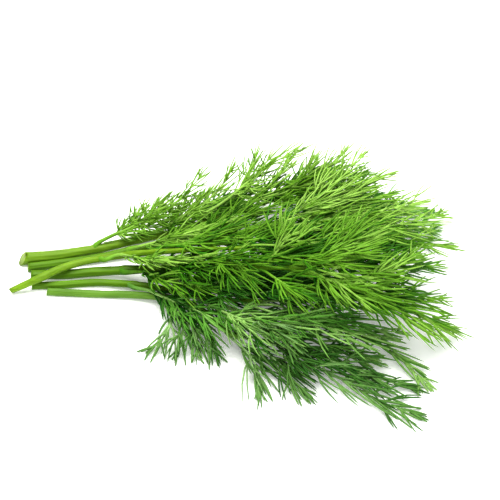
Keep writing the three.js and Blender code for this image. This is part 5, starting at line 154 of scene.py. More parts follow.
    "front_2": {"roll": -10, "line": [[-33.27, -14.77, 6.33, 0.83], [-30.39, -18.93, 6.88, 0.8], [-27.46, -23.06, 7.5, 0.73], [-24.72, -27.33, 7.9, 0.67], [-22.61, -31.94, 7.65, 0.6], [-21.44, -36.78, 6.6, 0.53], [-20.76, -41.6, 5.09, 0.46], [-20.05, -46.3, 3.27, 0.37], [-19.65, -50.74, 0.81, 0.26]],
        "branches": [[0.322, -40.6, 9.8, 11.6, 0.33, -0.13], [0.33, 42.1, -11.5, 11.1, 0.4, -0.14], [0.455, -27.7, 12.3, 17.6, 0.26, -0.07], [0.464, 28.7, -12.8, 15.7, 0.31, -0.14], [0.592, -32, -8.3, 14.7, 0.28, -0.1], [0.599, 28.9, -10, 14.4, 0.41, -0.15], [0.726, -31.5, -3.7, 13.6, 0.31, -0.07], [0.738, 32.3, 8.6, 13.1, 0.39, -0.08], [0.864, -28.1, -3.9, 11, 0.24, 0.06], [0.872, 34.4, 29.2, 11.3, 0.32, 0.2]]},
    "front_3": {"roll": 15, "line": [[-23.76, -20.88, 7.89, 0.8], [-21.73, -24.69, 8.12, 0.78], [-19.67, -28.48, 8.42, 0.72], [-17.65, -32.3, 8.59, 0.66], [-15.74, -36.17, 8.36, 0.59], [-14.18, -40.05, 7.28, 0.52], [-12.94, -43.79, 5.5, 0.45], [-11.49, -47.32, 3.47, 0.37], [-9.26, -49.87, 0.81, 0.26]],
        "branches": [[0.32, -42.2, 3.6, 13, 0.25, -0.09], [0.328, 31.5, 13.4, 11.1, 0.25, -0.01], [0.453, -30.3, -3.4, 14.8, 0.31, -0.14], [0.466, 28.5, -2.3, 18.3, 0.29, -0.03], [0.593, -29.4, 13.1, 15.6, 0.28, -0.07], [0.604, 31.1, -8.1, 14.4, 0.35, -0.14], [0.724, -21.7, 13.6, 11.6, 0.31, -0.02], [0.737, 22.3, 0.2, 12.1, 0.35, -0.14], [0.863, -35.1, 45.6, 12.1, 0.33, 0.33], [0.873, 23.2, 15.8, 12.1, 0.41, 0.2]]},
    "front_4": {"roll": -10, "line": [[-4.22, -41.18, 10.23, 0.67], [-0.57, -44.84, 9.64, 0.69], [3.09, -48.21, 8.92, 0.64], [6.55, -52.3, 8.32, 0.59], [9.7, -55.98, 6.34, 0.54], [11.61, -60.39, 4.36, 0.48], [12.46, -65.38, 3.06, 0.42], [12.97, -70.45, 1.92, 0.35], [13.51, -75.53, 0.76, 0.26]],
        "branches": [[0.266, -42.2, 6.2, 14.4, 0.41, -0.11], [0.273, 40.2, 9.4, 12.2, 0.25, -0.07], [0.41, -37.2, 11.4, 17.5, 0.3, -0.08], [0.42, 39.3, 14.2, 16.9, 0.37, -0.02], [0.557, -35.9, 12.3, 14.5, 0.23, -0.15], [0.568, 25.9, 10, 14.8, 0.4, 0.31], [0.706, -26.9, 13.5, 12.8, 0.38, -0.07], [0.714, 28.6, 26.4, 14.4, 0.24, -0.04], [0.849, -22.1, 5.2, 11.8, 0.41, 0.17], [0.858, 17.8, 8.1, 10.6, 0.25, 0.36]]},
    "front_5": {"roll": 10, "line": [[-0.14, -42.55, 10.52, 0.61], [4.04, -47.86, 11.18, 0.66], [9.87, -50.76, 10.77, 0.61], [15.7, -53.6, 9.45, 0.56], [21.24, -56.86, 7.61, 0.51], [25.61, -61.49, 5.77, 0.46], [28.99, -66.99, 4.04, 0.41], [33.43, -71.68, 2.37, 0.34], [38.21, -76.06, 0.76, 0.26]],
        "branches": [[0.291, -34.2, -7, 13, 0.41, -0.03], [0.304, 42.7, -10.3, 14.3, 0.37, -0.15], [0.43, -30.7, -1.1, 17.7, 0.27, -0.05], [0.442, 27.3, 3.1, 17, 0.32, -0.11], [0.575, -24.1, 5, 15.4, 0.39, 0], [0.587, 27.6, 1.9, 14.6, 0.38, -0.15], [0.713, -26.7, 14.4, 13.6, 0.27, 0.13], [0.723, 22.7, 20.9, 15.5, 0.24, -0.12], [0.858, -28.7, 24.6, 11.5, 0.32, -0.06], [0.865, 25.7, 7.8, 11.6, 0.29, -0.08]]},
    "front_6": {"roll": -10, "line": [[0.64, -41.85, 11.79, 0.61], [11.45, -49.89, 12.73, 0.66], [22.58, -56.67, 12.1, 0.61], [34.92, -61.88, 10.94, 0.56], [47.64, -66.16, 9.2, 0.51], [59.38, -72.41, 6.87, 0.46], [70.79, -79.2, 4.39, 0.41], [83.03, -84.66, 2.53, 0.34], [95.85, -88.61, 0.96, 0.26]],
        "branches": [[0.279, -35.3, -7.7, 15.7, 0.4, -0.14], [0.289, 37.2, 10, 15.5, 0.35, 0], [0.384, -37, 2.5, 18.2, 0.27, -0.02], [0.39, 38.7, 9.2, 18.8, 0.3, -0.05], [0.483, -33.2, -11.1, 21.2, 0.31, -0.11], [0.489, 26.5, -12.7, 21.5, 0.3, -0.12], [0.584, -23.6, 3.8, 20.9, 0.36, -0.01], [0.595, 28.3, 12, 19.1, 0.31, -0.08], [0.681, -22.3, 7.4, 16.6, 0.33, -0.05], [0.694, 30, -0.7, 17.2, 0.28, 0], [0.786, -25, -5.6, 16.8, 0.39, -0.13], [0.793, 29.2, 18.3, 16, 0.29, -0.07], [0.884, -27.4, -6, 14.9, 0.26, -0.07], [0.897, 18.2, 10, 13.4, 0.41, -0.05]]},
    "front_7": {"roll": 10, "line": [[-2.37, -39, 12.76, 0.67], [6.35, -46.62, 15.42, 0.69], [18.62, -51.74, 14.85, 0.64], [31.37, -55.54, 13.72, 0.59], [44.26, -58.51, 11.8, 0.54], [56.95, -61.97, 9.4, 0.48], [69.53, -65.64, 6.74, 0.42], [82.07, -69.41, 4.06, 0.35], [95, -70.42, 1, 0.26]],
        "branches": [[0.28, -39, 9.5, 16.2, 0.39, -0.08], [0.29, 35.7, 6.6, 14.4, 0.31, -0.05], [0.38, -37.3, 7, 18.8, 0.28, -0.04], [0.389, 31, 4.4, 19.4, 0.26, -0.15], [0.48, -26.3, 2.1, 20.4, 0.3, -0.1], [0.492, 37, -2.3, 24.3, 0.38, -0.03], [0.582, -27.6, 12, 19.9, 0.36, -0.13], [0.592, 31.4, 12, 19.3, 0.34, -0.08], [0.683, -29.6, -12, 18.3, 0.26, -0.13], [0.693, 21.1, -1.1, 16.5, 0.23, -0.09], [0.782, -29.4, 14, 17.2, 0.27, -0.09], [0.793, 19.6, 10.5, 15.4, 0.26, -0.1], [0.884, -22.3, 15.3, 16.4, 0.36, 0.19], [0.893, 28.5, -2.8, 14, 0.36, -0.05]]},
    "front_8": {"roll": -25, "line": [[-12.74, -26.51, 12.74, 0.81], [-6.61, -30.37, 15.29, 0.78], [-0.5, -34.24, 17.81, 0.72], [5.66, -38.17, 20.16, 0.66], [11.89, -41.98, 22.5, 0.59], [18.04, -46.19, 24.27, 0.52], [23.24, -51.73, 24, 0.45], [27.34, -57.72, 21.59, 0.37], [30.7, -60.69, 15.61, 0.26]],
        "branches": [[0.338, -35.4, -17, 13.4, 0.38, -0.1], [0.347, 35.1, -0.8, 11.6, 0.23, -0.04], [0.469, -29.8, 18.6, 17.8, 0.23, -0.01], [0.48, 33.5, 6.2, 16.7, 0.33, -0.06], [0.601, -27.8, -17.4, 15.1, 0.4, -0.11], [0.61, 25.3, -7.6, 15.7, 0.28, -0.08], [0.733, -20.9, 13.5, 12.6, 0.34, -0.04], [0.742, 22.2, -9.6, 13.2, 0.36, -0.03], [0.865, -16.5, -3.8, 11.9, 0.27, -0.09], [0.876, 17.1, 0.5, 10.4, 0.24, -0.12]]},
    "back_1": {"roll": 0, "line": [[-44.08, 42.64, 5.61, 0.93], [-36.51, 45.15, 7.74, 0.86], [-28.93, 47.63, 9.88, 0.79], [-21.38, 50.45, 11.65, 0.72], [-14, 54, 12.57, 0.64], [-6.82, 58.07, 12.77, 0.57], [0.4, 62.08, 12.7, 0.48], [7.62, 66.05, 12.27, 0.39], [14.84, 70.03, 11.76, 0.26]],
        "branches": [[0.291, -30.7, 5, 13.8, 0.39, -0.14], [0.303, 40.7, 9, 13.4, 0.41, -0.06], [0.432, -30.4, 12, 20.4, 0.42, -0.15], [0.444, 29, -6.3, 17.5, 0.33, -0.15], [0.577, -27.3, 4.4, 18.7, 0.26, -0.12], [0.584, 26.4, -0.1, 18.1, 0.22, -0.13], [0.717, -31.6, -1.4, 15.2, 0.32, -0.06], [0.726, 19.9, -14, 14.4, 0.24, -0.03], [0.857, -24.1, 1.1, 13.4, 0.23, -0.13], [0.869, 18.6, 13.6, 12.8, 0.36, -0.14]]},
    "back_2": {"roll": 10, "line": [[3.79, 56.48, 9.18, 0.69], [12.78, 60.09, 10.34, 0.7], [21.79, 63.67, 11.56, 0.65], [30.78, 67.36, 12.53, 0.6], [39.69, 71.32, 12.9, 0.54], [48.48, 75.56, 12.64, 0.49], [57.19, 79.9, 11.83, 0.42], [65.78, 84.2, 10.13, 0.35], [74.22, 88.51, 7.76, 0.26]],
        "branches": [[0.236, -33.9, -13.8, 14.4, 0.32, -0.13], [0.246, 40.9, -13.9, 16.7, 0.3, -0.11], [0.36, -31.2, -12.8, 19.8, 0.26, -0.1], [0.373, 40, 3, 22.5, 0.25, -0.01], [0.489, -32.9, -13.4, 19, 0.28, -0.15], [0.497, 31.1, -11.2, 19.2, 0.41, -0.1], [0.613, -32.4, 12, 18.5, 0.23, -0.02], [0.624, 22.4, 4.2, 18.4, 0.28, -0.05], [0.738, -31.3, 1.7, 16.5, 0.27, -0.12], [0.746, 24.2, -13.2, 14.4, 0.24, -0.12], [0.865, -24.3, 13.1, 15.6, 0.38, -0.07], [0.877, 20.8, -7.6, 14.6, 0.29, -0.15]]},
    "back_3": {"roll": -10, "line": [[25.15, 59.83, 12.67, 0.58], [35.66, 60.87, 13.87, 0.63], [46.46, 60.27, 14.15, 0.59], [57.28, 59.62, 14.05, 0.54], [68.06, 59.16, 13.06, 0.5], [78.73, 58.85, 11.14, 0.45], [89.31, 58.83, 8.76, 0.4], [99.75, 59.48, 5.92, 0.34], [110.07, 60.47, 2.76, 0.26]],
        "branches": [[0.156, -31.7, 1.1, 16.9, 0.34, -0.15], [0.167, 34, 4.9, 18.5, 0.23, -0.15], [0.275, -31.1, -3.4, 23, 0.39, -0.09], [0.286, 36.5, 10.9, 23.8, 0.23, -0.12], [0.389, -27.5, -8.5, 25.8, 0.31, -0.09], [0.401, 30.9, 3.1, 22.2, 0.34, -0.14], [0.508, -35.2, -5, 23.5, 0.36, -0.12], [0.52, 32.1, -5.6, 22.3, 0.42, -0.03], [0.627, -26.8, -2.9, 20.8, 0.32, -0.01], [0.639, 23.6, 10, 21.1, 0.27, -0.04], [0.746, -19.2, 13.7, 16.2, 0.4, -0.02], [0.756, 18.8, 13.4, 18.1, 0.39, -0.07], [0.864, -21.9, -14.3, 18.4, 0.26, -0.04], [0.875, 22.3, 3.6, 14.6, 0.24, -0.09]]},
    "back_4": {"roll": 10, "line": [[5.07, 52.52, 9.81, 0.69], [18.44, 51.85, 11.26, 0.7], [31.99, 50.61, 11.8, 0.65], [45.54, 49.26, 11.49, 0.6], [59.03, 47.73, 10.41, 0.54], [72.51, 46.51, 8.91, 0.49], [85.99, 45.91, 7.05, 0.42], [99.45, 45.64, 4.9, 0.35], [112.9, 45.37, 2.76, 0.26]],
        "branches": [[0.281, -36.3, 7.7, 19.4, 0.33, -0.12], [0.292, 41, 9.6, 16.2, 0.27, -0.03], [0.383, -34.6, -13.5, 22.6, 0.32, -0.14], [0.392, 31.3, -15, 23, 0.38, -0.11], [0.482, -31.5, 10.9, 22.6, 0.36, -0.15], [0.491, 25.8, 4.6, 26.3, 0.26, -0.12], [0.583, -25.1, -4.3, 23.8, 0.4, -0.08], [0.594, 28.7, 3.2, 24.1, 0.23, -0.12], [0.684, -23.6, 13.2, 17.9, 0.38, -0.09], [0.696, 29.2, 11.4, 21.8, 0.23, -0.1], [0.786, -28.1, 7.1, 19.1, 0.29, -0.07], [0.791, 26.6, 12.5, 19.8, 0.28, -0.03], [0.884, -20.7, -5.6, 15.8, 0.25, -0.01], [0.897, 17.8, -12.3, 16.2, 0.28, -0.12]]},
    "back_5": {"roll": -10, "line": [[-21.93, 42.88, 6.31, 0.88], [-10.96, 41.1, 7.42, 0.83], [0.01, 39.29, 8.44, 0.76], [10.96, 37.15, 8.96, 0.69], [21.84, 34.65, 9.16, 0.62], [32.77, 32.37, 8.93, 0.55], [43.79, 30.85, 7.99, 0.47], [54.81, 29.91, 6.4, 0.38], [65.82, 29.03, 4.76, 0.26]],
        "branches": [[0.284, -39.2, -5.6, 15.6, 0.28, -0.02], [0.295, 42.9, 4.8, 15.1, 0.39, -0.15], [0.401, -27.5, 10.9, 21.8, 0.36, -0.13], [0.412, 38.5, 6.4, 22.3, 0.33, -0.08], [0.52, -31.7, -4.2, 19.9, 0.28, -0.02], [0.531, 33.1, -8.2, 20.4, 0.4, -0.13], [0.636, -34.6, 7.8, 18.9, 0.31, -0.07], [0.65, 30.2, -12.6, 21, 0.33, -0.03], [0.758, -24.7, 11.4, 17.7, 0.33, -0.07], [0.765, 30, 4.2, 16.4, 0.32, -0.03], [0.872, -21.1, -4.2, 15.7, 0.41, -0.14], [0.884, 26, 1.3, 16.2, 0.26, -0.03]]},
    "crossing_7": {"roll": 15, "line": [[-20.94, 1.6, 28.9, 0.77], [-16.18, -1.02, 30.64, 0.76], [-12.24, -4.04, 31.84, 0.7], [-8.42, -8.06, 33.8, 0.64], [-4.45, -13.05, 36.24, 0.58], [-0.24, -16.88, 36.92, 0.51], [4.04, -20.76, 37.1, 0.44], [8.14, -24.77, 36.26, 0.37], [11.87, -28.67, 34.08, 0.26]],
        "branches": [[0.246, -36.9, 5.8, 15.9, 0.34, -0.13], [0.258, 30.2, 12.7, 15.1, 0.24, -0.12], [0.398, -29.3, 0.2, 21.1, 0.32, -0.15], [0.406, 33.9, 7, 18.7, 0.3, -0.1], [0.544, -28.1, -2.1, 16, 0.37, -0.13], [0.558, 35.2, 4.6, 20.1, 0.22, -0.01], [0.697, -27.9, -2.5, 17.4, 0.27, -0.15], [0.704, 23.4, -0.8, 16.3, 0.3, -0.04], [0.849, -17.1, -8.6, 14.4, 0.23, -0.05], [0.858, 28.3, 6.1, 13.5, 0.38, -0.14]]},
    "lower_9": {"roll": -10, "line": [[-24.82, -10.18, 10.4, 0.87], [-15.82, -7.91, 10.74, 0.82], [-6.8, -5.71, 11.05, 0.76], [2.3, -3.86, 11.12, 0.69], [11.44, -2.2, 11.03, 0.62], [20.67, -1.26, 10.69, 0.55], [29.92, -1.5, 9.99, 0.47], [39.11, -2.51, 9.06, 0.38], [48.29, -3.54, 8.11, 0.26]],
        "branches": [[0.219, -41, 9.4, 16.9, 0.34, -0.06], [0.227, 35.3, 14, 17.4, 0.31, -0.09], [0.345, -31.4, 12.4, 24.4, 0.24, -0.1], [0.354, 38.7, -1.2, 21.8, 0.27, -0.11], [0.474, -35.8, -10.2, 22.9, 0.37, -0.02], [0.486, 32.5, -8.8, 23.7, 0.22, -0.02], [0.602, -22.1, -0.9, 20.7, 0.35, -0.15], [0.615, 24.6, 0.6, 18.8, 0.27, -0.1], [0.734, -23.4, -15.2, 17.2, 0.35, -0.06], [0.742, 31.1, 0.2, 15.1, 0.35, -0.13], [0.859, -22, 1.3, 16.5, 0.27, -0.01], [0.869, 24.4, 5.1, 15.5, 0.33, -0.03]]},
    "lower_10": {"roll": 10, "line": [[-13.43, -17.79, 11.95, 0.76], [-5.12, -20.31, 10.09, 0.75], [3.32, -22.55, 8.53, 0.7], [12.12, -23.1, 7.64, 0.64], [20.97, -22.7, 7.19, 0.58], [29.82, -22.99, 6.65, 0.51], [38.53, -24.5, 5.86, 0.44], [47.14, -26.48, 5.01, 0.36], [55.75, -28.45, 4.16, 0.26]],
        "branches": [[0.225, -39.3, -0.8, 14.8, 0.28, -0.14], [0.236, 38.3, -11.9, 14.8, 0.3, -0.05], [0.381, -36.3, 1.4, 23, 0.31, -0.1], [0.388, 34, -11.2, 18.8, 0.24, -0.01], [0.537, -31, -4, 20.7, 0.28, -0.02], [0.547, 27.7, -1.4, 19.9, 0.33, 0], [0.688, -24.4, -12.6, 15.6, 0.37, -0.07], [0.697, 22.4, 5.3, 17.1, 0.28, -0.04], [0.842, -27.4, -0.7, 14.2, 0.26, -0.16], [0.855, 24.1, 8.2, 13.4, 0.33, -0.14]]},
}
AIM = (7.7193, 12.8894, 19.7568)  # the point of the bunch that is in the middle of the photo

# ---- camera: 45 degrees above the surface, square to the bunch ------------------
ELEVATION = math.radians(45.0)
DISTANCE = 900.0
MM_PER_PIXEL = 0.55  # at the middle of the bunch, in a frame 500 pixels wide
SENSOR = 36.0
aim = np.array(AIM)
eye = aim + DISTANCE * np.array([0.0, -math.cos(ELEVATION), math.sin(ELEVATION)])
cam = bpy.data.cameras.new("camera")
cam.sensor_width = SENSOR
cam.lens = SENSOR * (DISTANCE / MM_PER_PIXEL) / 500.0
cam.clip_start, cam.clip_end = 0.05, 20.0
camera = bpy.data.objects.new("camera", cam)
bpy.context.scene.collection.objects.link(camera)
camera.location = eye * MM
camera.rotation_euler = (math.pi / 2 - ELEVATION, 0.0, 0.0)
bpy.context.scene.camera = camera


# ---- small vector helpers -------------------------------------------------------
UP = np.array([0.0, 0.0, 1.0])


def unit(v):
    return v / np.maximum(np.linalg.norm(v, axis=-1, keepdims=True), 1e-9)


def spline(points, n):
    """n points, evenly spread over the parameter, on a smooth curve through points (any number of columns)."""
    P = np.asarray(points, float)
    ext = np.vstack([2 * P[0] - P[1], P, 2 * P[-1] - P[-2]])
    x = np.linspace(0, len(P) - 1, n)
    i = np.minimum(x.astype(int), len(P) - 2)
    t = (x - i)[:, None]
    p0, p1, p2, p3 = ext[i], ext[i + 1], ext[i + 2], ext[i + 3]
    return 0.5 * (2 * p1 + (p2 - p0) * t + (2 * p0 - 5 * p1 + 4 * p2 - p3) * t**2 + (3 * p1 - p0 - 3 * p2 + p3) * t**3)


def at(curve, t):
    """Points and directions at shares t of an evenly parametrised curve."""
    x = np.clip(t, 0, 1) * (len(curve) - 1)
    i = np.minimum(x.astype(int), len(curve) - 2)
    f = (x - i)[:, None]
    return curve[i] * (1 - f) + curve[i + 1] * f, unit(curve[i + 1, :3] - curve[i, :3])


# ---- meshes made of many closed tubes ---------------------------------------------
class Tubes:
    """Gathers tubes, then writes them as one mesh. tone is how bright a point's green is and reach is how far out on
    the plant it lies, from 0 on a stalk to 1 at a thread's tip; the materials read both."""

    def __init__(self):
        self.v, self.quads, self.tris, self.tone, self.reach, self.parts, self.n = [], [], [], [], [], [], 0

    def _take(self, v, quads, tris, tone, reach, part):
        self.v.append(v)
        self.quads.append(quads + self.n)
        self.tris.append(tris + self.n)
        self.tone.append(np.broadcast_to(tone, len(v)))
        self.reach.append(np.broadcast_to(reach, len(v)))
        self.parts.append((len(quads), len(tris), part))
        self.n += len(v)

    def threads(self, B, D, K, L, R, tone, low, high, sides=5, shares=(0.0, 0.3, 0.64, 0.88), widths=(0.9, 1.02, 0.84, 0.48)):
        """Pointed tubes along B + L (s D + s^2 K / 2): one to each row."""
        if not len(B):
            return
        s = np.array(shares)[None, :, None]
        b = np.cross(D, K)
        flat = np.linalg.norm(b, axis=1) < 1e-3
        b[flat] = np.cross(D[flat], UP + 0.01)
        b = unit(b)
        T = unit(D[:, None] + s * K[:, None])
        nrm = unit(np.cross(T, b[:, None]))
        P = B[:, None] + L[:, None, None] * (s * D[:, None] + 0.5 * s * s * K[:, None])
        tip = B + L[:, None] * (D + 0.5 * K)
        a = (np.arange(sides) + 0.5) / sides * 2 * np.pi
        r = R[:, None, None, None] * np.array(widths)[None, :, None, None]
        ring = P[:, :, None] + r * (np.cos(a)[None, None, :, None] * nrm[:, :, None] + np.sin(a)[None, None, :, None] * b[:, None, None])
        m = len(shares)
        N = len(B)
        v = np.concatenate([ring.reshape(N, m * sides, 3), tip[:, None]], 1)
        v[..., 2] = np.maximum(v[..., 2], 0.06)
        k = np.arange(sides)
        nxt = (k + 1) % sides
        q = np.concatenate([np.stack([i * sides + k, i * sides + nxt, (i + 1) * sides + nxt, (i + 1) * sides + k], 1) for i in range(m - 1)])
        t = np.stack([(m - 1) * sides + k, (m - 1) * sides + nxt, np.full(sides, m * sides)], 1)
        cap = np.array([[0, j + 1, j] for j in range(1, sides - 1)])
        off = (np.arange(N) * (m * sides + 1))[:, None, None]
        quads = (q[None] + off).reshape(-1, 4)
        tris = (np.concatenate([t, cap])[None] + off).reshape(-1, 3)
        along = np.r_[np.repeat(np.array(shares), sides), 1.0]
        reach = (low[:, None] + (high - low)[:, None] * along[None]).ravel()
        self._take(v.reshape(-1, 3), quads, tris, np.repeat(tone, m * sides + 1), reach, 0)

    def tube(self, path, radius, sides, tone, reach, ends=(0, 0), flatten=None, shape=None, start_shift=None, lift=0.06):
        """One tube along path. flatten is (a direction, the share of the radius kept in it at each point), shape scales the radius round the tube, start_shift moves the first ring along the path and ends are the materials of the tube and its first end."""
        m = len(path)
        T = unit(np.gradient(path, axis=0))
        side = unit(np.cross(T, UP))
        over = np.cross(side, T)
        a = (np.arange(sides) + 0.5) / sides * 2 * np.pi
        r = radius[:, None] * (np.ones(sides)[None] if shape is None else shape(a, np.arange(m)))
        off = r[:, :, None] * (np.cos(a)[None, :, None] * -over[:, None] + np.sin(a)[None, :, None] * side[:, None])
        if flatten is not None:
            d, w = flatten
            off = off + (off @ d)[:, :, None] * d * (w[:, None, None] - 1)
        ring = path[:, None] + off
        if start_shift is not None:
            ring[0] += T[0] * start_shift(a)[:, None]
        v = ring.reshape(-1, 3)
        k = np.arange(sides)
        nxt = (k + 1) % sides
        quads = np.concatenate([np.stack([i * sides + k, i * sides + nxt, (i + 1) * sides + nxt, (i + 1) * sides + k], 1) for i in range(m - 1)])[:, ::-1]
        v[:, 2] = np.maximum(v[:, 2], lift)
        reach_v = np.repeat(np.broadcast_to(reach, m), sides)
        tone_v = np.repeat(np.broadcast_to(tone, m), sides)
        self._take(v, quads, np.zeros((0, 3), int), tone_v, reach_v, ends[0])
        first = self.n - len(v)
        for row, mid, end in ((0, ring[0].mean(0), 0), (m - 1, path[-1] + T[-1] * radius[-1] * 0.6, 1)):
            mid = np.array([[mid[0], mid[1], max(mid[2], lift)]])
            rim, rim2 = first + row * sides + k, first + row * sides + nxt
            fan = np.stack([rim, rim2, np.full(sides, self.n)], 1)
            if end:
                fan = fan[:, ::-1]
            self._take(mid, np.zeros((0, 4), int), fan - self.n, tone_v[-end:][:1], reach_v[-end:][:1], 0 if end else ends[1])

    def object(self, name, materials):
        v = np.concatenate(self.v) * MM
        quads = [q for q in self.quads]
        tris = [t for t in self.tris]
        loops, totals, mats = [], [], []
        for q, t, (nq, nt, part) in zip(quads, tris, self.parts):
            if len(q):
                loops.append(q.ravel()); totals.append(np.full(len(q), 4)); mats.append(np.full(len(q), part))
            if len(t):
                loops.append(t.ravel()); totals.append(np.full(len(t), 3)); mats.append(np.full(len(t), part))
        loops, totals, mats = np.concatenate(loops), np.concatenate(totals), np.concatenate(mats)
        me = bpy.data.meshes.new(name)
        me.vertices.add(len(v))
        me.vertices.foreach_set("co", v.astype(np.float32).ravel())
        me.loops.add(len(loops))
        me.loops.foreach_set("vertex_index", loops.astype(np.int32))
        me.polygons.add(len(totals))
        me.polygons.foreach_set("loop_start", np.r_[0, np.cumsum(totals)[:-1]].astype(np.int32))
        me.polygons.foreach_set("loop_total", totals.astype(np.int32))
        me.polygons.foreach_set("material_index", mats.astype(np.int32))
        me.polygons.foreach_set("use_smooth", np.ones(len(totals), bool))
        me.update(calc_edges=True)
        tone, reach = np.concatenate(self.tone), np.concatenate(self.reach)
        for key, val in (("tone", tone), ("reach", reach)):
            me.attributes.new(key, "FLOAT", "POINT").data.foreach_set("value", np.clip(val, 0, 1).astype(np.float32))
        # the same two shares as a map, so that a baked colour map is a clean gradient
        uv = me.uv_layers.new(name="OFBake", do_init=False)
        pair = np.stack([np.clip(tone, 0.002, 0.998), np.clip(reach, 0.002, 0.998)], 1)[loops]
        uv.uv.foreach_set("vector", pair.astype(np.float32).ravel())
        for m in materials:
            me.materials.append(m)
        me.validate(clean_customdata=False)
        ob = bpy.data.objects.new(name, me)
        bpy.context.scene.collection.objects.link(ob)
        return ob

# ---- materials ----------------------------------------------------------------------
BRANCH_GAP = 5.0  # mm between a rachis's branches on each side
SHOOT_GAP = 4.8  # mm from one shoot on a branch to the next
REACH = 1.04  # a branch's threads reach this much further than its solid
THREAD_R = 0.38
OPEN = 24.0  # how much the gap between branches opens towards a leaf's tip
TIP_OVER = 3.6  # mm that threads may reach past the end of their rachis
HANG = {n: {"mid": 10.0, "cro": 5.0}.get(n[:3], 6.0) for n in ("middle_8", "lower_6", "second_6", "lower_9", "crossing_1", "crossing_2", "crossing_3", "crossing_4", "crossing_6", "second_1", "second_3", "second_5", "middle_1", "middle_2", "middle_5", "middle_6", "middle_7", "middle_9", "middle_4", "lower_2", "lower_3", "lower_8", "front_3", "front_4", "front_5", "front_8", "front_7", "thick_4", "thick_5", "thick_6", "thick_7", "second_2", "back_4", "back_2")}
HANG.update(thick_6=4.0, thick_7=4.0, second_5=4.0, second_1=4.0, lower_9=4.0, lower_6=4.0)
WIDE = {"lower_3": 1.2, "lower_6": 1.3, "crossing_6": 1.15, "second_6": 1.1, "lower_8": 1.15, "thick_1": 0.92, "front_1": 0.8, "front_2": 0.8, "front_3": 0.8, "front_4": 1.0, "front_5": 1.05, "front_6": 1.1, "lower_1": 0.7, "lower_5": 0.8, "back_4": 1.35, "back_2": 1.2, "front_8": 1.2, "thick_2": 0.95, "thick_3": 0.95, "lower_9": 1.6, "lower_10": 1.3, "middle_3": 1.1, "middle_4": 1.1, "lower_2": 1.25, "crossing_7": 1.15, "back_5": 1.2, "middle_8": 1.15, "middle_5": 1.1, "crossing_1": 1.15}
FEW = {"lower": 1.4, "front": 1.4, "middle": 1.15}  # how far apart a stem's leaves carry their threads
TIP_WIDTH = {"thick": -0.1, "second": -0.2, "crossing": -0.28, "middle": -0.3, "lower": 0.05, "front": 0.15, "back": -0.1}  # and how much thicker they are at its end
TIP_DARK = {"thick": 0.06, "second": 0.05, "crossing": 0.02, "middle": 0.0, "lower": 0.14, "front": 0.27, "back": 0.04}  # how much darker they are there
CUT = {"front_1": 2.0, "front_2": 2.5, "front_3": 2.0, "front_9": 2.0, "front_4": 0.0, "front_5": 0.5, "lower_1": 7.0, "lower_4": 2.0, "lower_5": 4.0, "front_7": 2.0, "thick_5": 2.0, "crossing_3": 2.0}  # mm less reach past the end of a leaf
FLUFF = {"thick_1": 1.0, "thick_2": 1.0, "thick_3": 1.0, "thick_4": 0.7, "thick_5": 0.4, "thick_6": 0.4, "thick_7": 0.4, "back_1": 1.0, "back_2": 0.8, "back_3": 0.7, "back_4": 0.6, "crossing_2": 0.35, "crossing_6": 0.5, "crossing_7": 0.4, "crossing_5": 0.5, "second_5": 0.4, "second_3": 0.3, "second_6": 0.5, "crossing_1": 0.4}
THIN = {"front_1": 1.8, "front_2": 1.8, "front_3": 1.6, "front_9": 1.8, "front_4": 1.4, "front_5": 1.3, "second": 0.3, "crossing": 0.3, "middle": 0.35, "lower_1": 1.5, "lower_4": 1.4, "lower_5": 1.3, "lower": 1.0, "front": 1.0, "middle_4": 0.6, "middle_9": 0.6, "middle_3": 0.4, "middle_7": 0.4, "lower_2": 0.5, "lower_3": 0.6, "lower_6": 0.2, "lower_9": 0.2, "lower_8": 0.3}  # how open the outer part of a leaf is
DENSE = {"thick_1": 0.72, "thick_2": 0.72, "thick_3": 0.8, "thick_4": 0.85}
SPARSE = {"front_1", "front_2", "front_3", "front_4", "front_5", "front_9"}
COVER = 6.5  # how much foliage above counts as deep, for the painted shade
# how far painted shade darkens a leaf's colour deep under other leaves
SHADE = 0.7
LIT = {"back": 0.5, "front": 0.6, "lower": 0.85}  # leaves that the painted depth shade darkens less
COUNT = {}
STEM_TONE = {"thick": 0.48, "second": 0.4, "crossing": 0.57, "middle": 0.4, "lower": 0.45, "front": 0.38, "back": 0.36}
# leaf tones per stem and per leaf: partly the leaves' own greens, partly painted light that brightens the lower and
# front leaves lying in the shade of those above
LEAF_TONE = {"thick": 0.87, "second": 0.9, "crossing": 0.79, "middle": 0.75, "lower": 1.0, "front": 0.9, "back": 0.8}
LEAF_TUNE = {"crossing_7": -0.42, "crossing_1": -0.26, "second_5": -0.32, "second_3": -0.2, "middle_6": -0.12, "second_6": -0.05, "middle_8": -0.12, "middle_5": -0.08, "lower_6": -0.15, "lower_9": -0.2, "lower_2": -0.1, "crossing_2": -0.25, "back_5": -0.2, "crossing_6": -0.28, "lower_10": 0.05, "front_9": -0.16, "front_1": -0.12, "front_2": -0.08, "front_3": -0.08, "front_4": -0.04, "thick_6": 0.06, "thick_7": 0.06, "second_2": 0.05, "front_6": -0.2, "front_7": -0.18, "thick_1": -0.22, "thick_2": -0.14, "thick_3": -0.14, "thick_4": -0.05, "crossing_3": -0.04, "lower_1": 0.2, "lower_4": 0.18, "lower_5": 0.12, "lower_8": -0.12, "front_8": -0.1, "lower_3": 0.06, "lower_7": 0.18}
FULL = {"thick_1", "thick_2", "crossing_1", "crossing_5", "crossing_6", "crossing_7", "second_5", "second_6", "middle_5", "middle_8", "lower_2", "lower_3", "lower_6", "lower_8", "lower_9", "front_7", "front_8", "back_1", "back_4", "back_5"}  # leaves of the dense middle
BOLD = {"middle": 1.42, "crossing": 1.3, "second": 1.12, "lower": 1.45, "front": 1.35, "back": 1.2}  # how thick a stem's leaf threads are


def lin(r, g, b):
    """An sRGB colour out of 255 as linear values with alpha."""
    return tuple((c / 255 / 12.92 if c <= 10.3 else ((c / 255 + 0.055) / 1.055) ** 2.4) for c in (r, g, b)) + (1.0,)


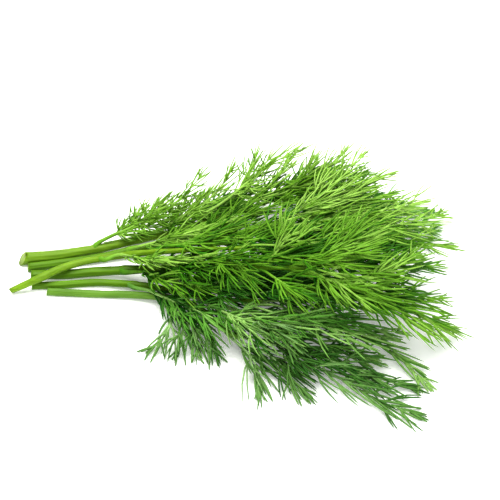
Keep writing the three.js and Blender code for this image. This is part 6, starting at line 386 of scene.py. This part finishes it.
def ramp(nodes, stops):
    n = nodes.new("ShaderNodeValToRGB")
    n.color_ramp.interpolation = "EASE"
    el = n.color_ramp.elements
    while len(el) > 1:
        el.remove(el[-1])
    el[0].position, el[0].color = stops[0]
    for pos, col in stops[1:]:
        e = el.new(pos)
        e.color = col
    return n


def plant(name, by_tone, tip, tip_share, roughness, streak=(1.0, 1.0, 1.0), noise_scale=260.0, mottle=0.16, bump=0.12, scatter=0.08, gloss=0.16):
    """A green that follows tone, turns to tip where reach nears 1, and is mottled by noise drawn out by streak."""
    m = bpy.data.materials.new(name)
    m.use_nodes = True
    nt = m.node_tree
    nodes, link = nt.nodes, nt.links.new
    bsdf = nodes["Principled BSDF"]
    tone = nodes.new("ShaderNodeAttribute")
    tone.attribute_name = "tone"
    reach = nodes.new("ShaderNodeAttribute")
    reach.attribute_name = "reach"
    base = ramp(nodes, by_tone)
    link(tone.outputs["Fac"], base.inputs["Fac"])
    edge = nodes.new("ShaderNodeMapRange")
    edge.inputs["From Min"].default_value = 0.25
    edge.inputs["From Max"].default_value = 1.0
    edge.inputs["To Max"].default_value = tip_share
    link(reach.outputs["Fac"], edge.inputs["Value"])
    mix = nodes.new("ShaderNodeMix")
    mix.data_type = "RGBA"
    link(edge.outputs["Result"], mix.inputs["Factor"])
    link(base.outputs["Color"], mix.inputs["A"])
    mix.inputs["B"].default_value = tip
    where = nodes.new("ShaderNodeTexCoord")
    stretch = nodes.new("ShaderNodeMapping")
    stretch.inputs["Scale"].default_value = streak
    link(where.outputs["Object"], stretch.inputs["Vector"])
    noise = nodes.new("ShaderNodeTexNoise")
    noise.inputs["Scale"].default_value = noise_scale
    noise.inputs["Detail"].default_value = 3.0
    link(stretch.outputs["Vector"], noise.inputs["Vector"])
    spread = nodes.new("ShaderNodeMapRange")
    spread.inputs["From Min"].default_value = 0.3
    spread.inputs["From Max"].default_value = 0.7
    spread.inputs["To Min"].default_value = 1.0 - mottle
    spread.inputs["To Max"].default_value = 1.0 + mottle
    link(noise.outputs["Fac"], spread.inputs["Value"])
    shade = nodes.new("ShaderNodeHueSaturation")
    link(mix.outputs["Result"], shade.inputs["Color"])
    link(spread.outputs["Result"], shade.inputs["Value"])
    link(shade.outputs["Color"], bsdf.inputs["Base Color"])
    rough = nodes.new("ShaderNodeMapRange")
    rough.inputs["From Min"].default_value = 0.3
    rough.inputs["From Max"].default_value = 0.7
    rough.inputs["To Min"].default_value = roughness - 0.06
    rough.inputs["To Max"].default_value = roughness + 0.08
    link(noise.outputs["Fac"], rough.inputs["Value"])
    link(rough.outputs["Result"], bsdf.inputs["Roughness"])
    b = nodes.new("ShaderNodeBump")
    b.inputs["Strength"].default_value = bump
    b.inputs["Distance"].default_value = 0.0004
    link(noise.outputs["Fac"], b.inputs["Height"])
    link(b.outputs["Normal"], bsdf.inputs["Normal"])
    bsdf.inputs["Subsurface Weight"].default_value = scatter
    bsdf.inputs["Subsurface Radius"].default_value = (0.6, 1.0, 0.25)
    bsdf.inputs["Subsurface Scale"].default_value = 0.0008
    bsdf.inputs["Specular IOR Level"].default_value = gloss
    return m


STEM_STREAK = (0.05, 1.0, 1.0)
stem_light = plant("dill_stem_light", [(0.0, lin(70, 108, 12)), (0.5, lin(112, 148, 30)), (1.0, lin(146, 176, 60))], lin(110, 150, 32), 0.3, 0.4, STEM_STREAK, 700.0, 0.18, 0.25, 0.12)
stem_green = plant("dill_stem_green", [(0.0, lin(56, 96, 8)), (0.5, lin(94, 134, 24)), (1.0, lin(132, 164, 50))], lin(90, 136, 26), 0.3, 0.4, STEM_STREAK, 700.0, 0.18, 0.25, 0.12)
stem_front = plant("dill_stem_front", [(0.0, lin(62, 104, 22)), (0.5, lin(104, 144, 52)), (1.0, lin(146, 178, 90))], lin(92, 142, 56), 0.3, 0.4, STEM_STREAK, 700.0, 0.16, 0.25, 0.12)
leaf_bright = plant("dill_leaf_bright", [(0.0, lin(28, 92, 6)), (0.3, lin(68, 124, 18)), (0.6, lin(112, 162, 46)), (1.0, lin(160, 200, 98))], lin(112, 148, 38), 0.28, 0.48)
leaf_mid = plant("dill_leaf_mid", [(0.0, lin(14, 86, 2)), (0.3, lin(44, 114, 8)), (0.6, lin(104, 156, 38)), (1.0, lin(158, 200, 92))], lin(88, 130, 26), 0.45, 0.48)
leaf_front = plant("dill_leaf_front", [(0.0, lin(32, 84, 14)), (0.3, lin(66, 112, 37)), (0.6, lin(111, 153, 78)), (1.0, lin(164, 199, 134))], lin(40, 93, 24), 0.7, 0.48)
leaf_deep = plant("dill_leaf_deep", [(0.0, lin(14, 82, 5)), (0.3, lin(45, 110, 17)), (0.6, lin(95, 150, 54)), (1.0, lin(153, 194, 108))], lin(50, 106, 24), 0.55, 0.48)
CUT_MATERIAL = plant("dill_cut_end", [(0.0, lin(118, 150, 60)), (1.0, lin(176, 198, 112))], lin(164, 186, 96), 0.2, 0.6, (1, 1, 1), 1500.0, 0.1, 0.3, 0.15)
STEM_SLOT = {"thick": "stem_light", "crossing": "stem_light", "second": "stem_green", "middle": "stem_green", "lower": "stem_green", "back": "stem_green", "front": "stem_front"}
LEAF_SLOT = {"thick": "leaf_bright", "second": "leaf_bright", "crossing": "leaf_mid", "middle": "leaf_mid", "front": "leaf_front", "lower": "leaf_deep", "back": "leaf_deep"}
LOOK = {"stem_light": stem_light, "stem_green": stem_green, "stem_front": stem_front, "leaf_bright": leaf_bright, "leaf_mid": leaf_mid, "leaf_front": leaf_front, "leaf_deep": leaf_deep}
STEM_MATERIAL = {k: LOOK[v] for k, v in STEM_SLOT.items()}
LEAF_MATERIAL = {k: LOOK[v] for k, v in LEAF_SLOT.items()}


# ---- stems ------------------------------------------------------------------------
CUT_SLANT = {"thick": 4.6, "second": 0.8, "crossing": -1.2, "middle": 0.6, "lower": 0.5, "front": 0.7, "back": 0.6}
CURVES = {name: spline(rows, 76) for name, rows in STEMS.items()}


def seeded(name):
    return np.random.default_rng(zlib.crc32(name.encode()))


def leaf_feet(stem):
    """Where the leaves leave a stem: share of its length and the way out, for each."""
    feet = []
    for name, leaf in LEAVES.items():
        if name.split("_")[0] == stem:
            foot = np.array(leaf["line"][0][:3])
            i = int(np.linalg.norm(CURVES[stem][:, :3] - foot, axis=1).argmin())
            feet.append((i, foot))
    return feet


def grow_stem(stem):
    rng = seeded("stem " + stem)
    c = CURVES[stem]
    path, radius = c[:, :3].copy(), c[:, 3] * 1.06
    n = len(path)
    # the stem swells a little where a leaf clasps it, and is never quite even
    for i, _ in leaf_feet(stem):
        radius *= 1 + 0.13 * np.exp(-(((np.arange(n) - i + 0.8) / 1.3) ** 2))
    x = np.arange(n)
    radius *= 1 + 0.02 * np.sin(x * 0.7 + rng.uniform(0, 6)) + 0.014 * np.sin(x * 1.9 + rng.uniform(0, 6))
    ribs = 9 if radius[0] > 2 else 7
    turn = rng.uniform(0, 6) + x * rng.uniform(-0.012, 0.012)

    def shape(a, k):
        depth = 0.035 + 0.02 * np.sin(x * 0.13 + 1)[:, None]
        return 1 + depth * np.cos(ribs * (a[None] + turn[:, None])) + 0.02 * np.cos(2 * a[None] + turn[:, None] * 2)

    tubes = Tubes()
    share = x / (n - 1)
    sides = ribs * 4
    tone = np.clip(STEM_TONE[stem] + 0.05 * np.sin(x * 0.35 + rng.uniform(0, 6)) - 0.1 * share, 0, 1)
    slant = CUT_SLANT[stem]
    tubes.tube(path, radius, sides, tone, 0.05 + 0.5 * share, ends=(0, 1), shape=shape, start_shift=lambda a: -np.cos(a) * slant / 2)
    ob = tubes.object("dill_stem_" + stem, [STEM_MATERIAL[stem], CUT_MATERIAL])
    return ob


# ---- leaves -----------------------------------------------------------------------
TOP = CAD_BOX[1][2] / MM + 2.5  # no thread stands much above the model's highest point


def above_floor(B, D, K, L, low):
    """Turns these runs so that none ends below the surface or stands out above the bunch."""
    end = B[:, 2] + L * (D[:, 2] + 0.5 * K[:, 2])
    room = np.maximum(L, 1e-6)
    D = D.copy()
    D[:, 2] += np.maximum(low - end, 0) / room - np.maximum(end - TOP, 0) / room
    return unit(D)


def turned(v, axis, angle):
    """v turned about axis, row by row."""
    c, s = np.cos(angle)[:, None], np.sin(angle)[:, None]
    return v * c + np.cross(axis, v) * s + axis * (axis * v).sum(1, keepdims=True) * (1 - c)


def branches_of(leaf, rng, gap, under, thin):
    """The model's side branches, finer ones in the gaps between them and on towards the tip, and hanging ones
    every under mm where the bunch is thick."""
    rows = np.array(leaf["branches"], float)
    line = np.array(leaf["line"], float)[:, :3]
    length = np.linalg.norm(np.diff(line, axis=0), axis=1).sum()
    out = [rows]
    for sd in (-1, 1):
        side = rows[np.sign(rows[:, 1]) == sd]
        side = side[np.argsort(side[:, 0])]
        if not len(side):
            continue
        for a, b in zip(side[:-1], side[1:]):
            here = gap + OPEN * (1 + thin) * max(b[0] - 0.5 + 0.15 * thin, 0)
            extra = max(int(round((b[0] - a[0]) * length / here)) - 1, 0)
            for j in range(extra):
                f = (j + 1) / (extra + 1) + rng.uniform(-0.1, 0.1)
                r = a * (1 - f) + b * f
                r[1] *= rng.uniform(0.82, 1.12)
                r[2] += rng.normal(0, 11)
                r[3] *= rng.uniform(0.72, 1.08)
                r[5] += rng.uniform(-0.08, 0.05)
                out.append(r[None])
        last = side[-1]
        room = (0.985 - last[0]) * length
        for q in np.arange(6.5, room - 1, 9.0):
            r = last.copy()
            r[0] = last[0] + q / length
            r[1] *= rng.uniform(0.5, 0.85)
            r[2] += rng.normal(0, 8)
            r[3] *= rng.uniform(0.95, 1.3)
            out.append(r[None])
    upper = sum(len(r) for r in out)
    if under:
        for q in np.arange(0.45 * rows[:, 0].min() * length + 2.0, 0.65 * length, under):
            near = rows[np.abs(rows[:, 0] - q / length).argmin()]
            r = near.copy()
            r[0] = q / length
            r[1] = abs(near[1]) * rng.uniform(0.5, 0.85) * rng.choice([-1.0, 1.0])
            r[2] = -rng.uniform(30, 75)
            r[3] *= rng.uniform(0.75, 1.05)
            out.append(r[None])
    rows = np.vstack(out)
    return rows, np.arange(len(rows)) >= upper


def canopy():
    """Points all over the leaves' rachises and branches, to tell how much foliage lies above a place, for the painted
    shade.
    """
    pts = []
    for leaf in LEAVES.values():
        line = np.array(leaf["line"], float)
        pts.append(spline(line, 22)[3:, :3])
        size = np.linalg.norm(np.diff(line[:, :3], axis=0), axis=1).sum()
        for row in leaf["branches"]:
            p, t = at(line, np.array([row[0]]))
            side = unit(np.cross(UP, t[0])) * -np.sign(row[1])
            a = math.radians(abs(row[1]))
            d = t[0] * math.cos(a) + side * math.sin(a)
            pts.append(p[:, :3] + d * row[3] * 0.5)
            pts.append(p[:, :3] + d * row[3])
    return np.vstack(pts)


CANOPY = canopy()


def covered(P):
    """From 0, open to the light, to 1, deep under other leaves, at each point; this sets the painted shade in the
    leaves' colour.
    """
    out = np.zeros(len(P))
    for i in range(0, len(P), 2000):
        rise = CANOPY[None, :, 2] - P[i : i + 2000, None, 2]
        dx = CANOPY[None, :, 0] - P[i : i + 2000, None, 0]
        dy = CANOPY[None, :, 1] - P[i : i + 2000, None, 1] + 0.3 * rise
        near = np.exp(-(dx * dx + dy * dy) / (2 * 8.0**2)) * np.clip((rise - 3.0) / 8.0, 0, 1)
        out[i : i + 2000] = near.sum(1)
    return 1 - np.exp(-((out / COVER) ** 2))


def grow_leaf(name, leaf):
    rng = seeded(name)
    stem = name.split("_")[0]
    line = np.array(leaf["line"], float)
    tubes = Tubes()
    bold = BOLD.get(stem, 1.0)
    few = (1.0 if name in FULL else FEW.get(stem, 1.0)) * (1 - 0.3 * FLUFF.get(name, 0.0))
    base_tone = LEAF_TONE[stem] + rng.uniform(-0.06, 0.06) + LEAF_TUNE.get(name, 0.0)

    # rachis: it starts as a sheath that clasps the stem, then narrows to a stalk
    sc = CURVES[stem]
    i = int(np.linalg.norm(sc[:, :3] - line[0, :3], axis=1).argmin())
    t_stem = unit(sc[min(i + 1, len(sc) - 1), :3] - sc[max(i - 1, 0), :3])
    rs = sc[i, 3]
    out = line[0, :3] - sc[i, :3]
    out = unit(out - t_stem * (out @ t_stem))
    k = max(i - 3, 0)
    foot = np.array([
        [*(sc[max(i - 4, 0), :3] + out * rs * 0.5), rs * 0.5],
        [*(sc[max(i - 2, 0), :3] + out * rs * 0.72), rs * 0.8],
    ])
    rows = np.vstack([foot, line])
    m = (len(rows) - 1) * 4 + 1
    full = spline(rows, m)
    wide = np.ones(m)
    share_all = np.arange(m) / 4.0  # 0 and 1 are the foot rows, 2 is line[0]
    wide = np.interp(share_all, [0, 1, 2, 3], [0.45, 0.5, 0.75, 1.0])
    full[:, 3] = np.maximum(full[:, 3], 0.24)
    r0 = full[:, 3] * np.interp(share_all, [0, 1, 2, 2.6, 3.5, 10], [1.0, 1.1, 1.35, 1.1, 1.0, 0.92])
    grad = np.interp(share_all, [0, 2, 10], [0.05, 0.12, 0.55])
    tubes.tube(full[:, :3], r0, 10, base_tone + np.interp(share_all, [0, 2, 4], [-0.25, -0.15, 0.1]), grad, flatten=(out, wide))

    # side branches, as in the model
    gap = BRANCH_GAP * (0.62 if name in FULL else 1.6 if name in SPARSE else 1.0) * few * DENSE.get(name, 1.0)
    thin = THIN.get(name, THIN.get(stem, 0.0))
    rows, hangs = branches_of(leaf, rng, gap, HANG.get(name, 0), thin)
    u = (2 + rows[:, 0] * 8) / 10.0
    smooth, _ = at(full, u)
    B = smooth[:, :3]
    seg = np.minimum((rows[:, 0] * 8).astype(int), 7)
    tan = unit(line[seg + 1, :3] - line[seg, :3])
    nrm = unit(UP - tan * tan[:, 2:])
    nrm = turned(nrm, tan, np.full(len(rows), math.radians(leaf["roll"])))
    lat = np.cross(nrm, tan)
    sd, a, b = np.sign(rows[:, 1]), np.radians(np.abs(rows[:, 1])) * (1 - (0.3 - 0.1 * thin) * np.clip((rows[:, 0] - 0.6) / 0.3, 0, 1)), np.radians(rows[:, 2])
    o = lat * (sd * np.cos(b))[:, None] + nrm * np.sin(b)[:, None]
    D = tan * np.cos(a)[:, None] + o * np.sin(a)[:, None]
    size = np.linalg.norm(np.diff(line[:, :3], axis=0), axis=1).sum()
    L = rows[:, 3] * REACH * WIDE.get(name, 1.0) * (1 + 0.1 * np.clip((rows[:, 0] - 0.45) / 0.35, 0, 1))
    over = TIP_OVER - CUT.get(name, 0.0)
    L = np.minimum(L, np.maximum((1 - rows[:, 0]) * size + over, 8.5 - CUT.get(name, 0.0)) * rng.uniform(0.78, 1.16, len(rows)))
    L = L * (1 - 0.3 * thin * np.clip((rows[:, 0] - 0.55) / 0.3, 0, 1) * rng.random(len(rows)))
    K = tan * (rows[:, 4:5] + 0.42) - o * 0.2 + UP * rows[:, 5:6]
    # and three long threads past the rachis's own tip
    tipB, tipT = at(full, np.array([0.96, 0.88, 0.8]))
    side = unit(np.cross(nrm[-1:], tipT))
    flip = np.array([1.0, -1.0, 0.8])[:, None] * rng.choice([-1.0, 1.0])
    tipD = unit(tipT + side * flip * (0.3 + 0.16 * thin))
    B = np.vstack([B, tipB[:, :3]])
    D = np.vstack([D, tipD])
    K = np.vstack([K, tipT * 0.3])
    L = np.r_[L, np.maximum(np.array([0.04, 0.12, 0.2]) * size * 0.8 + over + 2.0, np.array([3.5, 5.5, 7.5]) * (1 + 0.35 * thin)) * rng.uniform(0.85, 1.15, 3)]
    lead = np.vstack([tan, tipT])  # each branch's threads bend round to the way the leaf runs
    N2 = np.vstack([nrm, np.repeat(nrm[-1:], 3, 0)])
    reach1 = np.r_[0.15 + 0.3 * rows[:, 0], np.full(3, 0.5)]
    D = above_floor(B, D, K, L, 0.7)
    n = len(B)
    far = np.r_[np.clip((rows[:, 0] - 0.45) / 0.35, 0, 1), np.ones(3)]  # 1 in the open outer part
    tone1 = base_tone - TIP_DARK[stem] * far - SHADE * LIT.get(stem, 1.0) * (1 - 0.6 * far) * covered(B + 0.4 * L[:, None] * D) - 0.2 * np.r_[hangs, False, False, False] + rng.normal(0, 0.06, n)  # painted shade: leaves deep under others in the bunch, and the hanging branches, are darker in colour
    foot_r = np.where(L > 8, 0.46, 0.38) * bold * (1 + TIP_WIDTH[stem] * far)
    tubes.threads(B, D, K, L, foot_r, tone1 + 0.05, reach1, reach1 * 0 + 0.7, sides=6, shares=(0.0, 0.25, 0.5, 0.75, 0.93), widths=(1.1, 0.95, 0.86, 0.76, 0.55))

    # long shoots leave each branch on both sides, mostly in its first half, and reach about as far as it does
    bi, s, sg = [], [], []
    for j in range(n):
        which = rng.integers(2)
        q = rng.uniform(0.1, 0.22)
        step = SHOOT_GAP * few * (1 + (0.9 + 0.9 * thin) * far[j])
        if rng.random() < (0.25 + 0.3 * thin) * far[j] or j >= n - 3:
            continue
        while q < 0.6 and L[j] * (1 - q) > 4.5:
            bi.append(j)
            s.append(q)
            sg.append(1.0 if which else -1.0)
            which = 1 - which
            if rng.random() < 0.35 * (1 - far[j]) * (1 - 0.5 * thin):  # a pair
                bi.append(j)
                s.append(q + 0.02)
                sg.append(-sg[-1])
                q += 0.4 * step / L[j]
            q += step / L[j] * rng.uniform(0.7, 1.3)
    bi, s, sg = np.array(bi), np.array(s), np.array(sg, float)
    m2 = len(bi)
    P = B[bi] + L[bi, None] * (s[:, None] * D[bi] + 0.5 * (s * s)[:, None] * K[bi])
    T = unit(D[bi] + s[:, None] * K[bi])
    N = unit(N2[bi] - T * (N2[bi] * T).sum(1, keepdims=True))
    N = turned(N, T, np.radians(rng.normal(0, 16, n)[bi] + rng.normal(0, 10, m2)))
    side = np.cross(N, T)
    fluff = FLUFF.get(name, 0.0)  # shorter, wider-set threads
    ang = np.radians((43 - 12 * s - 8 * far[bi]) * rng.uniform(0.7, 1.3, m2) * (1 + 0.25 * fluff))
    tilt = np.radians(rng.normal(6, 20, m2))
    O = side * (sg * np.cos(tilt))[:, None] + N * np.sin(tilt)[:, None]
    D2 = T * np.cos(ang)[:, None] + O * np.sin(ang)[:, None]
    K2 = lead[bi] * (rng.uniform(0.7, 1.4, m2) * (1 - 0.4 * far[bi]))[:, None] - O * (rng.uniform(0.0, 0.4, m2) - 0.15 * far[bi])[:, None] + N * rng.normal(0, 0.12, m2)[:, None] + UP * rng.uniform(-0.2, 0.02, m2)[:, None]
    L2 = (L[bi] * (1 - s) * rng.uniform(0.7, 1.2, m2) + rng.uniform(0.8, 3.2, m2)) * (1 + 0.12 * thin * far[bi]) * (1 - 0.28 * fluff)
    D2 = above_floor(P, D2, K2, L2, 0.5)
    r2 = rng.uniform(0.9, 1.1, m2) * THREAD_R * 1.06 * bold * (1 + TIP_WIDTH[stem] * far[bi])
    tone2 = tone1[bi] + rng.normal(0, 0.07, m2) + np.where(rng.random(m2) < 0.22, 0.16, -0.05)
    low2 = reach1[bi] + (0.7 - reach1[bi]) * s
    tubes.threads(P, D2, K2, L2, r2, tone2, low2, np.ones(m2))

    # fine threads that fork from each shoot
    want = np.where(L2 > 12.0, 1 + (rng.random(m2) < 0.35), np.where(L2 > 6.5 - 2.5 * fluff, rng.random(m2) < (0.62 - 0.55 * far[bi] * (1 - fluff)) * (1 - 0.3 * thin), 0)).astype(int)
    hi = np.repeat(np.arange(m2), want)
    order = np.concatenate([np.arange(w) for w in want])
    s3 = 0.16 + 0.18 * order + rng.uniform(-0.06, 0.14, len(hi))
    sg3 = np.where((order + (rng.random(m2) > 0.5)[hi]) % 2 == 0, 1.0, -1.0)
    P3 = P[hi] + L2[hi, None] * (s3[:, None] * D2[hi] + 0.5 * (s3 * s3)[:, None] * K2[hi])
    T3 = unit(D2[hi] + s3[:, None] * K2[hi])
    Nn = unit(N[hi] - T3 * (N[hi] * T3).sum(1, keepdims=True))
    Nn = turned(Nn, T3, np.radians(rng.normal(0, 25, len(hi))))
    side3 = np.cross(Nn, T3)
    a3 = np.radians(rng.uniform(14, 32, len(hi))) * (1 + 0.4 * fluff)
    tl3 = np.radians(rng.normal(5, 20, len(hi)))
    O3 = side3 * (sg3 * np.cos(tl3))[:, None] + Nn * np.sin(tl3)[:, None]
    D3 = T3 * np.cos(a3)[:, None] + O3 * np.sin(a3)[:, None]
    K3 = lead[bi[hi]] * rng.uniform(0.3, 0.9, len(hi))[:, None] - O3 * rng.uniform(-0.05, 0.35, len(hi))[:, None] + UP * rng.uniform(-0.2, 0.02, len(hi))[:, None]
    L3 = np.maximum(L2[hi] * (1 - s3) * rng.uniform(0.75, 1.08, len(hi)), 2.5)
    D3 = above_floor(P3, D3, K3, L3, 0.4)
    tubes.threads(P3, D3, K3, L3, rng.uniform(0.9, 1.08, len(hi)) * THREAD_R * bold, tone2[hi] + rng.normal(0, 0.05, len(hi)), low2[hi] + (1 - low2[hi]) * s3, np.ones(len(hi)), shares=(0.0, 0.3, 0.62, 0.88), widths=(0.9, 1.0, 0.92, 0.62))
    COUNT["threads"] = COUNT.get("threads", 0) + n + m2 + len(hi)
    ob = tubes.object("dill_" + name, [LEAF_MATERIAL[stem]])
    return ob

# ---- build and place ------------------------------------------------------------------
for stem in STEMS:
    piece = grow_stem(stem)
    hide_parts("stem_" + stem)
    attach(piece, "root")
for name, leaf in LEAVES.items():
    piece = grow_leaf(name, leaf)
    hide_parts("leaf_" + name)
    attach(piece, "root")

# ---- the surface it lies on, which isn't part of it ---------------------------------------
bpy.ops.mesh.primitive_plane_add(size=6.0, location=(0, 0, 0))
floor = bpy.context.object
floor.name = "floor"
pale = bpy.data.materials.new("floor")
pale.use_nodes = True
pale.node_tree.nodes["Principled BSDF"].inputs["Base Color"].default_value = (0.9, 0.905, 0.9, 1)
pale.node_tree.nodes["Principled BSDF"].inputs["Emission Color"].default_value = (1, 1, 1, 1)
pale.node_tree.nodes["Principled BSDF"].inputs["Emission Strength"].default_value = 0.25
pale.node_tree.nodes["Principled BSDF"].inputs["Roughness"].default_value = 0.6
pale.node_tree.nodes["Principled BSDF"].inputs["Specular IOR Level"].default_value = 0.2
floor.data.materials.append(pale)


# ---- light -----------------------------------------------------------------------------------
def lamp(name, place, target, size, power, colour=(1, 1, 1)):
    data = bpy.data.lights.new(name, "AREA")
    data.shape = "RECTANGLE"
    data.size, data.size_y = size
    data.energy = power
    data.color = colour
    ob = bpy.data.objects.new(name, data)
    bpy.context.scene.collection.objects.link(ob)
    ob.location = place
    way = mathutils.Vector(target) - mathutils.Vector(place)
    ob.rotation_euler = way.to_track_quat("-Z", "Y").to_euler()
    return ob


lamp("key", (-0.12, 0.26, 1.25), (0.0, 0.0, 0.0), (1.4, 1.0), 35.0, (1.0, 0.99, 0.96))
lamp("fill", (0.5, -0.9, 0.7), (0.0, 0.0, 0.02), (1.1, 1.1), 10.0)
world = bpy.data.worlds.new("world")
bpy.context.scene.world = world
world.use_nodes = True
world.node_tree.nodes["Background"].inputs["Color"].default_value = (1, 1, 1, 1)
world.node_tree.nodes["Background"].inputs["Strength"].default_value = 0.24
bpy.context.scene.view_settings.view_transform = "Standard"
bpy.context.scene.view_settings.look = "None"
bpy.context.scene.view_settings.exposure = 0.0
bpy.context.scene.view_settings.gamma = 0.88
